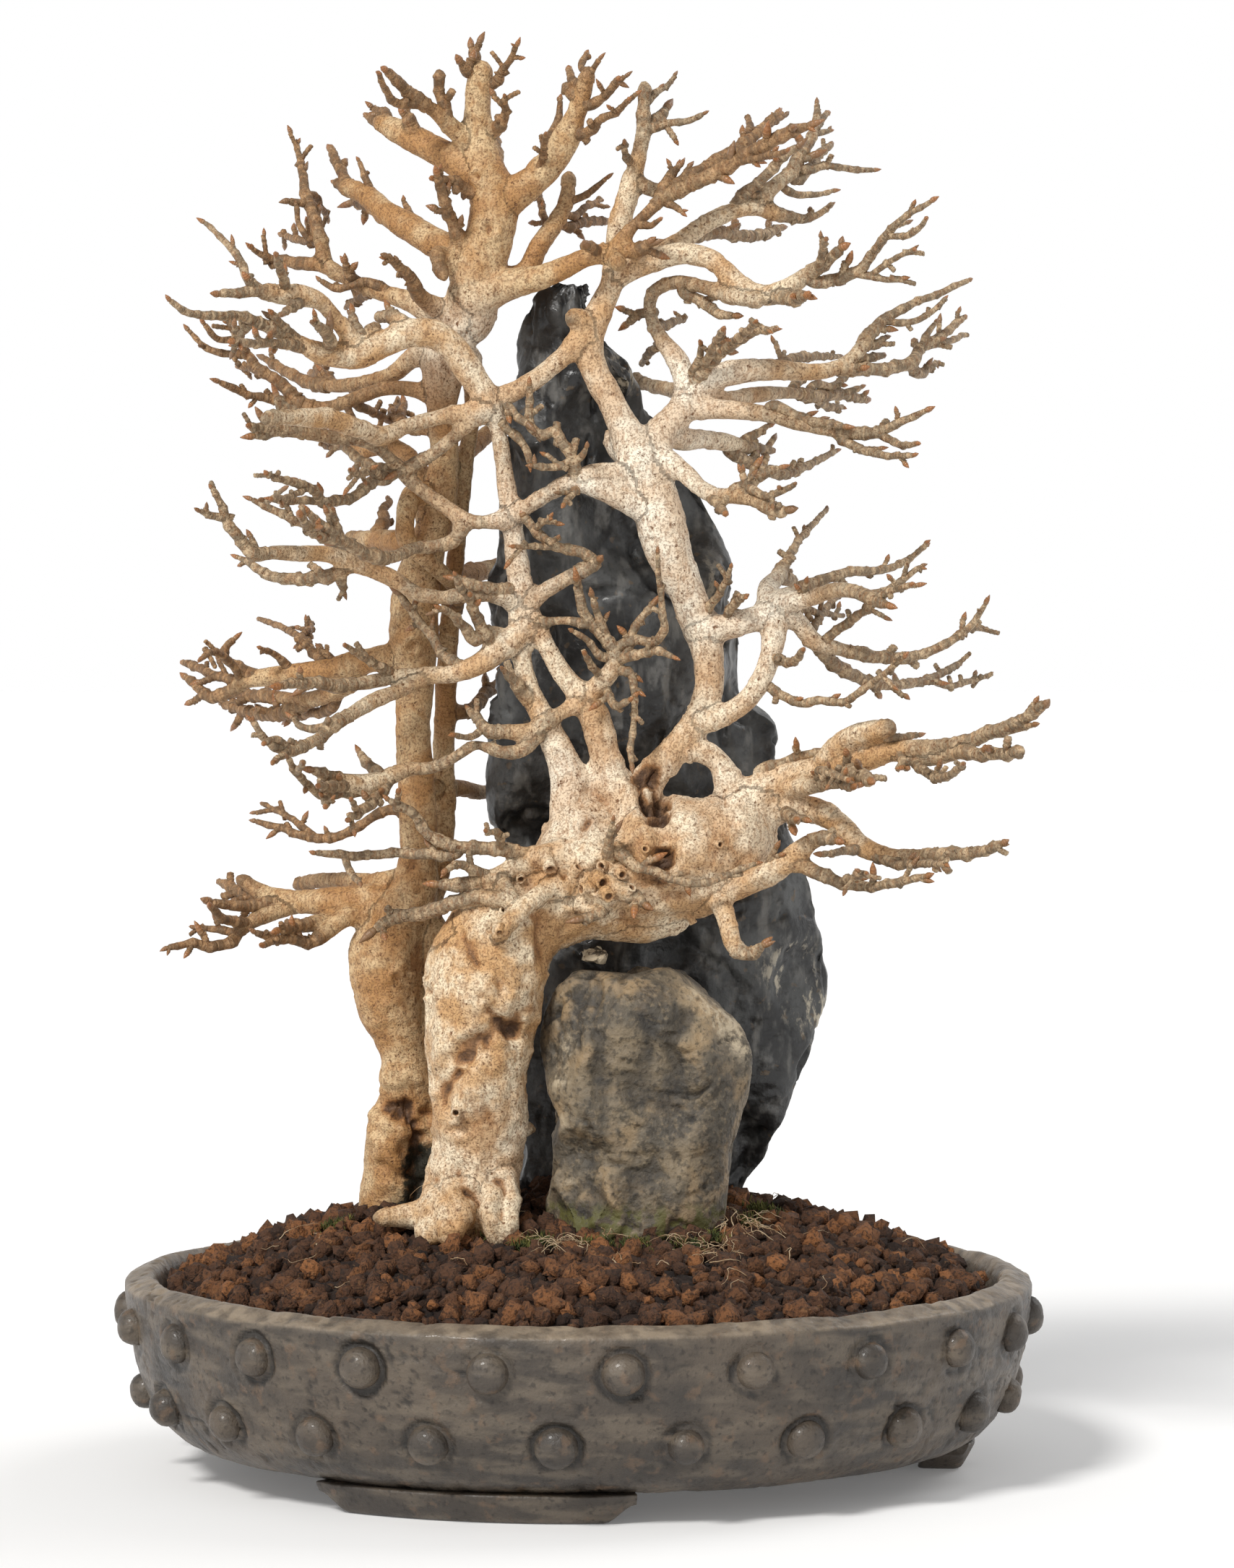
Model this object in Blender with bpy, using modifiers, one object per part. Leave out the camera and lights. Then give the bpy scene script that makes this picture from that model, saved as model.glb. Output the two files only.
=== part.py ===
"""Bonsai in a round drum pot: two old trees grown against an upright rock.

Metres, +Z up. The pot's axis is the world Z axis, its feet stand on z = 0, and the front faces -Y.
The trees and the rocks are drawn as a front elevation, in millimetres, and each point is then
moved straight along the line of sight to its own depth, so the front view keeps its drawing.
"""

import math

import bmesh
import bpy
from mathutils import Matrix, Vector

MM = 0.001

# The line of sight of the front elevation: the eye, in metres, level with the upper trunk.
EYE = Vector((0.0135, -2.4959, 0.3808))

# Round drum pot.
POT_TURN_STEPS = 40
FLOOR_TOP = 16.0
FOOT_HEIGHT = 9.0
# (radius, height) down the inside is read upwards, and down the outside downwards.
POT_PROFILE = [
    (0, 16), (126, 16), (134, 20), (139, 31), (143, 50), (144.6, 61), (146.5, 67.6), (149, 68.4),
    (157.4, 65.2), (157.2, 60), (156.2, 52), (154.4, 42), (151.6, 32), (147.4, 22), (141, 14),
    (133, 10), (124, 9), (0, 9),
]
RIVETS_PER_ROW = 22
RIVET_ROWS = [
    # height, wall radius, phase in rivet pitches
    (53.0, 155.4, 0.35),
    (28.0, 149.4, 0.85),
]
RIVET_BASE = 6.4
RIVET_TOP = 3.6
RIVET_RISE = 3.4
RIVET_ROOT = 3.0
RIVET_SIDES = 8
FEET = 3
FOOT_START = -15.5
FOOT_SWEEP = 48.0
FOOT_RADII = (120.0, 136.0)
FOOT_STEPS = 5
FOOT_ROOT = 1.4

# Drainage: a hole with a mesh over it, held by a wire clip through the hole.
DRAIN_HOLES = 3
DRAIN_RADIUS = 9.0
DRAIN_CIRCLE = 72.0
DRAIN_START = 44.5
DRAIN_SIDES = 16
MESH_SIDE = 30.0
MESH_THICK = 0.8
MESH_OPENINGS = 3
MESH_BAR = 2.6
CLIP_WIRE = 0.6
CLIP_SPAN = 13.6
CLIP_TAIL = 9.0

# The gap that touching pieces keep.
GAP = 0.35
# A seat cut in the soil is this much larger all round than what stands in it.
SEAT_GAP = 0.45
# Lengths and shares under this count as nothing.
TINY = 1e-9

# Soil: a mound inside the pot, (radius, height) from the middle out.
SOIL_TOP = [
    (0, 96), (30, 95), (55, 92), (80, 86.5), (100, 81), (118, 75), (132, 69), (141, 64), (142.6, 61.5),
]
SOIL_SIDE = [(141.9, 51), (137.8, 32.5), (132.6, 21.2), (125.6, 16.35)]
SOIL_TURN_STEPS = 36
DIP_DEPTH = 9.5
DIP_PLACE = (0.0, -50.0)
DIP_REACH = (95.0, 38.0)
SOIL_POCKET = 21.8
SOIL_POCKET_TOP = 19.6

# Rocks, as level slices of the elevation: (height, left, right, front, back).
TALL_ROCK = [
    (62, -14, 50, 10, 46), (78, -20, 52, 10, 50), (97, -24, 58, 10, 55), (112, -26, 70, 10, 58),
    (130, -27, 78, 10, 60), (150, -27.5, 85, 10, 62), (168, -28, 87, 10.5, 63), (190, -28.5, 84, 10.5, 62),
    (205, -29.5, 82, 10.5, 60), (222, -31, 73, 10.5, 59), (240, -33, 71, 10, 57), (260, -33, 68, 8, 56),
    (283, -31, 60, 5, 53), (308, -32, 55, 3, 50), (330, -30, 47, 2, 46), (350, -28, 34, 2, 43),
    (370, -25, 28, 2.5, 40), (388, -22, 20, 4, 36), (402, -17, 11, 8, 32), (411, -10, 6, 12, 27),
]
FRONT_BOULDER = [
    (62, -6, 46, -34, 4), (76, -10, 50, -42, 7), (90, -11, 51.5, -45, 8), (108, -9, 53.5, -45, 8.5),
    (124, -10.5, 58, -44, 9), (138, -14, 61, -43, 9), (151, -13, 58, -41, 9), (162, -10, 48, -38, 8),
    (170, -6, 39, -32, 5), (174.4, 4, 31, -24, -4),
]
ROCK_SIDES = 20
# 1 would make each slice a true ellipse, and less squares it off.
ROCK_SQUARE = 0.78
WEDGE_STONE = [(0.6, 180.6), (-0.6, 177.5), (3.4, 175.1), (10.0, 175.3), (10.6, 178.4)]
WEDGE_DEPTHS = (-22.0, -9.0)

# Trees. A limb is: its parent, the depth of its tip, and its points (x, height, radius[, depth]),
# all in millimetres. It leaves its parent at the nearest point of the parent's own line, and
# runs back or forward along its length to the depth of its tip.
THICK_LIMB = 7.0
THICK_SIDES = 10
THIN_SIDES = 6
# A limb that starts further than this share of its parent's radius from the parent's line gets one
# more point on that line, of its own radius times the flare, or the share of its parent's.
ROOT_REACH = 0.45
ROOT_FLARE = 1.15
ROOT_SHARE = 0.8
DEPTH_EASE = 1.5
LEFT_LIMBS = {
    "bole": (None, 5, [(-65, 60, 12, 16), (-65, 88, 11, 16), (-63.5, 104, 11, 16),
        (-61.5, 120, 10.6, 15), (-59.5, 131, 8.7, 14), (-60, 142, 8.3, 13), (-62, 151, 9.2, 12),
        (-65, 161, 12.2, 12), (-66, 175, 13.6, 12), (-63, 189, 11.6, 12), (-57, 200, 9, 11),
        (-55.5, 213, 6.8, 10), (-56, 235, 6.6, 10), (-57, 255, 6.4, 11), (-56.3, 274, 7.2, 12),
        (-56.5, 290, 9, 12), (-55.5, 306, 8.2, 12), (-51, 322, 6.6, 12), (-48.5, 333, 6.2, 12),
        (-46, 352, 5.2, 10), (-47, 368, 5.6, 8), (-46, 381, 8, 7), (-43.5, 392, 9.2, 6),
        (-39, 402, 9.6, 5)]),
    "toe_back": ("bole", 18, [(-59, 198, 7, 14), (-54, 184, 9, 16), (-52, 164, 9, 17),
        (-51, 142, 8.6, 18), (-52, 122, 9, 18), (-53, 104, 10, 18), (-53, 84, 10, 18),
        (-53, 62, 10, 18)]),
    "rear_stem": ("bole", 9, [(-52, 200, 6, 16), (-48, 216, 5, 24), (-46.5, 245, 4.2, 27),
        (-45.5, 275, 3.8, 27), (-43.5, 300, 3.5, 26), (-41, 328, 3.3, 24), (-38.5, 350, 3.2, 21),
        (-36, 372, 3.4, 15), (-38, 388, 5, 9)]),
    "crown_trunk": ("bole", 8, [(-40.5, 397, 8.6, 5.5), (-35, 414, 9, 4), (-30.5, 426, 8.6, 4),
        (-29.5, 438, 8.4, 5), (-32, 449, 7.2, 6), (-34, 460, 5.6, 7), (-34.4, 474, 4.8, 8),
        (-32.5, 486, 4.3, 8)]),
    "crown_fork": ("crown_trunk", -8, [(-28, 436, 7), (-21, 441, 6.2), (-14, 446, 5.2), (-8, 453, 5.2),
        (-4, 460, 5.2), (-0.5, 468, 3.7), (2, 476, 3.3), (4, 484, 2.5)]),
    "crown_back": ("crown_trunk", 18, [(-25, 411, 4.5), (-18, 414, 3.8), (-13, 423, 3.6), (-8, 430, 3.6),
        (-4, 438, 3), (-3, 448, 2.6)]),
    "crown_left_low": ("crown_trunk", 26, [(-35, 447, 6), (-42, 452, 5.4), (-50, 456, 5),
        (-58, 460, 4.8), (-65, 463.5, 4), (-70, 466, 2.6)]),
    "crown_left_high": ("crown_trunk", -18, [(-34, 456, 4), (-42, 462, 3.5), (-48, 468, 3),
        (-54, 472, 2.6), (-60, 477, 2), (-66, 483, 1.7)]),
    "crown_hook": ("crown_trunk", -16, [(-38, 419, 4), (-42, 428, 2.4), (-46, 438, 2),
        (-48.5, 447, 1.5)]),
    "crown_knot": ("crown_trunk", -12, [(-38, 412, 5), (-44, 417, 4), (-48, 420, 3), (-46, 411, 2.2)]),
    "left_high": ("crown_trunk", 52, [(-38, 418, 7), (-48, 423, 5.4), (-57, 428.5, 5), (-66, 434, 4.7),
        (-73, 440, 4.2), (-80, 443, 3), (-84, 444.5, 1)]),
    "grey_hook": ("bole", -28, [(-48, 401, 4), (-55, 406, 2.8), (-57.5, 412, 2), (-61, 415, 1.6),
        (-66, 419, 1.2)]),
    "tier_one": ("bole", 34, [(-46, 398, 6), (-56, 403, 4.2), (-66, 406, 3.3), (-75, 409, 2.8),
        (-82, 413, 2.8), (-88, 416, 3), (-95, 416.5, 2.4), (-105, 418, 1.6)]),
    "brown_a": ("bole", 66, [(-46, 388, 5), (-57, 384, 3.6), (-63, 379, 3.2), (-72, 376, 2.9),
        (-82, 374.5, 2.7), (-91, 375, 2.4), (-99, 378.5, 2), (-104, 381.5, 1.6), (-108.5, 384, 1.2)]),
    "brown_b": ("bole", 24, [(-47, 370, 4.4), (-56, 373, 3), (-66, 373.5, 2.7), (-76, 370.5, 2.6),
        (-84, 367.5, 2.7), (-92, 367, 2.8), (-98, 370.5, 2.3), (-103, 376, 2.2), (-110, 380, 2),
        (-114, 385, 1.7), (-123, 385.5, 1.3), (-130, 389, 1), (-134.5, 394, 0.8)]),
    "tier_dark": ("bole", 58, [(-52, 330, 5), (-57, 349, 3.2), (-66, 354, 3.6), (-75, 352.5, 3),
        (-82, 356, 2.6), (-88, 358, 2.2), (-92, 360, 1.6)]),
    "wrap": ("bole", 4, [(-56.5, 337, 4, 6), (-59.5, 329, 3.8, 1), (-59, 321, 3.6, -1),
        (-53.5, 315.5, 3.4, -1), (-46, 309, 3, 3), (-41.5, 303, 2.6, 12), (-42.5, 296, 2.4, 22)]),
    "stump_tier": ("bole", 70, [(-53, 321, 5), (-63, 321, 4.2), (-71, 321.5, 3.6), (-79, 322, 2.6)]),
    "low_v": ("bole", 46, [(-56, 283, 5), (-68, 280.5, 4.6), (-80, 278, 4.4), (-90, 276, 4),
        (-100, 275, 3.6), (-109, 274, 3.6), (-115, 272.5, 3), (-120, 269, 2.5), (-127, 267, 2.2),
        (-131, 270, 1.8), (-135.5, 274, 1.4)]),
    "low_w": ("low_v", 74, [(-76, 276, 3.4), (-86, 268, 3.2), (-95, 266, 3), (-104, 267, 2.6),
        (-112, 267.5, 2.2), (-118, 268.5, 1.6)]),
    "low_x": ("bole", 60, [(-57, 234, 4), (-50, 235, 3.2, 22), (-41, 235.5, 3.2, 34),
        (-33, 234, 2.8, 48), (-20, 238, 2, 66)]),
    "low_y": ("rear_stem", 64, [(-46, 262, 3.2), (-38, 262, 2.6), (-32, 268, 2.2), (-22, 275, 1.6)]),
    "pale_shelf": ("bole", 64, [(-58, 204, 5), (-70, 203, 3.2), (-82, 203.5, 3), (-92, 203, 2.8),
        (-98, 201.5, 2)]),
    "shelf": ("bole", 30, [(-60, 194, 8.5), (-71, 196, 6.6), (-82, 196, 5.4), (-92, 196, 4.6),
        (-101, 196.5, 4), (-109, 199, 3.2), (-118, 204.5, 2.2)]),
    "shelf_c": ("shelf", 2, [(-98, 195, 3.6), (-108, 191.5, 3), (-116, 187, 2.6), (-120, 182.5, 2.2),
        (-126, 180.5, 1.9), (-134, 181.5, 1.6), (-142.5, 180, 1)]),
    "shelf_f": ("shelf", -14, [(-84, 192, 4), (-92, 188.5, 3), (-100, 187, 2), (-103.5, 186, 1.4)]),
    "shelf_g": ("bole", -16, [(-66, 189, 6), (-80, 191, 4), (-86, 186.5, 3.4), (-92, 182, 2),
        (-100, 183, 1.8), (-106, 183.5, 1.7), (-112, 185.5, 1.1)]),
    "right_arm": ("crown_trunk", -13, [(-38, 404, 8, 4), (-26, 409, 6.2, 0), (-14, 411.5, 4.6, -5),
        (-4, 415.5, 3.9, -9), (6, 419.5, 3.7, -12), (13, 420, 4, -13)]),
    "arm_branch": ("right_arm", -4, [(12, 420, 4), (18, 428, 2.6), (24, 434, 2.4), (29, 439.5, 2.6),
        (31.5, 446, 1.8), (35, 450, 1.2)]),
    "rear_a": ("bole", 104, [(-52, 305, 5, 18), (-40, 309, 4, 36), (-28, 312, 3.4, 58),
        (-14, 318, 2.6, 82), (0, 326, 1.5, 104)]),
    "rear_b": ("bole", 98, [(-46, 346, 4.4, 16), (-38, 352, 3.6, 34), (-26, 362, 3, 54),
        (-11, 371, 2.4, 76), (4, 379, 1.5, 98)]),
    "rear_c": ("crown_trunk", 98, [(-38, 404, 6, 12), (-40, 410, 4.4, 38), (-41, 418, 3.2, 68),
        (-40, 427, 1.8, 98)]),
    "rear_d": ("crown_trunk", 88, [(-30, 440, 5, 12), (-29, 446, 3.6, 38), (-28, 453, 2.6, 64),
        (-29, 461, 1.5, 88)]),
}
FRONT_LIMBS = {
    "bole": (None, -12, [(-38, 60, 18, -22), (-38.5, 88, 16.6, -22), (-36, 104, 16, -22),
        (-34, 120, 16, -23), (-34.5, 134, 16.8, -23), (-34.5, 147, 18.4, -22), (-33, 160, 20.5, -21),
        (-31.5, 173, 21, -20), (-26, 184, 20, -18), (-16, 193, 17, -16), (-3, 199, 17.5, -14),
        (11, 204, 20, -13), (25, 209, 22.5, -12), (38, 212, 21.5, -12), (49, 216, 18.5, -12),
        (58, 223, 14.5, -12), (64, 231, 9.5, -12)]),
    "toe_left": ("bole", -34, [(-46, 88, 9, -24), (-54, 87, 6, -27), (-62, 86.5, 4.4, -30),
        (-71, 86, 2.8, -33)]),
    "toe_mid": ("bole", -48, [(-39, 97, 7, -32), (-43, 87, 5.8, -40), (-46, 77, 4.4, -47)]),
    "toe_right": ("bole", -46, [(-28.5, 99, 8, -30), (-27.5, 88, 6.4, -38), (-26.5, 76.5, 5.6, -45)]),
    "belly": ("bole", -13, [(-8, 192.5, 8.8, -16), (6, 192, 9.2, -15), (20, 190.5, 9, -14),
        (31, 192.5, 8.4, -13), (40, 196, 7.4, -12)]),
    "body": ("bole", -12, [(-2, 205, 15, -14), (6, 220, 15, -13), (14, 228, 12, -12)]),
    "stem_a": ("bole", -12, [(0, 212, 12, -14), (-1.5, 226, 8.6, -13), (-3, 238, 7, -12),
        (-7, 249, 5.6, -12), (-11.5, 259, 4.6, -12), (-16.5, 269, 3.8, -11), (-19.5, 281, 3.6, -10),
        (-20, 293, 4.2, -9), (-20, 304, 4.6, -9), (-21.5, 318, 4.1, -9), (-23.5, 332, 3.7, -9),
        (-25.5, 346, 3.1, -9), (-27.5, 359, 3.2, -10), (-30.5, 369, 4.8, -12), (-36, 377, 5.2, -13),
        (-42, 386, 5.4, -15), (-49, 392, 5.4, -16), (-58, 392.5, 5.4, -17), (-67, 388.5, 4.8, -18),
        (-76, 385, 5.2, -20), (-86, 385, 4.4, -22), (-96, 389, 3.2, -26), (-103, 393, 2.6, -31),
        (-110, 396, 2.2, -36), (-117, 398.5, 1.8, -42), (-127, 398.5, 1.5, -50), (-134, 399.5, 1.3, -55),
        (-141, 404, 0.9, -60)]),
    "stem_b": ("bole", -9, [(12, 218, 11, -13), (11.5, 232, 7.2, -12), (9.5, 246, 5.6, -12),
        (6.5, 258, 5.8, -12), (2.5, 266, 5.4, -12), (-4, 273, 3.8, -12), (-9.5, 282, 3.4, -11),
        (-14, 291, 3.5, -10), (-19, 300, 4, -9)]),
    "stem_c": ("bole", 5, [(18, 222, 12, -12), (24, 238, 6.4, -12), (33, 248, 5.2, -12),
        (41, 258.5, 5.2, -11), (45, 269, 5.2, -10), (45, 281, 6, -9), (42, 292, 6.4, -8),
        (37.5, 304, 6.6, -8), (32.5, 315, 8.2, -8), (28.5, 328, 9.2, -8), (26, 339, 8, -7),
        (21, 350, 8, -7), (15.5, 361, 5.6, -6), (11, 370, 5, -5), (5.5, 380, 5, -3), (3.5, 389, 5.4, -2),
        (7.5, 400, 4.8, -1), (11.5, 409, 4.1, 0), (13.5, 420, 4.6, 1), (14.8, 431, 4.4, 2),
        (17.5, 441, 3.8, 3), (20.3, 451, 3.4, 4), (22.5, 461, 2.8, 5), (22.8, 471, 2.1, 5),
        (22.8, 479, 2.2, 6)]),
    "link_c": ("stem_c", -14, [(3, 391, 5, -3), (-5, 384.5, 3.8, -5), (-13, 378, 3.8, -8),
        (-21, 373, 3.6, -11), (-29, 369.5, 3.8, -12)]),
    "pale_a": ("stem_c", 30, [(12.5, 415, 4.6), (24, 418, 4.4), (34, 423, 3.9), (43, 429.5, 3.4),
        (52, 434, 3.3), (60, 436, 3.4), (67, 434, 3.1), (74, 432, 2), (81, 432.5, 1.4),
        (86.5, 436, 0.9)]),
    "pale_a_up": ("pale_a", 44, [(62, 437, 3.2), (67, 442.5, 3), (73, 447.5, 2.7), (77, 454, 2.2),
        (80.5, 460, 1.9), (82, 466, 1.4), (82.5, 471.5, 1)]),
    "pale_b": ("stem_c", -40, [(13, 412, 4.4), (25, 417, 4.2), (36, 420, 4.1), (45, 418.5, 3.7),
        (52, 413, 3.6), (58, 408, 3.8), (65, 405.5, 4), (72, 408, 3.6), (79, 412.5, 3), (86, 417.5, 2.2),
        (91, 422, 1.5)]),
    "limb_d": ("stem_c", 10, [(22, 348, 7, -7), (29, 359, 5.6, -4), (36, 367, 5.4, -1),
        (37.5, 375, 4.6, 1), (34, 383.5, 4, 3), (28.5, 391, 3, 5), (25, 399, 2.6, 6),
        (25.5, 406, 2.6, 4), (33, 410, 2.6, 0), (43, 408.5, 2.6, -8), (54, 405, 3, -18),
        (64, 403.5, 3, -26)]),
    "limb_e": ("limb_d", 46, [(37, 371, 5), (46, 377, 4.8), (56, 379.5, 4.6), (66, 380, 4),
        (76, 379.5, 3.6), (85, 379.5, 3.1), (92, 382, 3), (97.5, 387, 2.9), (101, 393, 2.4),
        (107, 398, 1.9), (114, 402, 1.5), (124, 406, 1.3), (135, 411, 0.9)]),
    "limb_f": ("limb_d", -28, [(36, 367, 4.6), (46, 366.5, 3.9), (56, 366, 3.5), (66, 364.5, 3),
        (76, 361.5, 2.7), (86, 359.5, 2.6), (96, 358, 2.4), (104, 358.5, 2), (109, 361, 1.5),
        (120.5, 366, 1)]),
    "limb_g": ("limb_d", 78, [(38, 370, 4), (50, 369.5, 3.4), (62, 371.5, 3), (72, 372, 2.6),
        (82, 371, 2.4), (92, 371.5, 1.9), (99, 369.5, 1.4)]),
    "limb_h": ("limb_d", -36, [(38, 372, 3.2), (42.5, 379, 2.4), (48, 385, 2.2), (55, 390, 2),
        (62, 393.5, 1.6), (68, 393.5, 1)]),
    "limb_i": ("limb_d", 56, [(34, 357, 4.6), (43, 356, 3.6), (51, 355, 3.5), (57, 353.5, 2.6),
        (62, 353, 1.8), (67, 352, 1.4)]),
    "limb_j": ("stem_c", -52, [(28, 349, 5), (36, 345, 3.7), (42, 339.5, 3.3), (48, 336.5, 3.3),
        (55, 336.5, 3), (62, 334.5, 2.7), (68, 331.5, 2.4), (72.5, 331.5, 1.7)]),
    "front_p": ("stem_c", -16, [(25, 332, 6, -9), (15, 335.5, 4.4, -12), (6, 339.5, 4, -14),
        (-2, 341, 3.4, -15), (-10, 337.5, 3, -15), (-18, 332.5, 3.2, -13), (-24, 329, 4, -10)]),
    "front_p_a": ("front_p", -10, [(1, 342, 3.4, -15), (8, 345, 3.3, -13), (16, 343.5, 3.6, -11),
        (22, 339, 4.4, -8)]),
    "elbow": ("stem_a", -16, [(-18, 300, 3.8, -10), (-11, 304, 3.1, -13), (-4, 308, 2.9, -15),
        (2, 311, 2.8, -17), (5.8, 313.5, 2.1, -18), (3, 316.5, 1.9, -18), (-4, 318, 1.8, -17),
        (-10, 320.5, 1.7, -16), (-15, 325, 1.6, -15), (-19, 330, 1.5, -14)]),
    "front_t": ("stem_b", -22, [(3, 265, 5, -13), (7, 271, 4, -15), (12, 277, 3.2, -17),
        (12.5, 283, 2.6, -18), (8, 289, 2.2, -19), (3, 295, 1.9, -20), (0.8, 301, 1.7, -21),
        (0, 307, 1.4, -22)]),
    "limb_k": ("stem_c", -10, [(42, 290, 5.4, -9), (52, 291.5, 4.7, -10), (61, 294, 4.6, -10),
        (69, 296, 4.8, -9), (76, 293, 3.6, -7), (82, 286, 3.3, -6), (89, 284, 2.9, -4),
        (97, 282, 2.5, -2), (106, 280.5, 2.2, 1), (115, 281, 1.9, 4), (123, 283.5, 1.6, 6),
        (130, 287, 1.4, 8), (136, 292, 1.2, 10), (141, 299.5, 0.8, 12)]),
    "limb_k_low": ("stem_c", -12, [(42, 259, 4.6, -12), (52, 261.5, 4.1, -15), (60, 268, 4, -17),
        (65, 277, 3.9, -17), (67.5, 287, 4.3, -13), (68, 295, 4.4, -10)]),
    "limb_k_a": ("limb_k", 34, [(68, 298, 4.4), (76, 304, 2.6), (86, 308, 1.9), (96, 310.5, 1.7),
        (106, 311, 1.4), (113, 314, 1.2), (120.5, 319.5, 0.8)]),
    "limb_k_b": ("limb_k", -48, [(70, 298, 4.4), (80, 301, 3.3), (89, 304, 3.1), (96, 303.5, 2.6),
        (102, 300.5, 2.4), (107, 299, 1.6)]),
    "limb_k_e": ("limb_k", 60, [(66, 299, 4), (65.5, 304, 3.9), (69, 308.5, 3), (72, 314, 1.8),
        (75.5, 320, 1.4), (80, 325.5, 1.2), (86, 332, 0.8)]),
    "lobe_up": ("bole", -12, [(56, 222, 13, -12), (52.5, 236, 6, -12), (49, 244, 4.4, -12),
        (42, 248.5, 4.4, -12), (34, 248, 5, -12)]),
    "limb_l": ("bole", -74, [(58, 230, 8.5), (70, 238, 6.2), (80, 241.5, 4.6), (90, 243.5, 4.3),
        (99, 245, 4.4), (107, 247.5, 3.6), (116, 249.5, 3), (125, 250, 2.6), (133, 251.5, 2.3),
        (142, 254.5, 2.4), (151, 258, 2.2), (157, 261, 2), (161.5, 264.5, 1.6)]),
    "limb_l_a": ("limb_l", -40, [(84, 243, 4), (90, 250, 4.2), (98, 254, 4.4), (106, 256, 3.6),
        (109.5, 257, 2.2)]),
    "limb_l_e": ("limb_l", -70, [(70, 236, 4.4), (80, 236, 3.2), (88, 237.5, 2), (95, 236, 1.7)]),
    "limb_m": ("bole", -74, [(60, 226, 9), (70, 229, 6.2), (79, 228.5, 5), (87, 225.5, 4.6),
        (93, 220.5, 4.2), (98, 215.5, 3.8), (105, 212.5, 3.2), (115, 212, 2.8), (125, 212.5, 2.4),
        (136, 213, 2.1), (143, 214.5, 1.8), (147, 216.5, 1.2)]),
    "limb_n": ("bole", -44, [(40, 200, 10, -16), (50, 200, 5.4, -22), (60, 203, 4.6, -26),
        (69, 207.5, 4.4, -30), (76, 213, 3.8, -33), (82, 217.5, 2.9, -37), (90, 217.5, 1.8, -44)]),
    "limb_n_a": ("limb_n", -70, [(73, 211, 3.6), (79, 208, 2.8), (86, 204.5, 2.3), (94, 202, 1.9),
        (103, 201.5, 1.7), (112, 203, 1.4), (120.5, 205, 1.1)]),
    "droop": ("limb_n", -38, [(44, 200, 5, -22), (50, 194, 3.9, -28), (52, 187, 3.6, -32),
        (54.5, 180, 3.2, -35), (60, 178, 2.3, -38), (64.5, 181.5, 1.4, -40)]),
    "hand_a": ("bole", -30, [(8, 210, 8, -24), (-6, 212.5, 5.2, -26), (-15, 211, 4.4, -27),
        (-23, 207.5, 3.4, -28), (-32, 204, 2.8, -30), (-41, 202, 2.4, -32), (-49, 202, 1.8, -34)]),
    "hand_f": ("hand_a", -40, [(-2, 204, 6, -26), (-12, 199.5, 3.6, -34), (-20, 193, 3.4, -39),
        (-25.5, 187, 3.3, -41), (-29, 182.5, 3, -42)]),
    "across_a": ("stem_b", -12, [(1, 265.5, 4.4, -13), (-5, 262, 2.9, -15), (-11, 258.5, 2.7, -17),
        (-16, 255.5, 3.1, -17), (-24, 255, 2.8, -17), (-31, 255.5, 2.3, -17), (-35.5, 260, 1.7, -14),
        (-38, 263, 1.1, -10)]),
    "across_b": ("across_a", -40, [(-14, 256, 2.4, -17), (-19, 248.5, 2.6, -18), (-27, 248, 2.4, -18),
        (-35, 250.5, 2.1, -17), (-43, 246, 2.3, -15), (-51, 242.5, 2.5, -12), (-59, 242, 2.8, -12),
        (-66, 239, 3.4, -16), (-73, 236.5, 4, -22), (-81, 237.5, 3.6, -28), (-87, 239.5, 2.4, -33),
        (-92, 242, 1.3, -38)]),
    "tier_l": ("stem_a", -30, [(-19, 291, 4.4, -10), (-26, 284.5, 4.8, -13), (-34, 278.5, 4, -15),
        (-43, 275, 3.4, -14), (-53, 274.5, 3.2, -11), (-63, 274, 3, -9), (-73, 272, 2.7, -12),
        (-83, 271, 2.4, -18), (-93, 272, 2, -26), (-103, 271, 1.5, -36)]),
    "tier_l_a": ("tier_l", -40, [(-52, 274, 3), (-61, 269.5, 3, -14), (-69, 266.5, 3.2, -20),
        (-77, 262, 2.9, -27), (-84, 257.5, 2.4, -34), (-91, 252, 2.1, -41), (-99, 248.5, 2, -48),
        (-106, 250.5, 1.5, -54), (-113, 259, 0.9, -60)]),
    "tier_l_f": ("tier_l", -30, [(-24, 287, 3.4), (-31, 289.5, 2.6), (-36, 287.5, 2.4), (-40, 292, 1.6),
        (-44, 296, 1.4), (-48, 298, 1)]),
    "west_a": ("stem_a", -40, [(-21, 300, 3.4, -10), (-30, 302, 2.7, -13), (-39, 302, 2.7, -13),
        (-48, 301.5, 2.8, -9), (-56, 303, 3.1, -8), (-63, 307.5, 3.4, -9), (-71, 311, 3.4, -12),
        (-79, 314, 3.6, -15), (-87, 316.5, 3.4, -19), (-96, 316.5, 3.1, -24), (-105, 317, 2.7, -29),
        (-112, 316.5, 2.5, -33), (-117, 322, 2, -36), (-121.5, 328.5, 1.7, -38), (-123.5, 334, 1.3, -39),
        (-126.5, 339.5, 0.9, -40)]),
    "north_a": ("stem_a", -30, [(-24.5, 328.5, 4.2, -11), (-32, 327.5, 2.7, -12), (-38.5, 328, 3.2, -10),
        (-44.5, 332, 3, -6), (-51, 336.5, 2.8, -5), (-57, 341, 2.7, -6), (-62, 346, 2.6, -9),
        (-67, 351.5, 2.4, -14), (-75, 355.5, 2.4, -18), (-84, 356.5, 2.6, -22), (-94, 358.5, 2.8, -27),
        (-104, 359, 2.2, -32), (-112, 357, 1.5, -36)]),
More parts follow.
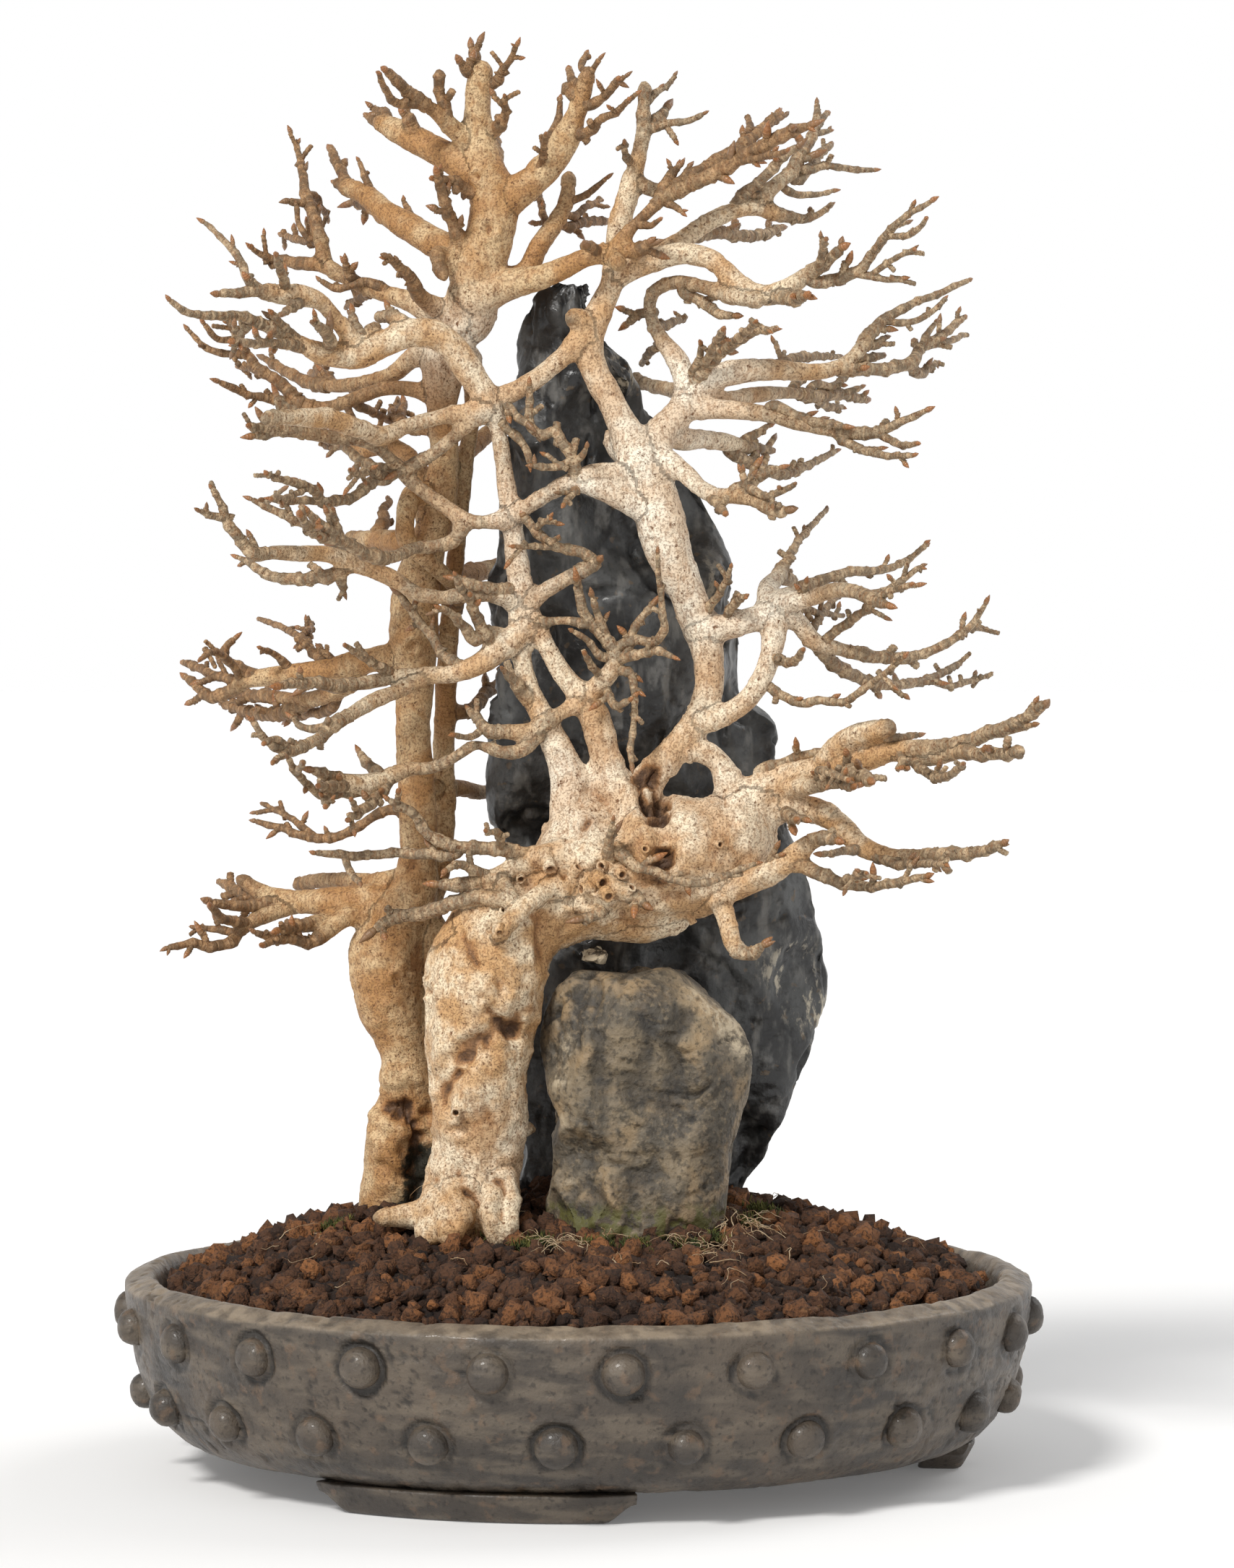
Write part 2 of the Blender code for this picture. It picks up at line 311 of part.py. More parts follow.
    "west_tier": ("stem_a", -66, [(-31, 367, 4, -13), (-40, 365.5, 3.2, -13), (-50, 363, 3, -10),
        (-59, 360.5, 3, -12), (-67, 357.5, 3.4, -18), (-75, 359.5, 3.6, -27), (-84, 362.5, 3.7, -36),
        (-94, 363.5, 3.6, -46), (-103, 363.5, 3.1, -56), (-109, 363, 2.4, -62)]),
    "west_main_a": ("stem_a", -46, [(-77, 387, 4), (-79.5, 392.5, 3.4), (-84, 398, 3), (-89, 403.5, 3.4),
        (-96, 405.5, 4.2), (-103, 406, 3.8), (-110, 407, 2.4), (-117, 406.5, 1.6), (-124, 406, 1.2)]),
    "rear_h": ("limb_k", 102, [(68, 294, 4, 4), (68, 292, 3.4, 34), (60, 294, 2.8, 66),
        (46, 297, 2.2, 88), (32, 302, 1.4, 102)]),
    "rear_i": ("limb_d", 96, [(37, 371, 4, 8), (37, 372, 3.2, 34), (28, 374, 2.8, 58),
        (14, 378, 2.2, 80), (1, 384, 1.4, 96)]),
    "rear_j": ("limb_m", 90, [(86, 226, 4.2, -22), (86, 225, 3.6, 4), (80, 226, 3.1, 34),
        (68, 226, 2.5, 64), (52, 227, 1.5, 90)]),
}


def clear_scene():
    for obj in list(bpy.data.objects):
        bpy.data.objects.remove(obj, do_unlink=True)


def make_collection(name, is_cutters=False):
    collection = bpy.data.collections.new(name)
    bpy.context.scene.collection.children.link(collection)
    collection.hide_render = is_cutters
    return collection


def make_material(name, colour, roughness, metallic=0.0):
    material = bpy.data.materials.new(name)
    material.use_nodes = True
    shader = material.node_tree.nodes["Principled BSDF"]
    shader.inputs["Base Color"].default_value = (*colour, 1.0)
    shader.inputs["Roughness"].default_value = roughness
    shader.inputs["Metallic"].default_value = metallic
    return material


def add_object(name, mesh, collection, material=None):
    obj = bpy.data.objects.new(name, mesh)
    collection.objects.link(obj)
    if material:
        mesh.materials.clear()
        mesh.materials.append(material)
    return obj


def add_cutter(name, mesh, collection):
    cutter = add_object(name, mesh, collection)
    cutter.hide_render = True
    cutter.display_type = "WIRE"
    return cutter


def add_boolean(target, tool, operation):
    """Joins or cuts with one object or with every object of a collection, by the EXACT solver."""
    modifier = target.modifiers.new(f"{operation.title()} {tool.name}", "BOOLEAN")
    modifier.operation = operation
    if isinstance(tool, bpy.types.Collection):
        modifier.operand_type = "COLLECTION"
        modifier.collection = tool
    else:
        modifier.object = tool
    return modifier


def bake(obj):
    """Replaces the object's mesh by what its modifiers make of it."""
    graph = bpy.context.evaluated_depsgraph_get()
    mesh = bpy.data.meshes.new_from_object(obj.evaluated_get(graph))
    obj.modifiers.clear()
    obj.data = mesh
    return obj


def smooth(obj):
    obj.data.shade_smooth()
    return obj


def at_depth(x, height, depth):
    """The point at this depth that the elevation shows at (x, height), all in millimetres."""
    drawn = Vector((x * MM, 0.0, height * MM))
    reach = (depth * MM - EYE.y) / -EYE.y
    return EYE + (drawn - EYE) * reach


def turned_mesh(name, profile, steps):
    """A profile of (radius, height) turned once around the world Z axis."""
    mesh = bpy.data.meshes.new(name)
    points = [(radius * MM, 0.0, height * MM) for radius, height in profile]
    mesh.from_pydata(points, [(i, i + 1) for i in range(len(points) - 1)], [])
    obj = bpy.data.objects.new(name, mesh)
    bpy.context.scene.collection.objects.link(obj)
    screw = obj.modifiers.new("Screw", "SCREW")
    screw.steps = steps
    screw.render_steps = steps
    screw.use_merge_vertices = True
    screw.merge_threshold = 0.00001
    bake(obj)
    turned = obj.data
    bpy.data.objects.remove(obj)
    return turned


def tube_mesh(name, points, sides):
    """A closed tube through (point, radius) pairs, made from a bevelled curve."""
    curve = bpy.data.curves.new(name, "CURVE")
    curve.dimensions = "3D"
    curve.bevel_depth = MM
    curve.bevel_resolution = sides // 2 - 2
    curve.use_fill_caps = True
    spline = curve.splines.new("POLY")
    spline.points.add(len(points) - 1)
    for target, (point, radius) in zip(spline.points, points):
        target.co = (*point, 1.0)
        target.radius = radius
    obj = bpy.data.objects.new(name, curve)
    bpy.context.scene.collection.objects.link(obj)
    graph = bpy.context.evaluated_depsgraph_get()
    mesh = bpy.data.meshes.new_from_object(obj.evaluated_get(graph))
    bpy.data.objects.remove(obj)
    shape = bmesh.new()
    shape.from_mesh(mesh)
    bmesh.ops.remove_doubles(shape, verts=shape.verts, dist=0.000001)
    bmesh.ops.recalc_face_normals(shape, faces=shape.faces)
    shape.to_mesh(mesh)
    shape.free()
    return mesh


def loft_mesh(name, rings):
    """Level rings of points, joined in order and closed at both ends with one face each."""
    shape = bmesh.new()
    layers = [[shape.verts.new(point) for point in ring] for ring in rings]
    count = len(layers[0])
    for lower, upper in zip(layers, layers[1:]):
        for i in range(count):
            j = (i + 1) % count
            shape.faces.new((lower[i], lower[j], upper[j], upper[i]))
    shape.faces.new(list(reversed(layers[0])))
    shape.faces.new(layers[-1])
    bmesh.ops.triangulate(shape, faces=shape.faces)
    bmesh.ops.recalc_face_normals(shape, faces=shape.faces)
    mesh = bpy.data.meshes.new(name)
    shape.to_mesh(mesh)
    shape.free()
    return mesh


def nearest_on_limb(points, x, height):
    """The nearest place on a limb's line in the elevation: (x, height, radius, depth)."""
    best = None
    for start, end in zip(points, points[1:]):
        run = (end[0] - start[0], end[1] - start[1])
        length = max(run[0] ** 2 + run[1] ** 2, TINY)
        along = ((x - start[0]) * run[0] + (height - start[1]) * run[1]) / length
        along = min(max(along, 0.0), 1.0)
        place = [start[k] + (end[k] - start[k]) * along for k in range(4)]
        distance = math.hypot(place[0] - x, place[1] - height)
        if best is None or distance < best[0]:
            best = (distance, place)
    return best[1]


def traced_limbs(limbs):
    """Gives every point of every limb its depth: {name: [(x, height, radius, depth), ...]}."""
    traced = {}
    for name, (parent, tip_depth, points) in limbs.items():
        points = [tuple(point) for point in points]
        root_depth = tip_depth
        if parent:
            root = nearest_on_limb(traced[parent], points[0][0], points[0][1])
            root_depth = root[3]
            apart = math.hypot(root[0] - points[0][0], root[1] - points[0][1])
            if apart > ROOT_REACH * root[2] or len(points[0]) > 3:
                radius = min(points[0][2] * ROOT_FLARE, root[2] * ROOT_SHARE)
                points.insert(0, (root[0], root[1], radius, root_depth))
        lengths = [0.0]
        for a, b in zip(points, points[1:]):
            lengths.append(lengths[-1] + math.hypot(b[0] - a[0], b[1] - a[1]))
        shares = [length / lengths[-1] for length in lengths]
        known = [(share, point[3]) for share, point in zip(shares, points) if len(point) > 3 and share > 0]
        ends = known if known and known[-1][0] == 1.0 else known + [(1.0, tip_depth)]
        stops = [(0.0, root_depth)] + ends
        traced[name] = []
        for share, point in zip(shares, points):
            i = max(k for k in range(len(stops)) if stops[k][0] <= share + TINY)
            j = min(i + 1, len(stops) - 1)
            span = stops[j][0] - stops[i][0]
            part = (share - stops[i][0]) / span if span > TINY else 0.0
            eased = part if known else part ** DEPTH_EASE
            depth = stops[i][1] + (stops[j][1] - stops[i][1]) * eased
            traced[name].append((point[0], point[1], point[2], depth))
    return traced


def limb_mesh(name, points, grow=0.0):
    """One limb as a tube: more sides on the boles, fewer on the twigs."""
    thickest = max(point[2] for point in points)
    sides = THICK_SIDES if thickest > THICK_LIMB else THIN_SIDES
    placed = [(at_depth(x, height, depth), radius + grow) for x, height, radius, depth in points]
    return tube_mesh(name, placed, sides)


def make_tree(name, limbs, parts, cutters, material):
    """Every limb as its own tube, all grown together into one closed body."""
    traced = traced_limbs(limbs)
    group = bpy.data.collections.new(name + "_limbs")
    cutters.children.link(group)
    group.hide_render = True
    for limb, points in list(traced.items())[1:]:
        add_cutter(f"{name}_{limb}", limb_mesh(limb, points), group)
    tree = add_object(name, limb_mesh(name, traced["bole"]), parts, material)
    add_boolean(tree, group, "UNION")
    bake(tree)
    return smooth(tree), traced


def rock_rings(slices, grow=0.0):
    """Level slices as rings of points, each an egg between its left, right, front and back."""
    rings = []
    for height, left, right, front, back in slices:
        middle = ((left + right) / 2, (front + back) / 2)
        half = ((right - left) / 2 + grow, (back - front) / 2 + grow)
        ring = []
        for i in range(ROCK_SIDES):
            angle = 2 * math.pi * i / ROCK_SIDES
            across = math.copysign(abs(math.cos(angle)) ** ROCK_SQUARE, math.cos(angle))
            along = math.copysign(abs(math.sin(angle)) ** ROCK_SQUARE, math.sin(angle))
            x = middle[0] + half[0] * across
            ring.append(at_depth(x, height, middle[1] + half[1] * along))
        rings.append(ring)
    return rings


def make_rock(name, slices, parts, material):
    return smooth(add_object(name, loft_mesh(name, rock_rings(slices)), parts, material))


def rock_cutter(name, slices, cutters):
    lowest = (slices[0][0] - GAP, *slices[0][1:])
    rings = rock_rings([lowest, *slices[1:]], SEAT_GAP)
    return add_cutter(name, loft_mesh(name, rings), cutters)


def make_wedge(parts, material):
    rings = [[at_depth(x, height, depth) for x, height in WEDGE_STONE] for depth in WEDGE_DEPTHS]
    return add_object("wedge_stone", loft_mesh("wedge_stone", rings), parts, material)


def on_circle(radius, degrees, height):
    """A point on a circle around the pot's axis; 0 degrees is the front, and + is to the right."""
    angle = math.radians(degrees)
    return Vector((radius * MM * math.sin(angle), -radius * MM * math.cos(angle), height * MM))


def rivet_mesh(name):
    shape = bmesh.new()
    bmesh.ops.create_cone(
        shape, cap_ends=True, segments=RIVET_SIDES, radius1=RIVET_BASE * MM, radius2=RIVET_TOP * MM,
        depth=(RIVET_RISE + RIVET_ROOT) * MM,
    )
    mesh = bpy.data.meshes.new(name)
    shape.to_mesh(mesh)
    shape.free()
    return mesh


def add_rivets(pot, cutters):
    group = bpy.data.collections.new("rivets")
    cutters.children.link(group)
    group.hide_render = True
    mesh = rivet_mesh("rivet")
    pitch = 360.0 / RIVETS_PER_ROW
    for row, (height, radius, phase) in enumerate(RIVET_ROWS):
        for i in range(RIVETS_PER_ROW):
            degrees = (i + phase) * pitch
            place = on_circle(radius + (RIVET_RISE - RIVET_ROOT) / 2, degrees, height)
            outwards = Vector((place.x, place.y, 0.0)).normalized()
            rivet = add_cutter(f"rivet_{row}_{i}", mesh, group)
            turn = outwards.to_track_quat("Z", "Y").to_matrix().to_4x4()
            rivet.matrix_world = Matrix.Translation(place) @ turn
    bpy.context.view_layer.update()
    add_boolean(pot, group, "UNION")


def foot_mesh(name, middle):
    """A flat sector of a ring, extruded from the ground up into the pot's underside."""
    curve = bpy.data.curves.new(name, "CURVE")
    curve.dimensions = "2D"
    curve.fill_mode = "BOTH"
    thick = FOOT_HEIGHT + FOOT_ROOT
    curve.extrude = thick / 2 * MM
    spline = curve.splines.new("POLY")
    spline.use_cyclic_u = True
    angles = [middle + FOOT_SWEEP * (i / FOOT_STEPS - 0.5) for i in range(FOOT_STEPS + 1)]
    outline = [on_circle(FOOT_RADII[1], angle, 0) for angle in angles]
    outline += [on_circle(FOOT_RADII[0], angle, 0) for angle in reversed(angles)]
    spline.points.add(len(outline) - 1)
    for target, point in zip(spline.points, outline):
        target.co = (point.x, point.y, 0.0, 1.0)
    obj = bpy.data.objects.new(name, curve)
    bpy.context.scene.collection.objects.link(obj)
    graph = bpy.context.evaluated_depsgraph_get()
    mesh = bpy.data.meshes.new_from_object(obj.evaluated_get(graph))
    bpy.data.objects.remove(obj)
    shape = bmesh.new()
    shape.from_mesh(mesh)
    bmesh.ops.translate(shape, verts=shape.verts, vec=(0.0, 0.0, thick / 2 * MM))
    bmesh.ops.remove_doubles(shape, verts=shape.verts, dist=0.000001)
    bmesh.ops.recalc_face_normals(shape, faces=shape.faces)
    shape.to_mesh(mesh)
    shape.free()
    return mesh


def make_pot(parts, cutters, material):
    pot = add_object("pot", turned_mesh("pot", POT_PROFILE, POT_TURN_STEPS), parts, material)
    feet = bpy.data.collections.new("feet")
    cutters.children.link(feet)
    feet.hide_render = True
    for i in range(FEET):
        middle = FOOT_START + i * 360.0 / FEET
        add_cutter(f"foot_{i}", foot_mesh(f"foot_{i}", middle), feet)
    add_boolean(pot, feet, "UNION")
    add_rivets(pot, cutters)
    holes = bpy.data.collections.new("drain_holes")
    cutters.children.link(holes)
    holes.hide_render = True
    for i in range(DRAIN_HOLES):
        mesh = drum_mesh("drain_hole", DRAIN_RADIUS, FLOOR_TOP, DRAIN_SIDES)
        hole = add_cutter(f"drain_hole_{i}", mesh, holes)
        hole.location = on_circle(DRAIN_CIRCLE, drain_angle(i), (FLOOR_TOP + FOOT_HEIGHT) / 2)
    bpy.context.view_layer.update()
    add_boolean(pot, holes, "DIFFERENCE")
    bake(pot)
    return smooth(pot)


def drain_angle(i):
    return DRAIN_START + i * 360.0 / DRAIN_HOLES


def drum_mesh(name, radius, height, sides):
    shape = bmesh.new()
    bmesh.ops.create_cone(
        shape, cap_ends=True, segments=sides, radius1=radius * MM, radius2=radius * MM, depth=height * MM,
    )
    mesh = bpy.data.meshes.new(name)
    shape.to_mesh(mesh)
    shape.free()
    return mesh


def box_mesh(name, size):
    shape = bmesh.new()
    bmesh.ops.create_cube(shape, size=1.0)
    bmesh.ops.scale(shape, vec=Vector(size) * MM, verts=shape.verts)
    mesh = bpy.data.meshes.new(name)
    shape.to_mesh(mesh)
    shape.free()
    return mesh


def make_drain_mesh(i, parts, cutters, material):
    """A square of plastic screen over a drain hole, with its openings cut right through."""
    name = f"drain_mesh_{i + 1}"
    place = on_circle(DRAIN_CIRCLE, drain_angle(i), FLOOR_TOP + GAP + MESH_THICK / 2)
    screen = add_object(name, box_mesh(name, (MESH_SIDE, MESH_SIDE, MESH_THICK)), parts, material)
    screen.location = place
    openings = bpy.data.collections.new(name + "_openings")
    cutters.children.link(openings)
    openings.hide_render = True
    pitch = (MESH_SIDE - MESH_BAR) / MESH_OPENINGS
    side = pitch - MESH_BAR
    mesh = box_mesh("opening", (side, side, 4 * MESH_THICK))
    for row in range(MESH_OPENINGS):
        for column in range(MESH_OPENINGS):
            x = (column - (MESH_OPENINGS - 1) / 2) * pitch
            y = (row - (MESH_OPENINGS - 1) / 2) * pitch
            opening = add_cutter(f"{name}_opening_{row}{column}", mesh, openings)
            opening.location = place + Vector((x, y, 0.0)) * MM
    bpy.context.view_layer.update()
    add_boolean(screen, openings, "DIFFERENCE")
    return bake(screen)


def make_clip(i, parts, material):
    """Bent wire: across the mesh, down through two openings and the hole, and out below the floor."""
    name = f"mesh_clip_{i + 1}"
    top = FLOOR_TOP + GAP + MESH_THICK + GAP + CLIP_WIRE
    bottom = FOOT_HEIGHT - GAP - CLIP_WIRE
    half = CLIP_SPAN / 2
    tail = half + CLIP_TAIL
    route = [(tail, bottom), (half, bottom), (half, top), (-half, top), (-half, bottom), (-tail, bottom)]
    middle = on_circle(DRAIN_CIRCLE, drain_angle(i), 0)
    points = [(middle + Vector((x, 0.0, height)) * MM, CLIP_WIRE) for x, height in route]
    return smooth(add_object(name, tube_mesh(name, points, THIN_SIDES), parts, material))


def dip(x, y):
    """How far the mound is scooped out in front of the boulder, in millimetres."""
    along = math.exp(-(((y / MM - DIP_PLACE[1]) / DIP_REACH[1]) ** 2))
    return DIP_DEPTH * MM * along * math.exp(-(((x / MM - DIP_PLACE[0]) / DIP_REACH[0]) ** 2))


def make_soil(parts, cutters, trees, material):
    profile = SOIL_TOP + SOIL_SIDE + [(0, SOIL_SIDE[-1][1])]
    mesh = turned_mesh("soil_bed", profile, SOIL_TURN_STEPS)
    for vertex in mesh.vertices:
        if vertex.co.z > SOIL_SIDE[0][1] * MM:
            vertex.co.z -= dip(vertex.co.x, vertex.co.y)
    soil = add_object("soil_bed", mesh, parts, material)
    beds = bpy.data.collections.new("soil_hollows")
    cutters.children.link(beds)
    beds.hide_render = True
    for name, traced in trees.items():
        add_cutter(name + "_seat", limb_mesh(name, traced["bole"], SEAT_GAP), beds)
        for limb, points in traced.items():
            if limb.startswith("toe"):
                add_cutter(f"{name}_{limb}_seat", limb_mesh(limb, points, SEAT_GAP), beds)
    rock_cutter("tall_rock_seat", TALL_ROCK, beds)
    rock_cutter("front_boulder_seat", FRONT_BOULDER, beds)
    deep = SOIL_POCKET_TOP - FOOT_HEIGHT
    mesh = drum_mesh("pocket", SOIL_POCKET, deep, DRAIN_SIDES)
    for i in range(DRAIN_HOLES):
        pocket = add_cutter(f"drain_pocket_{i}", mesh, beds)
        pocket.location = on_circle(DRAIN_CIRCLE, drain_angle(i), SOIL_POCKET_TOP - deep / 2)
    bpy.context.view_layer.update()
    add_boolean(soil, beds, "DIFFERENCE")
    bake(soil)
    return smooth(soil)


def main():
    clear_scene()
    parts = make_collection("bonsai_tree_in_pot")
    cutters = make_collection("cutters", is_cutters=True)
    make_pot(parts, cutters, make_material("pot_clay", (0.20, 0.17, 0.145), 0.72))
    left_bark = make_material("left_bark", (0.55, 0.37, 0.20), 0.62)
    front_bark = make_material("front_bark", (0.72, 0.60, 0.44), 0.60)
    trees = {}
    _, trees["left_tree"] = make_tree("left_tree", LEFT_LIMBS, parts, cutters, left_bark)
    _, trees["front_tree"] = make_tree("front_tree", FRONT_LIMBS, parts, cutters, front_bark)
    make_rock("tall_rock", TALL_ROCK, parts, make_material("dark_rock", (0.045, 0.045, 0.045), 0.45))
    make_rock("front_boulder", FRONT_BOULDER, parts, make_material("grey_rock", (0.23, 0.19, 0.14), 0.8))
    make_wedge(parts, make_material("pale_rock", (0.62, 0.55, 0.44), 0.7))
    make_soil(parts, cutters, trees, make_material("lava_soil", (0.16, 0.075, 0.04), 0.95))
    for i in range(DRAIN_HOLES):
        plastic = make_material(f"mesh_plastic_{i + 1}", (0.03, 0.10, 0.05), 0.6)
        wire = make_material(f"clip_wire_{i + 1}", (0.55, 0.55, 0.56), 0.35, 1.0)
        make_drain_mesh(i, parts, cutters, plastic)
        make_clip(i, parts, wire)


main()
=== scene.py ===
# %% [markdown]
# # A bonsai in a round drum pot
# Two bare old trees grow against an upright dark rock, on a mound of lava grit in a studded clay pot.
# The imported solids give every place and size. This lesson dresses them: bark, twigs, buds, broken
# stone, loose grit and fired clay, each worked out as arrays of numbers and handed to a mesh.

# %% the fixed frame
import math

import bpy
import numpy as np
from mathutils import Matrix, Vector


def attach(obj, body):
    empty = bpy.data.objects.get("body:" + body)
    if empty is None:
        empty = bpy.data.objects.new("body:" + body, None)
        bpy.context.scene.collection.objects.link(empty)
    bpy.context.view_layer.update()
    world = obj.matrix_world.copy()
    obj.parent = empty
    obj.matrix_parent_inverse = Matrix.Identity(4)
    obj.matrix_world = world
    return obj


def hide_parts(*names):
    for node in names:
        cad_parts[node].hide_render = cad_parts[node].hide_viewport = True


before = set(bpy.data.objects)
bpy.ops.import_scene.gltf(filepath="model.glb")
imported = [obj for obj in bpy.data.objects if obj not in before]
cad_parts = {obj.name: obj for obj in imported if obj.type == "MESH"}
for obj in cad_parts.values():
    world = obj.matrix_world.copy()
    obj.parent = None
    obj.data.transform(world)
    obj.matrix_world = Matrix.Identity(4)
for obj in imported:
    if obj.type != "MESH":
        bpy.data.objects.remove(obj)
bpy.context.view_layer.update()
MM = 0.001
print("solids:", ", ".join(sorted(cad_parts)))

# %% [markdown]
# ## From arrays to a mesh
# A piece could be made with Blender's own primitives, but bark and stone have no primitive. So each
# shape below is an array of points and an array of faces, and one helper turns them into an object.

# %% mesh helpers
def make_piece(name, points, faces, material, values=None):
    """Points (n, 3) in millimetres and blocks of faces become one smooth object at the origin."""
    mesh = bpy.data.meshes.new(name)
    listed = [face for block in faces for face in (block if isinstance(block, list) else block.tolist())]
    mesh.from_pydata((points * MM).tolist(), [], listed)
    for key, value in (values or {}).items():
        layer = mesh.attributes.new(key, "FLOAT", "POINT")
        layer.data.foreach_set("value", np.asarray(value, np.float32))
    mesh.shade_smooth()
    mesh.update()
    piece = bpy.data.objects.new(name, mesh)
    bpy.context.scene.collection.objects.link(piece)
    mesh.materials.append(material)
    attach(piece, "root")
    print(f"{name}: {len(points)} points, {len(listed)} faces")
    return piece


def grid_faces(rows, columns, start=0):
    """Quads between neighbours of a (rows, columns) grid whose columns close on themselves."""
    row, column = np.meshgrid(np.arange(rows - 1), np.arange(columns), indexing="ij")
    a = start + row * columns + column
    b = start + row * columns + (column + 1) % columns
    return np.stack([a, b, b + columns, a + columns], -1).reshape(-1, 4)


def pole_faces(ring, pole, is_first):
    """Triangles from a ring's indices to one point, facing out of the first or the last ring."""
    after = np.roll(ring, -1)
    order = (after, ring) if is_first else (ring, after)
    return np.stack([*order, np.full(len(ring), pole)], -1)


def closed_grid(grid):
    """Points and faces of a (rows, columns, 3) grid of rings, closed by a pole at each end."""
    rows, columns, _ = grid.shape
    total = rows * columns
    poles = np.stack([grid[0].mean(0), grid[-1].mean(0)])
    points = np.concatenate([grid.reshape(-1, 3), poles])
    ends = [
        pole_faces(np.arange(columns), total, True),
        pole_faces(np.arange(total - columns, total), total + 1, False),
    ]
    return points, grid_faces(rows, columns), np.concatenate(ends)


def ring_values(values, columns):
    """One number a ring becomes one a point of closed_grid: each pole takes the number of its ring."""
    values = np.asarray(values)
    return np.concatenate([np.repeat(values, columns), values[[0, -1]]])


def stack_shapes(shapes):
    """Many (points, quads, triangles) shapes become one, each one's indices moved up."""
    starts = np.cumsum([0] + [len(shape[0]) for shape in shapes[:-1]])
    points = np.concatenate([shape[0] for shape in shapes])
    faces = [np.concatenate([shape[k] + start for shape, start in zip(shapes, starts)]) for k in (1, 2)]
    return points, *faces


def turns(count):
    """This many equal angles of a whole turn."""
    return np.arange(count) * 2 * math.pi / count


def unit(vectors):
    """Each vector divided by its own length."""
    return vectors / np.maximum(np.linalg.norm(vectors, axis=-1, keepdims=True), 1e-9)


# %% [markdown]
# ## Roughness without a pattern
# Stone, bark and clay are uneven at every size. Value noise gives that: a number at each corner of a
# cubic lattice, blended smoothly in between, and several lattices added, each one finer and weaker.

# %% noise
def lattice_noise(points, size, seed=0):
    """Each corner of a lattice of this size holds a number from -1 to 1, made by mixing its integer
    coordinates. A point takes the smoothstep-weighted mean of the eight corners round it."""
    scaled = points / size + 100.5
    cell = np.floor(scaled).astype(np.int64)
    part = scaled - cell
    part = part * part * (3 - 2 * part)
    total = np.zeros(len(points))
    for corner in range(8):
        step = np.array([corner & 1, corner >> 1 & 1, corner >> 2 & 1])
        at = cell + step
        mixed = at[:, 0] * 73856093 ^ at[:, 1] * 19349663 ^ at[:, 2] * 83492791 ^ (seed + 1) * 2654435
        mixed = (mixed ^ mixed >> 13) * 1274126177
        value = ((mixed ^ mixed >> 16) & 0xFFFF) / 32767.5 - 1
        total += value * np.prod(np.where(step, part, 1 - part), axis=1)
    return total


def fractal_noise(points, size, octaves=4, seed=0, is_ridged=False):
    """The sum of noises at size, size/2, size/4 and so on, each half as strong; a ridged one folds
    every noise at zero, so that it has sharp creases."""
    total = np.zeros(len(points))
    for octave in range(octaves):
        layer = lattice_noise(points, size / 2**octave, seed + octave)
        total += (1 - 2 * np.abs(layer) if is_ridged else layer) / 2**octave
    return total


def smooth_step(low, high, values):
    """0 at low, 1 at high and 3 t^2 - 2 t^3 in between; it runs downwards if low is the larger."""
    share = np.clip((values - low) / (high - low), 0, 1)
    return share * share * (3 - 2 * share)


def bell(apart, width):
    """A Gaussian, exp(-(apart / width)^2): 1 in the middle and nearly 0 at twice the width."""
    return np.exp(-((apart / width) ** 2))


def signed_power(wave, exponent):
    """|wave|^exponent with the sign of the wave. Below 1 it squares off a circle's sine and cosine."""
    return np.sign(wave) * np.abs(wave) ** exponent


# %% [markdown]
# ## Shader maths in plain Python
# A finish is a small calculation: a colour here, a darker one where a noise is high. Wiring nodes by
# hand hides that. The class below wraps a socket, so that `a * b + c` adds the nodes by itself.

# %% finishes
class Wire:
    """An output socket of a finish's node tree, on which + - * / and ** add Math nodes."""

    def __init__(self, finish, socket):
        self.finish = finish
        self.socket = socket

    def __add__(self, other):
        return self.finish.maths("ADD", self, other)

    def __sub__(self, other):
        return self.finish.maths("SUBTRACT", self, other)

    def __rsub__(self, other):
        return self.finish.maths("SUBTRACT", other, self)

    def __mul__(self, other):
        return self.finish.maths("MULTIPLY", self, other)

    def __pow__(self, other):
        return self.finish.maths("POWER", self, other)

    __radd__ = __add__
    __rmul__ = __mul__

    def steps(self, low, high):
        """0 below low, 1 above high, and a smooth step in between."""
        inputs = {"Value": self, "From Min": low, "From Max": high}
        return self.finish.node("ShaderNodeMapRange", {"interpolation_type": "SMOOTHSTEP"}, inputs)


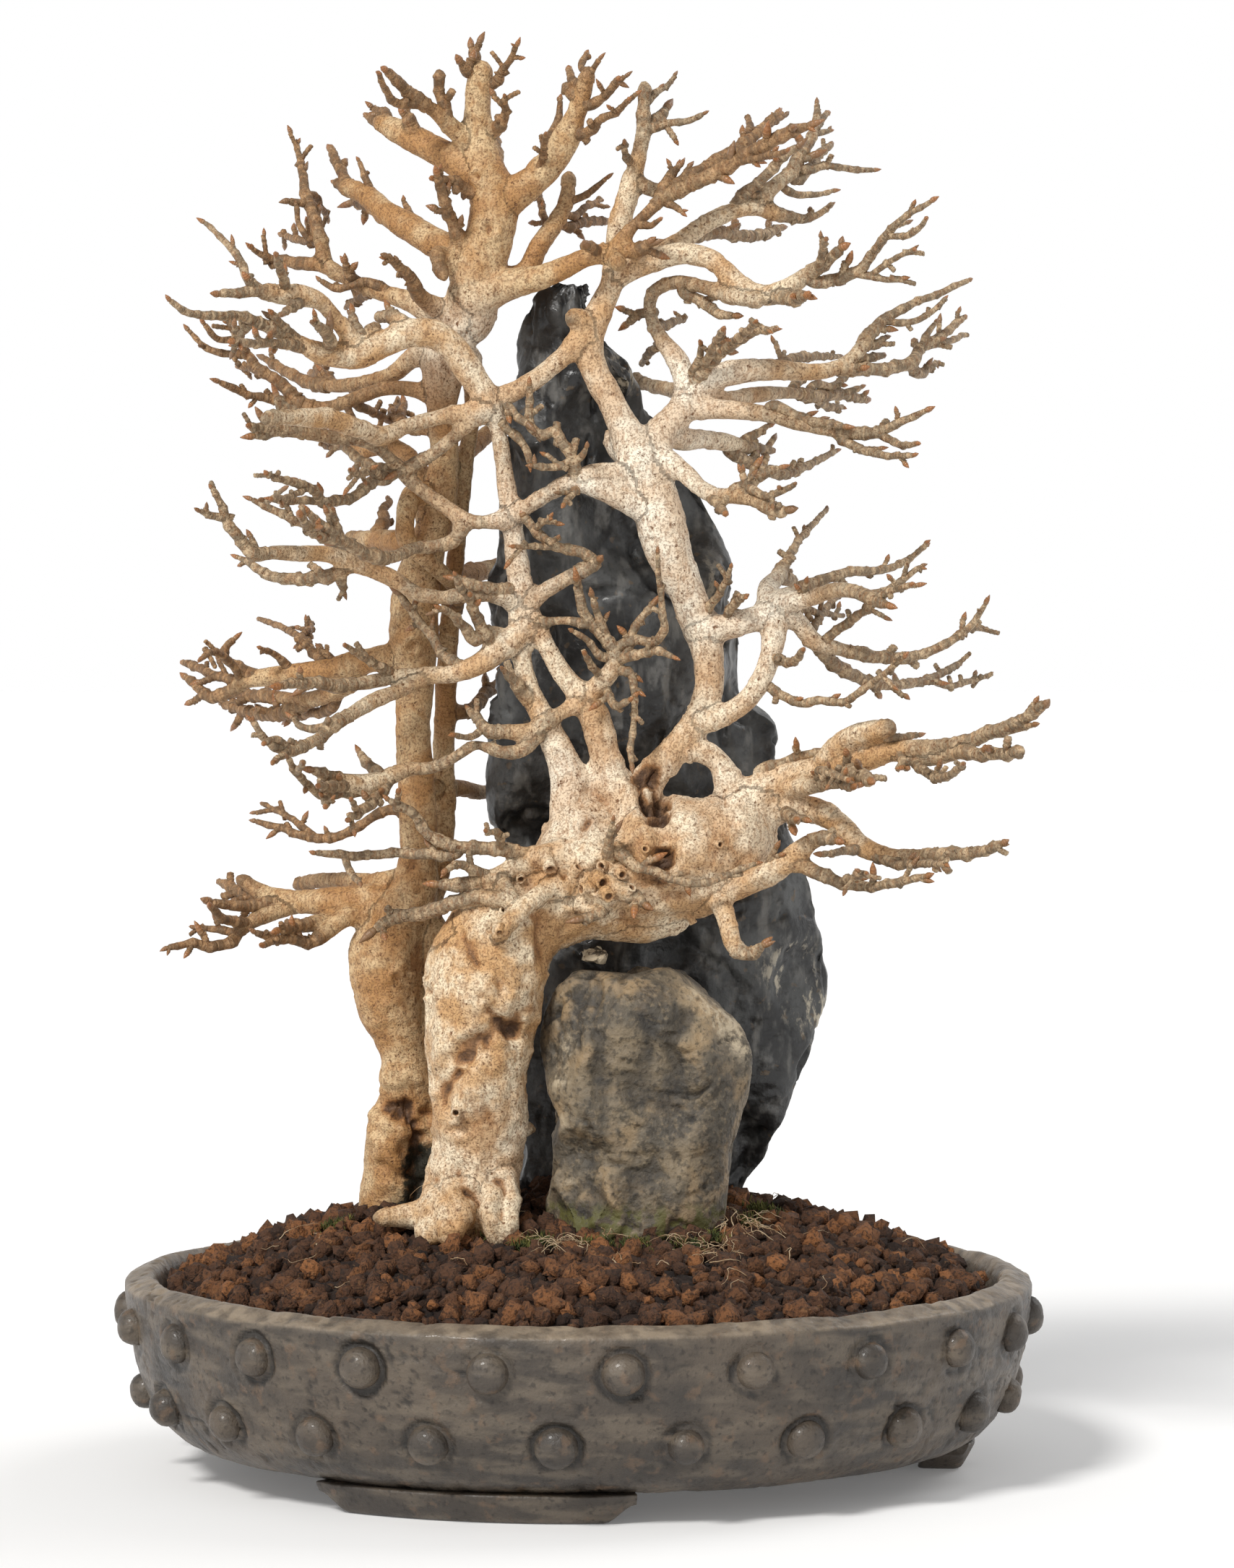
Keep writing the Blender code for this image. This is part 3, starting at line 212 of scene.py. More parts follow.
class Finish:
    """A Principled material under construction, with its patterns in object coordinates."""

    def __init__(self, name, roughness=0.7, coat=0.0):
        self.material = bpy.data.materials.new(name)
        self.material.use_nodes = True
        self.tree = self.material.node_tree
        self.shader = self.tree.nodes["Principled BSDF"]
        self.shader.inputs["Roughness"].default_value = roughness
        self.shader.inputs["Coat Weight"].default_value = coat
        self.place = self.node("ShaderNodeTexCoord", out="Object")

    def node(self, kind, settings=None, inputs=None, out=0):
        """Adds a node, its settings first, then a value or a wire for each named input."""
        made = self.tree.nodes.new(kind)
        for key, value in (settings or {}).items():
            setattr(made, key, value)
        for key, value in (inputs or {}).items():
            if isinstance(value, Wire):
                self.tree.links.new(value.socket, made.inputs[key])
            else:
                made.inputs[key].default_value = value
        return Wire(self, made.outputs[out])

    def maths(self, operation, first, second):
        return self.node("ShaderNodeMath", {"operation": operation}, {0: first, 1: second})

    def noise(self, size, detail=4.0, shift=0.0, stretch=(1, 1, 1), vector=None, power=0.5):
        """Noise from 0 to 1 whose lumps are about this many millimetres, pulled out along an axis."""
        inputs = {"Vector": vector or self.place, "Scale": [1000 / (size * pull) for pull in stretch]}
        inputs["Location"] = (shift, shift, shift)
        scaled = self.node("ShaderNodeMapping", None, inputs)
        settings = {"Vector": scaled, "Scale": 1.0, "Detail": detail, "Roughness": power}
        return self.node("ShaderNodeTexNoise", None, settings, "Fac")

    def value(self, name):
        """A number that the mesh carries at each point."""
        return self.node("ShaderNodeAttribute", {"attribute_name": name}, out="Fac")

    def blend(self, share, first, second):
        """The first colour where the share is 0 and the second where it is 1."""
        pair = {0: share}
        for index, colour in ((6, first), (7, second)):
            pair[index] = colour if isinstance(colour, Wire) else (*colour, 1.0)
        return self.node("ShaderNodeMix", {"data_type": "RGBA"}, pair, 2)

    def layered(self, colour, layers):
        """Lays each (share, colour) over what is there already, the last one uppermost."""
        for share, over in layers:
            colour = self.blend(share, colour, over)
        return colour

    def finish(self, colour, roughness=None, height=None, depth=1.0):
        """Wires up the colour, the roughness and a bump whose full height is depth millimetres."""
        self.tree.links.new(colour.socket, self.shader.inputs["Base Color"])
        if roughness is not None:
            self.tree.links.new(roughness.socket, self.shader.inputs["Roughness"])
        if height is not None:
            bump = self.node("ShaderNodeBump", None, {"Height": height, "Distance": depth * MM}, "Normal")
            self.tree.links.new(bump.socket, self.shader.inputs["Normal"])
        return self.material

# %% [markdown]
# ## The drawing and its depth
# Both trees and both rocks are drawn as a front elevation in millimetres, with the figures of their
# solids and finer twigs besides. A point of the drawing is then pushed along the line of sight to its
# depth, so seen from the front everything stays where it was drawn, and seen from the side the limbs
# reach back and forth.

# %% elevation to space
EYE = np.array([13.5, -2495.9, 380.8])


def at_depth(x, height, depth):
    """The point at this depth on the line from the eye through (x, 0, height), in millimetres."""
    drawn = np.stack([x, np.zeros_like(x), height], -1)
    reach = (depth - EYE[1]) / -EYE[1]
    return EYE + (drawn - EYE) * reach[..., None]


# %% [markdown]
# ## The limbs
# A line of the tables lists a limb: its name, its parent, the depth of its tip, and after the colon
# points of x, height, radius and sometimes depth, all in millimetres.
# It leaves its parent at the nearest place of the parent's line. Growing each limb by rules alone
# would give some tree, but not this one, so each limb is drawn and listed, and only spurs and buds are rules.

# %% the left tree's limbs
LEFT_LIMBS = """
bole - 5: -65 60 12 16, -65 88 11 16, -63.5 104 11 16, -61.5 120 10.6 15, -59.5 131 8.7 14, -60 142 8.3 13,
  -62 151 9.2 12, -65 161 12.2 12, -66 175 13.6 12, -63 189 11.6 12, -57 200 9 11, -55.5 213 6.8 10,
  -56 235 6.6 10, -57 255 6.4 11, -56.3 274 7.2 12, -56.5 290 9 12, -55.5 306 8.2 12, -51 322 6.6 12,
  -48.5 333 6.2 12, -46 352 5.2 10, -47 368 5.6 8, -46 381 8 7, -43.5 392 9.2 6, -39 402 9.6 5
toe_back bole 18: -59 198 7 14, -54 184 9 16, -52 164 9 17, -51 142 8.6 18, -52 122 9 18, -53 104 10 18,
  -53 84 10 18, -53 62 10 18
rear_stem bole 9: -52 200 6 16, -48 216 5 24, -46.5 245 4.2 27, -45.5 275 3.8 27, -43.5 300 3.5 26,
  -41 328 3.3 24, -38.5 350 3.2 21, -36 372 3.4 15, -38 388 5 9
crown_trunk bole 8: -40.5 397 8.6 5.5, -35 414 9 4, -30.5 426 8.6 4, -29.5 438 8.4 5, -32 449 7.2 6,
  -34 460 5.6 7, -34.4 474 4.8 8, -32.5 486 4.3 8
crown_top_a crown_trunk 10: -34.5 482 2.6, -36.5 491 1.5
crown_top_b crown_trunk -6: -30 478 2.2, -25.5 483 1.4, -22.5 488 1, -21 491.5 0.8
crown_top_c crown_trunk 2: -37 482 2.2, -40.5 486 1.6
crown_spur crown_trunk -10: -30 462 3.2, -26 465 2.2, -25 470 1.3, -25.2 474 0.8
crown_fork crown_trunk -8: -28 436 7, -21 441 6.2, -14 446 5.2, -8 453 5.2, -4 460 5.2, -0.5 468 3.7,
  2 476 3.3, 4 484 2.5
fork_twig_a crown_fork -22: 4 471 2.2, 8 473 1.6, 14 480 1.2
fork_twig_b crown_fork -30: 1 461 2.2, 8 466 1.4, 14 469 1.1, 17.5 473 0.8
fork_stub_a crown_fork -2: 0 473 2.6, -5 478 2.3
fork_stub_b crown_fork 4: 0 478 1.8, -3.2 482.5 1.4
fork_twig_c crown_fork 6: -8 458 1.8, -6.5 467 1.3, -6 473 0.9
fork_twig_d crown_fork -20: -14 446 1.6, -12 454 1.2, -11 461 0.9
fork_twig_e crown_fork 2: 2 483 1.3, 3 488.5 1
fork_twig_f crown_fork -12: 4 481 1.3, 7.5 487 0.9
crown_back crown_trunk 18: -25 411 4.5, -18 414 3.8, -13 423 3.6, -8 430 3.6, -4 438 3, -3 448 2.6
crown_back_a crown_back 45: -6 430 2, 3 431 1.7, 10 431 1.4
crown_back_b crown_back 10: -4 437 1.6, 4 441 1.2, 10 446 0.8
crown_back_c crown_back 40: -3 433 1.6, 3 436 1.2, 8 438.5 0.9
crown_back_d crown_back 55: -10 427 1.8, -12 434 1.3, -14 447 0.9
crown_left_low crown_trunk 26: -35 447 6, -42 452 5.4, -50 456 5, -58 460 4.8, -65 463.5 4, -70 466 2.6
left_low_a crown_left_low 34: -68 464 2, -73 467.5 1.1
left_low_b crown_left_low 12: -55 458 3.6, -58 465 2.6, -60 468 1.8
left_low_c crown_left_low 44: -66 466 2, -70 469.5 1.4
crown_left_high crown_trunk -18: -34 456 4, -42 462 3.5, -48 468 3, -54 472 2.6, -60 477 2, -66 483 1.7
left_high_twig crown_left_high -34: -55 471.5 2, -62 471.5 1.6, -66 476 1.2, -68.5 482 0.9
left_high_stub crown_left_high -4: -45 466 2.6, -47.3 475 1.8, -48 483 2
crown_loop crown_trunk -14: -34 440 2.6, -42 444.5 1.8, -50 446 1.3
crown_hook crown_trunk -16: -38 419 4, -42 428 2.4, -46 438 2, -48.5 447 1.5
crown_knot crown_trunk -12: -38 412 5, -44 417 4, -48 420 3, -46 411 2.2
left_high crown_trunk 52: -38 418 7, -48 423 5.4, -57 428.5 5, -66 434 4.7, -73 440 4.2, -80 443 3,
  -84 444.5 1
left_high_a left_high 62: -79 443 2.4, -82 449 1.8, -84.8 455.5 1.6
left_high_b left_high 40: -71 440 1.8, -73 446 1.2, -75.5 452 0.8
left_high_c left_high 70: -70 436 2.4, -77.5 438 1.7
left_high_d left_high 30: -56 430 1.6, -60 438 0.9
grey_hook bole -28: -48 401 4, -55 406 2.8, -57.5 412 2, -61 415 1.6, -66 419 1.2
tier_one bole 34: -46 398 6, -56 403 4.2, -66 406 3.3, -75 409 2.8, -82 413 2.8, -88 416 3, -95 416.5 2.4,
  -105 418 1.6
tier_one_up tier_one 52: -87 416 3, -88.5 424 2.8, -91 432 2.2, -93.5 440 2, -95 448 1.4, -96.8 458 0.9
tier_one_up_a tier_one_up 70: -89 424 1.8, -95 424.5 1.4, -102 426.5 1
tier_one_up_b tier_one_up 30: -93 437 1.6, -100 438 1.2
tier_one_up_c tier_one_up 30: -92 425 1.2, -96 430 1, -97 437 0.9
tier_one_up_d tier_one_up 60: -92 440 1.5, -88.5 436 1.2, -86 431.5 0.8
tier_one_a tier_one 26: -103 417 1.5, -109 419.5 1.2, -112.5 422 0.9
tier_one_b tier_one 10: -74 409 2.2, -79 413 1.8, -80 417 1.3
tier_one_c tier_one 14: -64 406 2.2, -72 410 1.6, -84 408 1.3, -89 411 0.9
tier_one_d tier_one 60: -70 407 1.8, -76 404 1.4, -80 401.5 1
brown_a bole 66: -46 388 5, -57 384 3.6, -63 379 3.2, -72 376 2.9, -82 374.5 2.7, -91 375 2.4, -99 378.5 2,
  -104 381.5 1.6, -108.5 384 1.2
brown_a_up brown_a 74: -84 375 1.8, -88 378 2, -90 384 1
brown_a_stub brown_a 78: -86 376 1.6, -91.5 378.5 1.4
brown_a_down brown_a 50: -78 375 1.3, -77 371 1
brown_b bole 24: -47 370 4.4, -56 373 3, -66 373.5 2.7, -76 370.5 2.6, -84 367.5 2.7, -92 367 2.8,
  -98 370.5 2.3, -103 376 2.2, -110 380 2, -114 385 1.7, -123 385.5 1.3, -130 389 1, -134.5 394 0.8
brown_b_a brown_b 10: -114 384 1.4, -117 391 1.2, -121 397 0.9
brown_b_b brown_b 40: -110 380 1.4, -117 381 0.9
brown_b_c brown_b 2: -98 369 1.8, -103 369.5 1.6, -112 371 1.3, -120 374 1.2, -124 376 1
brown_b_d brown_b 36: -78 369 1.8, -72 366 1.6, -64 362 1.2
brown_b_e brown_b 4: -80 368 1.5, -77 362 1.3, -73 357 1
brown_b_f brown_b 12: -116 389 1.2, -124 390.5 1.1, -129 396 0.9
grey_v bole 40: -50 361 4, -57 360 2.6, -61 362 2, -60 368 1.4
grey_w grey_v 52: -58 361 1.8, -64 364 1.6, -62 369 1.1
tier_dark bole 58: -52 330 5, -57 349 3.2, -66 354 3.6, -75 352.5 3, -82 356 2.6, -88 358 2.2, -92 360 1.6
tier_dark_a tier_dark 76: -80 354 1.6, -86 353.5 1.3, -89 356.5 0.9
wrap bole 4: -56.5 337 4 6, -59.5 329 3.8 1, -59 321 3.6 -1, -53.5 315.5 3.4 -1, -46 309 3 3,
  -41.5 303 2.6 12, -42.5 296 2.4 22
stump_tier bole 70: -53 321 5, -63 321 4.2, -71 321.5 3.6, -79 322 2.6
stump_hook stump_tier 58: -69 324 3, -67 327 2.2, -67.5 331.5 1.6, -65 334.5 1.3, -65.5 335.5 1.1
low_v bole 46: -56 283 5, -68 280.5 4.6, -80 278 4.4, -90 276 4, -100 275 3.6, -109 274 3.6, -115 272.5 3,
  -120 269 2.5, -127 267 2.2, -131 270 1.8, -135.5 274 1.4
low_v_a low_v 30: -111 274 2.6, -117 277 2, -122 281 1.7, -121 285 1.4, -118.5 287.5 1.2
low_v_b low_v 66: -115 273 2, -124 274 1.6, -130 276.5 1.5, -136 279 1.3
low_v_c low_v 14: -99 276 1.8, -103 280.5 1.4, -110 284 0.8
low_v_d low_v 80: -84 277 2.4, -90 281 1.8, -94 286 1.5, -101 290.5 1.2, -110 294 0.9
low_v_e low_v_d 90: -94 285.5 1.4, -92 292.5 1
low_v_f low_v 20: -81 276 1.6, -86 281 1.2, -89.5 284 0.8
low_v_g low_v 10: -122 281 1.4, -127 282.5 1.2, -130 280.5 1
low_w low_v 74: -76 276 3.4, -86 268 3.2, -95 266 3, -104 267 2.6, -112 267.5 2.2, -118 268.5 1.6
low_w_a low_w 96: -92 266 2.6, -99 262.5 2.6, -108 261 2.4, -116 262.5 2, -123 265 1.5
low_w_b low_w 60: -82 270 1.8, -85 263.5 2, -93 261.5 1.8, -100 259.5 1.4
low_x bole 60: -57 234 4, -50 235 3.2 22, -41 235.5 3.2 34, -33 234 2.8 48, -20 238 2 66
low_y rear_stem 64: -46 262 3.2, -38 262 2.6, -32 268 2.2, -22 275 1.6
low_z bole 30: -57 224 3, -62 228 2, -69 226.5 1.7, -77 221.5 1.6, -86 218 1.8, -95 219 1.5, -104 222 1.3,
  -112 224 1
low_z_a low_z 46: -91 218.5 1.4, -98 224 1.2, -109 230 0.8
pale_shelf bole 64: -58 204 5, -70 203 3.2, -82 203.5 3, -92 203 2.8, -98 201.5 2
shelf bole 30: -60 194 8.5, -71 196 6.6, -82 196 5.4, -92 196 4.6, -101 196.5 4, -109 199 3.2,
  -118 204.5 2.2
shelf_a shelf 12: -100 196 3, -110 195 2.3, -119 194.5 1.9, -127.5 196 1.5
shelf_b shelf 50: -108 198 2.6, -115 199 2.2, -121 201.5 1.8, -124 203 1.3
shelf_c shelf 2: -98 195 3.6, -108 191.5 3, -116 187 2.6, -120 182.5 2.2, -126 180.5 1.9, -134 181.5 1.6,
  -142.5 180 1
shelf_d shelf_c -8: -114 188.5 2, -121 189.5 1.8, -127.5 194.5 1.2
shelf_e shelf_c 16: -118 185 1.8, -126 186.5 1.3, -133 187 0.8
shelf_f shelf -14: -84 192 4, -92 188.5 3, -100 187 2, -103.5 186 1.4
shelf_g bole -16: -66 189 6, -80 191 4, -86 186.5 3.4, -92 182 2, -100 183 1.8, -106 183.5 1.7,
  -112 185.5 1.1
shelf_h shelf_g -22: -104 183 1.4, -109 181 1.3
right_arm crown_trunk -13: -38 404 8 4, -26 409 6.2 0, -14 411.5 4.6 -5, -4 415.5 3.9 -9, 6 419.5 3.7 -12,
  13 420 4 -13
arm_knot right_arm -22: 11 419 3.6, 15 416 3
arm_knot_b right_arm -20: 15 421 3.6 -13, 21 421 2.8 -16, 24.5 424 1.8 -20
arm_stub right_arm -22: 8 420 2.2, 3 423 1.8
arm_branch right_arm -4: 12 420 4, 18 428 2.6, 24 434 2.4, 29 439.5 2.6, 31.5 446 1.8, 35 450 1.2
arm_branch_a arm_branch -12: 30 438 1.8, 33.5 436 1.2, 36 434 0.8
arm_branch_b arm_branch -30: 29 439 2.8, 38 443 2.6, 48 448 2.6, 57 453 2.4, 66 458 2.5, 74 462 2.2,
  80 464 1.4
arm_branch_c arm_branch 20: 30 441 2.6, 40 447 2.3, 50 453 2.5, 58 458 2.2, 64 463.5 1.6, 68.5 468 1.3
arm_branch_d arm_branch_c 34: 57 458 1.6, 59 463 1.3, 58.5 467 0.9
arm_branch_e arm_branch_b -44: 54 451 1.5, 63 453 1.2, 72 455 0.9
arm_branch_f arm_branch_c 40: 64 463 1.4, 71.5 467.5 0.8
arm_branch_g arm_branch 6: 32 444 1.5, 36 446 1.2, 38.5 450 0.8
arm_branch_h arm_branch -24: 20 430 1.6, 25 429.5 1.2, 28 431.5 0.8
rear_a bole 104: -52 305 5 18, -40 309 4 36, -28 312 3.4 58, -14 318 2.6 82, 0 326 1.5 104
rear_b bole 98: -46 346 4.4 16, -38 352 3.6 34, -26 362 3 54, -11 371 2.4 76, 4 379 1.5 98
rear_c crown_trunk 98: -38 404 6 12, -40 410 4.4 38, -41 418 3.2 68, -40 427 1.8 98
rear_d crown_trunk 88: -30 440 5 12, -29 446 3.6 38, -28 453 2.6 64, -29 461 1.5 88
rear_e bole 104: -57 286 6 20, -60 289 4.2 48, -61 294 3.2 76, -59 301 1.8 104
rear_f bole 100: -66 182 9 22, -67 186 5.4 50, -66 191 3.8 76, -63 197 2.2 100
rear_g bole 88: -49 330 4.8 18, -50 334 3.4 42, -50 339 2.4 66, -49 345 1.4 88
"""


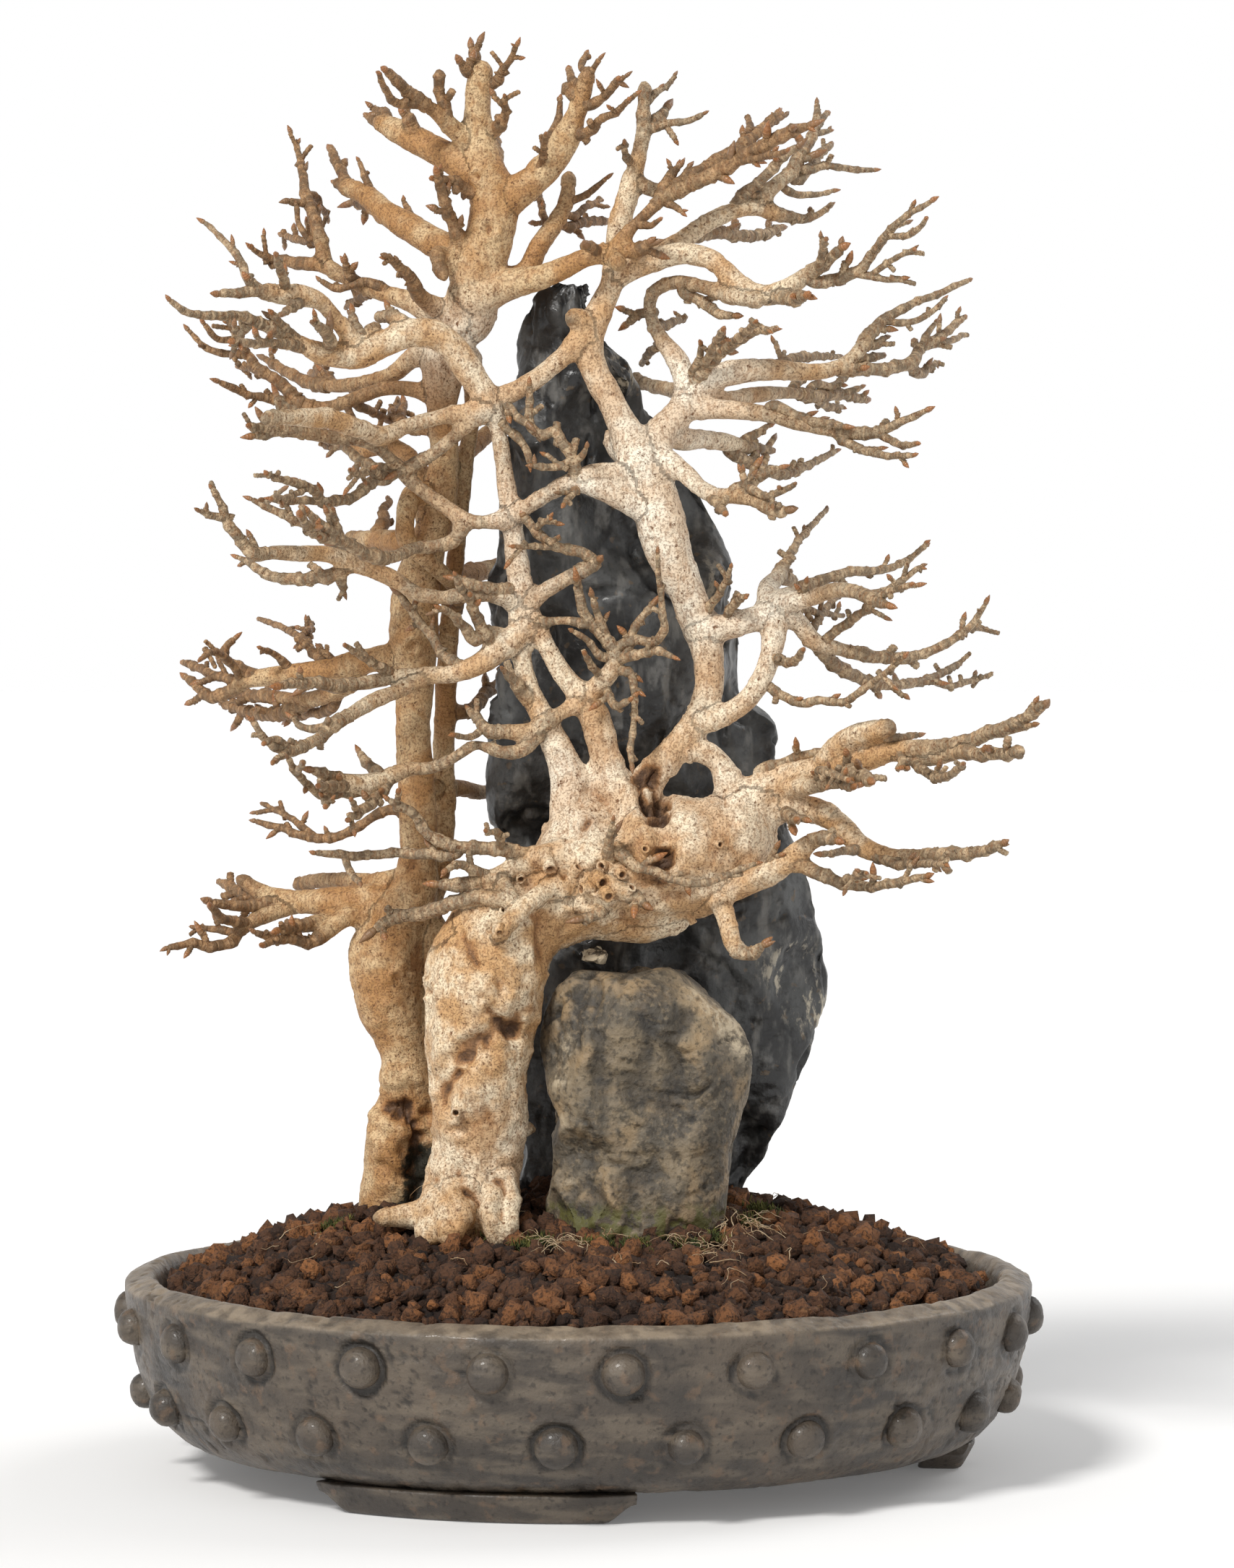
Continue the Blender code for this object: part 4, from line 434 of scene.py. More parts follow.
# %% the front tree's limbs
FRONT_LIMBS = """
bole - -12: -38 60 18 -22, -38.5 88 16.6 -22, -36 104 16 -22, -34 120 16 -23, -34.5 134 16.8 -23,
  -34.5 147 18.4 -22, -33 160 20.5 -21, -31.5 173 21 -20, -26 184 20 -18, -16 193 17 -16, -3 199 17.5 -14,
  11 204 20 -13, 25 209 22.5 -12, 38 212 21.5 -12, 49 216 18.5 -12, 58 223 14.5 -12, 64 231 9.5 -12
toe_left bole -34: -46 88 9 -24, -54 87 6 -27, -62 86.5 4.4 -30, -71 86 2.8 -33
toe_front bole -44: -47 91 8 -29, -51 82 6 -37, -53 77 4.5 -43
toe_mid bole -48: -39 97 7 -32, -43 87 5.8 -40, -46 77 4.4 -47
toe_right bole -46: -28.5 99 8 -30, -27.5 88 6.4 -38, -26.5 76.5 5.6 -45
belly bole -13: -8 192.5 8.8 -16, 6 192 9.2 -15, 20 190.5 9 -14, 31 192.5 8.4 -13, 40 196 7.4 -12
nub bole -24: -25 117 5 -24, -17 117 2.6 -25, -14.8 116.5 1.6 -25
shoulder bole -20: -34 178 18 -20, -37 184 11 -20
body bole -12: -2 205 15 -14, 6 220 15 -13, 14 228 12 -12
stem_a bole -12: 0 212 12 -14, -1.5 226 8.6 -13, -3 238 7 -12, -7 249 5.6 -12, -11.5 259 4.6 -12,
  -16.5 269 3.8 -11, -19.5 281 3.6 -10, -20 293 4.2 -9, -20 304 4.6 -9, -21.5 318 4.1 -9, -23.5 332 3.7 -9,
  -25.5 346 3.1 -9, -27.5 359 3.2 -10, -30.5 369 4.8 -12, -36 377 5.2 -13, -42 386 5.4 -15, -49 392 5.4 -16,
  -58 392.5 5.4 -17, -67 388.5 4.8 -18, -76 385 5.2 -20, -86 385 4.4 -22, -96 389 3.2 -26, -103 393 2.6 -31,
  -110 396 2.2 -36, -117 398.5 1.8 -42, -127 398.5 1.5 -50, -134 399.5 1.3 -55, -141 404 0.9 -60
stem_b bole -9: 12 218 11 -13, 11.5 232 7.2 -12, 9.5 246 5.6 -12, 6.5 258 5.8 -12, 2.5 266 5.4 -12,
  -4 273 3.8 -12, -9.5 282 3.4 -11, -14 291 3.5 -10, -19 300 4 -9
stem_c bole 5: 18 222 12 -12, 24 238 6.4 -12, 33 248 5.2 -12, 41 258.5 5.2 -11, 45 269 5.2 -10, 45 281 6 -9,
  42 292 6.4 -8, 37.5 304 6.6 -8, 32.5 315 8.2 -8, 28.5 328 9.2 -8, 26 339 8 -7, 21 350 8 -7,
  15.5 361 5.6 -6, 11 370 5 -5, 5.5 380 5 -3, 3.5 389 5.4 -2, 7.5 400 4.8 -1, 11.5 409 4.1 0,
  13.5 420 4.6 1, 14.8 431 4.4 2, 17.5 441 3.8 3, 20.3 451 3.4 4, 22.5 461 2.8 5, 22.8 471 2.1 5,
  22.8 479 2.2 6
c_top_a stem_c 14: 23 461 2.4, 27 466 2, 30.5 469.5 1.7
c_top_b stem_c -6: 25 463 2, 33 465 1.2, 38 465.5 1.1, 43.5 468 0.9
c_top_c stem_c 16: 23 471 1.6, 27 475 1.2, 32 478.5 0.8
c_top_d stem_c -8: 19 450 2, 16.5 454 1.3, 16 458 0.9
c_arm stem_c 6: 19 446 3, 24 442.5 2.6, 29 440 2 0.5
c_knob stem_c -10: 4 393 5, -0.5 397.5 4, -3.5 397.5 2.4
c_stub stem_c 4: 16 352 5, 12.5 355.5 4, 12 359 2.4
link_c stem_c -14: 3 391 5 -3, -5 384.5 3.8 -5, -13 378 3.8 -8, -21 373 3.6 -11, -29 369.5 3.8 -12
pale_a stem_c 30: 12.5 415 4.6, 24 418 4.4, 34 423 3.9, 43 429.5 3.4, 52 434 3.3, 60 436 3.4, 67 434 3.1,
  74 432 2, 81 432.5 1.4, 86.5 436 0.9
pale_a_up pale_a 44: 62 437 3.2, 67 442.5 3, 73 447.5 2.7, 77 454 2.2, 80.5 460 1.9, 82 466 1.4,
  82.5 471.5 1
pale_a_b pale_a_up 62: 74 446 2.2, 80 449.5 1.8, 83.5 454.5 1.5, 87 457 1.2
pale_a_c pale_a_up 40: 77 449 1.6, 86 450 1.3, 94 449 1.2, 102 448.5 0.8
pale_a_d pale_a 6: 54 436 2.4, 58 441 2, 64 446 1.8, 70 452.5 1.7, 76 457 1.2
pale_a_e pale_a_up 30: 72 441.5 1.5, 80 440 1.1, 88 441.5 0.8
pale_a_f pale_a_up 56: 82 463 1.5, 85.5 468 1.1
pale_a_g pale_a_up 40: 81 461 1.4, 87 462 0.9
pale_dark pale_a 62: 36 425 2.6, 46 427 2.2, 56 426 2.1, 64 426.5 2, 70 429 1.3
pale_b stem_c -40: 13 412 4.4, 25 417 4.2, 36 420 4.1, 45 418.5 3.7, 52 413 3.6, 58 408 3.8, 65 405.5 4,
  72 408 3.6, 79 412.5 3, 86 417.5 2.2, 91 422 1.5
pale_b_a pale_b -52: 80 411 2.4, 88 411 2, 95 413 2, 101 419 1.7, 106 426 1.5, 112 432 1.2, 122 438 0.9
pale_b_b pale_b_a -40: 95 413.5 1.8, 101 412 1.4, 106 411 1.1, 112 411.5 0.9
pale_b_c pale_b_b -56: 101 412.5 1.2, 108 417.5 1, 116 421.5 0.8
pale_b_d pale_b_a -66: 106 426 1.3, 113 426 1.1, 117.5 428.5 1, 120 432 0.7
pale_b_e pale_b -60: 83 414 1.7, 84 420 1.2, 85.5 425 0.9
pale_b_f pale_b -60: 68 405 3, 75 404.5 2.4, 78.5 405.5 1.7
limb_d stem_c 10: 22 348 7 -7, 29 359 5.6 -4, 36 367 5.4 -1, 37.5 375 4.6 1, 34 383.5 4 3, 28.5 391 3 5,
  25 399 2.6 6, 25.5 406 2.6 4, 33 410 2.6 0, 43 408.5 2.6 -8, 54 405 3 -18, 64 403.5 3 -26
limb_d_a limb_d 40: 26 400 2 6, 21.5 399 1.7 10, 17 396 1.5 14
limb_d_b limb_d 46: 27 394 1.8, 32 396 1.5, 37 398 0.9
limb_d_c limb_d 36: 30 390 1.8, 25 386 1.5, 22 382 1
limb_d_d limb_d -14: 36 408 2.2, 42 404 2, 48 399.5 1.7, 54 398.5 1.2
limb_e limb_d 46: 37 371 5, 46 377 4.8, 56 379.5 4.6, 66 380 4, 76 379.5 3.6, 85 379.5 3.1, 92 382 3,
  97.5 387 2.9, 101 393 2.4, 107 398 1.9, 114 402 1.5, 124 406 1.3, 135 411 0.9
limb_e_a limb_e 60: 90 380.5 2.8, 100 380 2.4, 110 381 2.2, 115 382.5 2.4, 118 387 2, 125 391.5 1.7,
  133 398 1.2
limb_e_b limb_e_a 70: 114 382 2, 117.5 378.5 1.8, 121 380.5 1.3, 124 382.5 0.9
limb_e_c limb_e 30: 105 397 1.5, 113 396 1.2, 120 398.5 1.1, 126 403.5 0.8
limb_e_d limb_e_a 44: 118 387 1.5, 121 393 1.2, 123.5 396.5 0.8
limb_e_e limb_e_a 74: 120 388 1.5, 127 389.5 1.3, 133 392 0.9
limb_e_f limb_e 60: 68 381 2.4, 74 383.5 2, 82 384.5 1.4, 90 384.5 0.9
limb_e_g limb_e 26: 70 380 1.8, 71 386 0.9
limb_e_h limb_e 34: 96 384 2, 101 384 1.6, 105 385 1.2
limb_e_i limb_e 30: 98 388 2, 103 389 1.7, 106 391 1
limb_f limb_d -28: 36 367 4.6, 46 366.5 3.9, 56 366 3.5, 66 364.5 3, 76 361.5 2.7, 86 359.5 2.6, 96 358 2.4,
  104 358.5 2, 109 361 1.5, 120.5 366 1
limb_f_a limb_f -46: 88 359 2, 92 355.5 1.8, 98 352.5 1.5, 106 350.5 1.3, 116 350.5 0.9
limb_f_b limb_f -40: 104 358 1.6, 108 355.5 1.4, 112 354 1.2, 117 354.5 0.9
limb_f_c limb_f -20: 66 366.5 2, 78 363 1.6, 92 360.5 1.2
limb_g limb_d 78: 38 370 4, 50 369.5 3.4, 62 371.5 3, 72 372 2.6, 82 371 2.4, 92 371.5 1.9, 99 369.5 1.4
limb_g_a limb_g 92: 82 370 1.6, 86 367.5 1.5, 91 367 1
limb_g_b limb_g 70: 80 373 1.6, 88 374.5 1.3, 94 379 1
limb_g_c limb_g 60: 74 373 1.8, 78 377 1.4, 79 381 0.9
limb_g_d limb_g 66: 90 371 1.6, 95 373 1.3, 98 374 0.8
limb_h limb_d -36: 38 372 3.2, 42.5 379 2.4, 48 385 2.2, 55 390 2, 62 393.5 1.6, 68 393.5 1
limb_h_a limb_h -50: 53 389 1.6, 58 393 1.4, 61.5 396.5 0.9
limb_h_b limb_h -44: 43 380 1.6, 46 386 1.4, 50 394 1
limb_h_c limb_h -14: 40 378 1.6, 42 384 1.3, 42.5 389 0.8
limb_i limb_d 56: 34 357 4.6, 43 356 3.6, 51 355 3.5, 57 353.5 2.6, 62 353 1.8, 67 352 1.4
limb_i_a limb_i 40: 57 355 2, 61 357.5 1.5, 66 361 1
limb_i_b limb_i 88: 52 353 2.4, 57 349 2.1, 64 345.5 2.1, 71 344 1.9, 79 347 1.5, 89 352 1
limb_i_c limb_i 70: 56 350.5 1.3, 63.5 348.5 0.9
limb_j stem_c -52: 28 349 5, 36 345 3.7, 42 339.5 3.3, 48 336.5 3.3, 55 336.5 3, 62 334.5 2.7, 68 331.5 2.4,
  72.5 331.5 1.7
limb_j_a limb_j -30: 54 338 2.4, 59 340 2, 62 343 1.8, 66 345 1.7, 70 346 1.2
limb_j_b limb_j -66: 59 339 1.6, 64 336.5 1.3, 70 338 1.2, 75 340.5 0.8
limb_j_c limb_j -36: 58 339.5 1.6, 57.5 342 1.3, 56.5 345 1.1
limb_j_d limb_j -50: 46 336 2.2, 49 333 1.6, 51 330.5 1.2
front_p stem_c -16: 25 332 6 -9, 15 335.5 4.4 -12, 6 339.5 4 -14, -2 341 3.4 -15, -10 337.5 3 -15,
  -18 332.5 3.2 -13, -24 329 4 -10
front_p_a front_p -10: 1 342 3.4 -15, 8 345 3.3 -13, 16 343.5 3.6 -11, 22 339 4.4 -8
front_p_b front_p -12: -1 342 3 -15, -1.5 349 2 -17, -5 354 1.8 -17, -8 359 1.9 -17, -12 357.5 1.8 -16,
  -16 360 1.7 -15, -16.8 367 1.4 -14, -16.5 375 1 -16
front_p_c front_p_b -22: -1 349 1.6, -8 346.5 1.3, -16 347 1
front_p_d front_p_b -22: -1.5 348 1.4, 1.5 350.5 1.2, 3.2 353.5 0.7
front_p_e front_p -26: 1 341 1.6, -2 337 1.3, -5 333.5 0.9
front_q stem_a -13: -31 367 2.4, -26 361 1.5, -21 356.5 1.5, -17 350.5 1.3, -16.5 347 0.9
front_q_b stem_a -18: -25 368 1.6, -21 364 1.4, -17 361 1.4
elbow stem_a -16: -18 300 3.8 -10, -11 304 3.1 -13, -4 308 2.9 -15, 2 311 2.8 -17, 5.8 313.5 2.1 -18,
  3 316.5 1.9 -18, -4 318 1.8 -17, -10 320.5 1.7 -16, -15 325 1.6 -15, -19 330 1.5 -14
elbow_a elbow -26: -13 323.5 1.4, -10 321 1.1, -7 322 0.8
elbow_b elbow -28: -15 325 1.3, -12 327.5 1.1, -9.5 328.5 0.7
elbow_c elbow -24: -8 319 1.3, -15 319 1.1, -22 319 0.7
front_t stem_b -22: 3 265 5 -13, 7 271 4 -15, 12 277 3.2 -17, 12.5 283 2.6 -18, 8 289 2.2 -19,
  3 295 1.9 -20, 0.8 301 1.7 -21, 0 307 1.4 -22
front_t_a front_t -13: 3 293 2.2 -19, -4 293.5 2 -16, -12 293 2 -12, -19 293 3 -10
front_t_b front_t -26: 11 285 1.8, 8 293 1.4, 5.5 299 1.2, 5 302.5 0.7
front_t_c front_t -30: 13 284 2, 20 287 1.8, 26 285.5 1.7, 29.5 290 1.5, 29 298 1.2, 28 308 1, 27.5 317 0.7
front_t_d front_t -32: 13 280 2.2, 20 281.5 1.8, 26 283 1.5, 33 281 1
front_t_e front_t -34: 12 277 2.4, 18 275 1.6, 19.5 268 1.2, 19.3 258 1.1, 18.3 250 1.2, 18.5 243.5 0.9
front_t_f front_t -26: 8 281 1.6, 4 286 1.2, -2 290 0.8
front_t_g front_t -28: 9 272 1.6, 13 264 1.4, 18 266 1
front_t_h front_t -20: 14 280 2.2, 20 292 1.4, 26 299 1.2
front_t_i front_t -30: 8 274 1.6, 4 279 1.3, 2.2 282 0.8
limb_k stem_c -10: 42 290 5.4 -9, 52 291.5 4.7 -10, 61 294 4.6 -10, 69 296 4.8 -9, 76 293 3.6 -7,
  82 286 3.3 -6, 89 284 2.9 -4, 97 282 2.5 -2, 106 280.5 2.2 1, 115 281 1.9 4, 123 283.5 1.6 6,
  130 287 1.4 8, 136 292 1.2 10, 141 299.5 0.8 12
limb_k_low stem_c -12: 42 259 4.6 -12, 52 261.5 4.1 -15, 60 268 4 -17, 65 277 3.9 -17, 67.5 287 4.3 -13,
  68 295 4.4 -10
limb_k_a limb_k 34: 68 298 4.4, 76 304 2.6, 86 308 1.9, 96 310.5 1.7, 106 311 1.4, 113 314 1.2,
  120.5 319.5 0.8
limb_k_b limb_k -48: 70 298 4.4, 80 301 3.3, 89 304 3.1, 96 303.5 2.6, 102 300.5 2.4, 107 299 1.6
limb_k_c limb_k_b -34: 98 302 1.8, 106 303.5 1.4, 112 307.5 1.2, 119 312.5 0.8
limb_k_d limb_k_b -60: 103 301 1.6, 108 303.5 1.3, 115 306 0.9
limb_k_e limb_k 60: 66 299 4, 65.5 304 3.9, 69 308.5 3, 72 314 1.8, 75.5 320 1.4, 80 325.5 1.2, 86 332 0.8
limb_k_f limb_k_e 54: 70 309 2.4, 74 307 2
limb_k_g limb_k 70: 80 288 2.8, 88 279 2.4, 95 274.5 2.2, 104 271.5 2, 114 271.5 1.7, 122 273.5 1.5,
  131.5 278.5 1.2
limb_k_h limb_k_g 82: 121 273.5 1.4, 127 271 1.2, 135 272.5 1.1, 142.5 274.5 0.7
limb_k_i limb_k_low -66: 64 272 2.2, 70 268 1.6, 76 265 1.5, 84 266 1.4, 91 265 1.4, 99 270 1.2,
  106 275 1.1, 113 281 0.8
limb_k_j limb_k 26: 128 286 1.3, 134 290 1, 141 290.5 0.7
limb_k_k limb_k 30: 80 287 1.8, 83 294 1.4, 87 299.5 1.1, 91 302.5 0.8
limb_k_l limb_k -30: 84 285.5 2, 89 289.5 1.6, 95 294 1.6, 101 298 1.3, 105 301 0.9
limb_k_m limb_k 20: 76 296 1.6, 84 296 1.1, 91.5 295 0.8
limb_k_n limb_k -20: 72 294 2.4, 77 300 1.5, 79 307 0.9
limb_k_o limb_k_low -40: 66 281 2, 73 279 1.6, 78 283.5 1.1
limb_k_p limb_k -24: 52 294 2, 55 300 1.5, 58 302 1
limb_k_q limb_k -26: 45 296 1.8, 49 303 1.3, 53 312 0.8
lobe_up bole -12: 56 222 13 -12, 52.5 236 6 -12, 49 244 4.4 -12, 42 248.5 4.4 -12, 34 248 5 -12
limb_l bole -74: 58 230 8.5, 70 238 6.2, 80 241.5 4.6, 90 243.5 4.3, 99 245 4.4, 107 247.5 3.6, 116 249.5 3,
  125 250 2.6, 133 251.5 2.3, 142 254.5 2.4, 151 258 2.2, 157 261 2, 161.5 264.5 1.6
limb_l_a limb_l -40: 84 243 4, 90 250 4.2, 98 254 4.4, 106 256 3.6, 109.5 257 2.2
limb_l_b limb_l_a -30: 106 254 1.8, 112 253 1.3, 118 254 1.1
limb_l_c limb_l -80: 110 247.5 3, 118 245.5 2.7, 126 246 2.6, 133 248 2.6, 140 247 2.2, 147 247.5 2.1,
  154 248 2.1
limb_l_d limb_l_c -92: 115 245.5 2, 119 242 1.6, 124 239 1.5, 129.5 240.5 1.4, 133.5 244 0.9
limb_l_e limb_l -70: 70 236 4.4, 80 236 3.2, 88 237.5 2, 95 236 1.7
limb_l_f limb_l -20: 64 241 3, 71 244 1.9, 79 247 1.6, 87 248.5 1.2
limb_l_g limb_l -80: 92 242 2.6, 98 239.5 2.4, 101 238 1.7
limb_l_h limb_l -70: 136 253 1.6, 143 254 1.4, 150 255.5 1.4, 157.5 257.5 1.1
limb_l_i limb_l_e -78: 83 238.5 1.6, 93.5 238.5 1
limb_l_j limb_l -50: 112 246 1.8, 114 242.5 1.1
limb_m bole -74: 60 226 9, 70 229 6.2, 79 228.5 5, 87 225.5 4.6, 93 220.5 4.2, 98 215.5 3.8, 105 212.5 3.2,
  115 212 2.8, 125 212.5 2.4, 136 213 2.1, 143 214.5 1.8, 147 216.5 1.2
limb_m_a limb_m -88: 101 213.5 2.4, 108 209.7 1.7, 118 209.3 1.4, 127.5 209 1
limb_m_b limb_m -50: 99 214.5 2, 92 213.5 1.4, 84.5 212.5 1.1
limb_m_c limb_m -84: 72 227 2.2, 75.5 224.5 1.3
limb_n bole -44: 40 200 10 -16, 50 200 5.4 -22, 60 203 4.6 -26, 69 207.5 4.4 -30, 76 213 3.8 -33,
  82 217.5 2.9 -37, 90 217.5 1.8 -44
limb_n_a limb_n -70: 73 211 3.6, 79 208 2.8, 86 204.5 2.3, 94 202 1.9, 103 201.5 1.7, 112 203 1.4,
  120.5 205 1.1
limb_n_b limb_n_a -84: 91 203 1.4, 96 204.5 1.1, 100 206 0.7
limb_n_c limb_n -34: 64 205 2, 67 211 1.5, 68.5 215 0.9
droop limb_n -38: 44 200 5 -22, 50 194 3.9 -28, 52 187 3.6 -32, 54.5 180 3.2 -35, 60 178 2.3 -38,
  64.5 181.5 1.4 -40
thread bole -40: 13 214 3 -30, 20 208.5 1.8 -35, 28 206 1.5 -37, 36 203 1.4 -38, 44 202.5 1.3 -38,
  54 206.5 1.1 -37, 62 209.5 0.8 -38
shoot_a bole -44: 10.5 213 2.4 -32, 11 219 1.2 -38, 12.3 224.5 0.9 -42
hand_a bole -30: 8 210 8 -24, -6 212.5 5.2 -26, -15 211 4.4 -27, -23 207.5 3.4 -28, -32 204 2.8 -30,
  -41 202 2.4 -32, -49 202 1.8 -34
hand_b hand_a -38: -17 212 3, -27 214.5 2.4, -36 214.5 2.3, -45 216 2.2, -51.5 219 2 -30, -55.5 225 1.8 -30,
  -61 229 1.6 -32, -66 231.5 0.9 -34
hand_c hand_b -36: -41 214 2, -51 212.5 1.8 -28, -62 213 1.7 -22, -74 212 1.6 -22, -84 212.5 1.4 -26,
  -91.5 213 0.9 -30
hand_d hand_c -40: -81 212 1.4, -79 207 1.2, -75.5 202.5 0.9
hand_e hand_b -48: -27 214 1.6, -27 219 1.4, -32 220.5 0.8
hand_f hand_a -40: -2 204 6 -26, -12 199.5 3.6 -34, -20 193 3.4 -39, -25.5 187 3.3 -41, -29 182.5 3 -42
hand_g hand_a -44: -24 197 3 -36, -34 197.5 2.6 -34, -44 195.5 2.4 -30, -54 192 2.4 -22, -63 190.5 2.3 -16,
  -71 186 1.7 -18
hand_h bole -44: 8 200 6 -30, 15 200 2.8 -36, 20 197 2.4 -38, 23.5 195 1.8 -40
hand_i hand_a -42: -30 205 2, -35 206.5 1.8, -41 209 1.5, -46 207 1.1
hand_j bole -46: 2 196 5 -28, 8 192.5 2.2 -34, 1 190 1.8 -37
across_a stem_b -12: 1 265.5 4.4 -13, -5 262 2.9 -15, -11 258.5 2.7 -17, -16 255.5 3.1 -17, -24 255 2.8 -17,
  -31 255.5 2.3 -17, -35.5 260 1.7 -14, -38 263 1.1 -10
across_b across_a -40: -14 256 2.4 -17, -19 248.5 2.6 -18, -27 248 2.4 -18, -35 250.5 2.1 -17,
  -43 246 2.3 -15, -51 242.5 2.5 -12, -59 242 2.8 -12, -66 239 3.4 -16, -73 236.5 4 -22, -81 237.5 3.6 -28,
  -87 239.5 2.4 -33, -92 242 1.3 -38
across_c across_b -10: -68 239 2.8, -72 243.5 2, -76 248 1.3
across_d across_b -60: -72 235 2.6, -82 233.5 1.5, -88 233 1.6, -94 237 1.4, -97.5 241 1.4, -100.5 246 0.9
across_e across_d -66: -87.5 233 1.4, -87.2 229 1.1
across_f across_b -52: -64 239.5 2.2, -69 233 1.9, -75 227.5 1.7, -79.5 224.5 1.1
across_g across_f -60: -76 227 1.3, -78.5 231.5 0.8
across_h across_d -74: -97 241 1.2, -95 244.5 1
across_i across_b -60: -80 236.5 2.4, -86 236 1.8, -90 236.5 1
across_j across_a -30: -33 256 1.6, -36 253.5 1.3, -43 254 0.8
across_k stem_a -24: -15 264 3.4, -20 269.5 2.6, -23.5 274 1.4, -26.5 277 0.9
tier_l stem_a -30: -19 291 4.4 -10, -26 284.5 4.8 -13, -34 278.5 4 -15, -43 275 3.4 -14, -53 274.5 3.2 -11,
  -63 274 3 -9, -73 272 2.7 -12, -83 271 2.4 -18, -93 272 2 -26, -103 271 1.5 -36
tier_l_a tier_l -40: -52 274 3, -61 269.5 3 -14, -69 266.5 3.2 -20, -77 262 2.9 -27, -84 257.5 2.4 -34,
  -91 252 2.1 -41, -99 248.5 2 -48, -106 250.5 1.5 -54, -113 259 0.9 -60
tier_l_b tier_l_a -64: -100 248.5 1.5, -105.5 244.5 1
tier_l_c tier_l_a -26: -82 260 1.8, -91 256 1.4, -95 256.5 1.2, -99 260 0.8
tier_l_d tier_l -34: -64 275 2, -72 279.5 1.5, -80.5 285 0.8
tier_l_e tier_l_a -62: -100 249 1.4, -104 252.5 1.2, -108.5 251 0.9
tier_l_f tier_l -30: -24 287 3.4, -31 289.5 2.6, -36 287.5 2.4, -40 292 1.6, -44 296 1.4, -48 298 1
tier_l_g tier_l -34: -28 283 2.4, -35 294 2, -37 300 1.6, -41 306 1.4, -42.5 309.5 0.9
tier_l_h tier_l -30: -38 277 2.2, -46 281 1.8, -50 287 1.6, -57 296 1.5 -6, -62 303 1.2 -6
west_a stem_a -40: -21 300 3.4 -10, -30 302 2.7 -13, -39 302 2.7 -13, -48 301.5 2.8 -9, -56 303 3.1 -8,
  -63 307.5 3.4 -9, -71 311 3.4 -12, -79 314 3.6 -15, -87 316.5 3.4 -19, -96 316.5 3.1 -24,
  -105 317 2.7 -29, -112 316.5 2.5 -33, -117 322 2 -36, -121.5 328.5 1.7 -38, -123.5 334 1.3 -39,
  -126.5 339.5 0.9 -40
west_b west_a -44: -121 328.5 1.5, -127 330 1.2, -131 331.5 0.9
west_c west_a 2: -78 313 3, -84 309.5 2.5, -92 308 2.1, -100 308 2.1, -108 309.5 1.8, -113 313 1.3,
  -117.5 315.5 0.9
west_d west_c -8: -82 310 2.6, -81.5 305.5 1.6, -80.8 303.5 0.8
west_e west_a -30: -111 317 1.6, -113 322.5 1.1
west_f stem_a -12: -25 304 2.4 -12, -33 305 2 -16, -38 306.5 1.8 -16, -43 308 1.2 -14
north_a stem_a -30: -24.5 328.5 4.2 -11, -32 327.5 2.7 -12, -38.5 328 3.2 -10, -44.5 332 3 -6,
  -51 336.5 2.8 -5, -57 341 2.7 -6, -62 346 2.6 -9, -67 351.5 2.4 -14, -75 355.5 2.4 -18, -84 356.5 2.6 -22,
  -94 358.5 2.8 -27, -104 359 2.2 -32, -112 357 1.5 -36
north_b north_a -44: -102 359.5 2, -109 360 1.7, -113.5 360.5 1.1
north_c north_a -70: -62 345 2.2, -67 342.5 2.1, -71 341.5 2, -75 337.5 1.9, -82 335 1.8, -88 334.5 1.9,
  -91 338 1.6, -94 340 1.5, -100 341.5 1.4, -107.5 344 1
north_d north_c -60: -88 334.5 1.4, -96 334.8 1.3, -103 335 1.1, -109 335.3 0.7
north_e north_c -88: -93 339.5 1.2, -99 336.5 1.1, -106 335.5 0.8
north_f north_c -60: -69 343 1.5, -75 344 1.2, -78.5 345.5 0.7
north_g north_a -70: -39 327.5 3 -10, -43 321 2.7 -7, -50 319 2.6 -6, -56.5 318.5 2.5 -9, -62 316 2.6 -16,
  -68 315 2.5 -24, -74 317 2.3 -32, -80 320.5 2.1 -40, -87 325.5 1.8 -50, -93.5 331 1.2 -58
north_h north_g -40: -78 319 2, -86 321.5 1.9, -91 325 1.6, -98 328 1.5, -104 331 1.4, -113 335.5 0.9
north_i north_g -78: -80 320.5 1.7, -89 322.5 1.7, -96 329.5 1.3
north_j north_g -56: -81 321 1.4, -83.5 327 1.1, -84.5 332 0.8
north_k north_a 8: -62 346 2, -66 346 1.8, -74 348 1.7, -80 353 1.6, -86 356 1.3
west_tier stem_a -66: -31 367 4 -13, -40 365.5 3.2 -13, -50 363 3 -10, -59 360.5 3 -12, -67 357.5 3.4 -18,
  -75 359.5 3.6 -27, -84 362.5 3.7 -36, -94 363.5 3.6 -46, -103 363.5 3.1 -56, -109 363 2.4 -62
west_tier_a stem_a -50: -33 364 3 -13, -42 357.5 2.7 -11, -50 351 2.7 -7, -58 346.5 2.4 -8, -63 344 1.7 -12
west_tier_b west_tier -50: -98 365 2.4, -102 367 2, -104 371 1.3
west_main_a stem_a -46: -77 387 4, -79.5 392.5 3.4, -84 398 3, -89 403.5 3.4, -96 405.5 4.2, -103 406 3.8,
  -110 407 2.4, -117 406.5 1.6, -124 406 1.2
west_main_b west_main_a -30: -109 407.5 2, -114 411 1.6, -115.5 416 1.4, -119 421 1.3, -123 425.5 1.1,
  -129 431 0.8
west_main_c west_main_a -56: -101 408 2, -102.5 414 1.4, -104 419.5 1
west_main_d west_main_a -60: -95 403.5 2, -100 400.5 1.4, -102 399 0.8
west_main_e stem_a -80: -95 388 2.6, -103 389 1.7, -112 389 1.4, -119 390 1.3
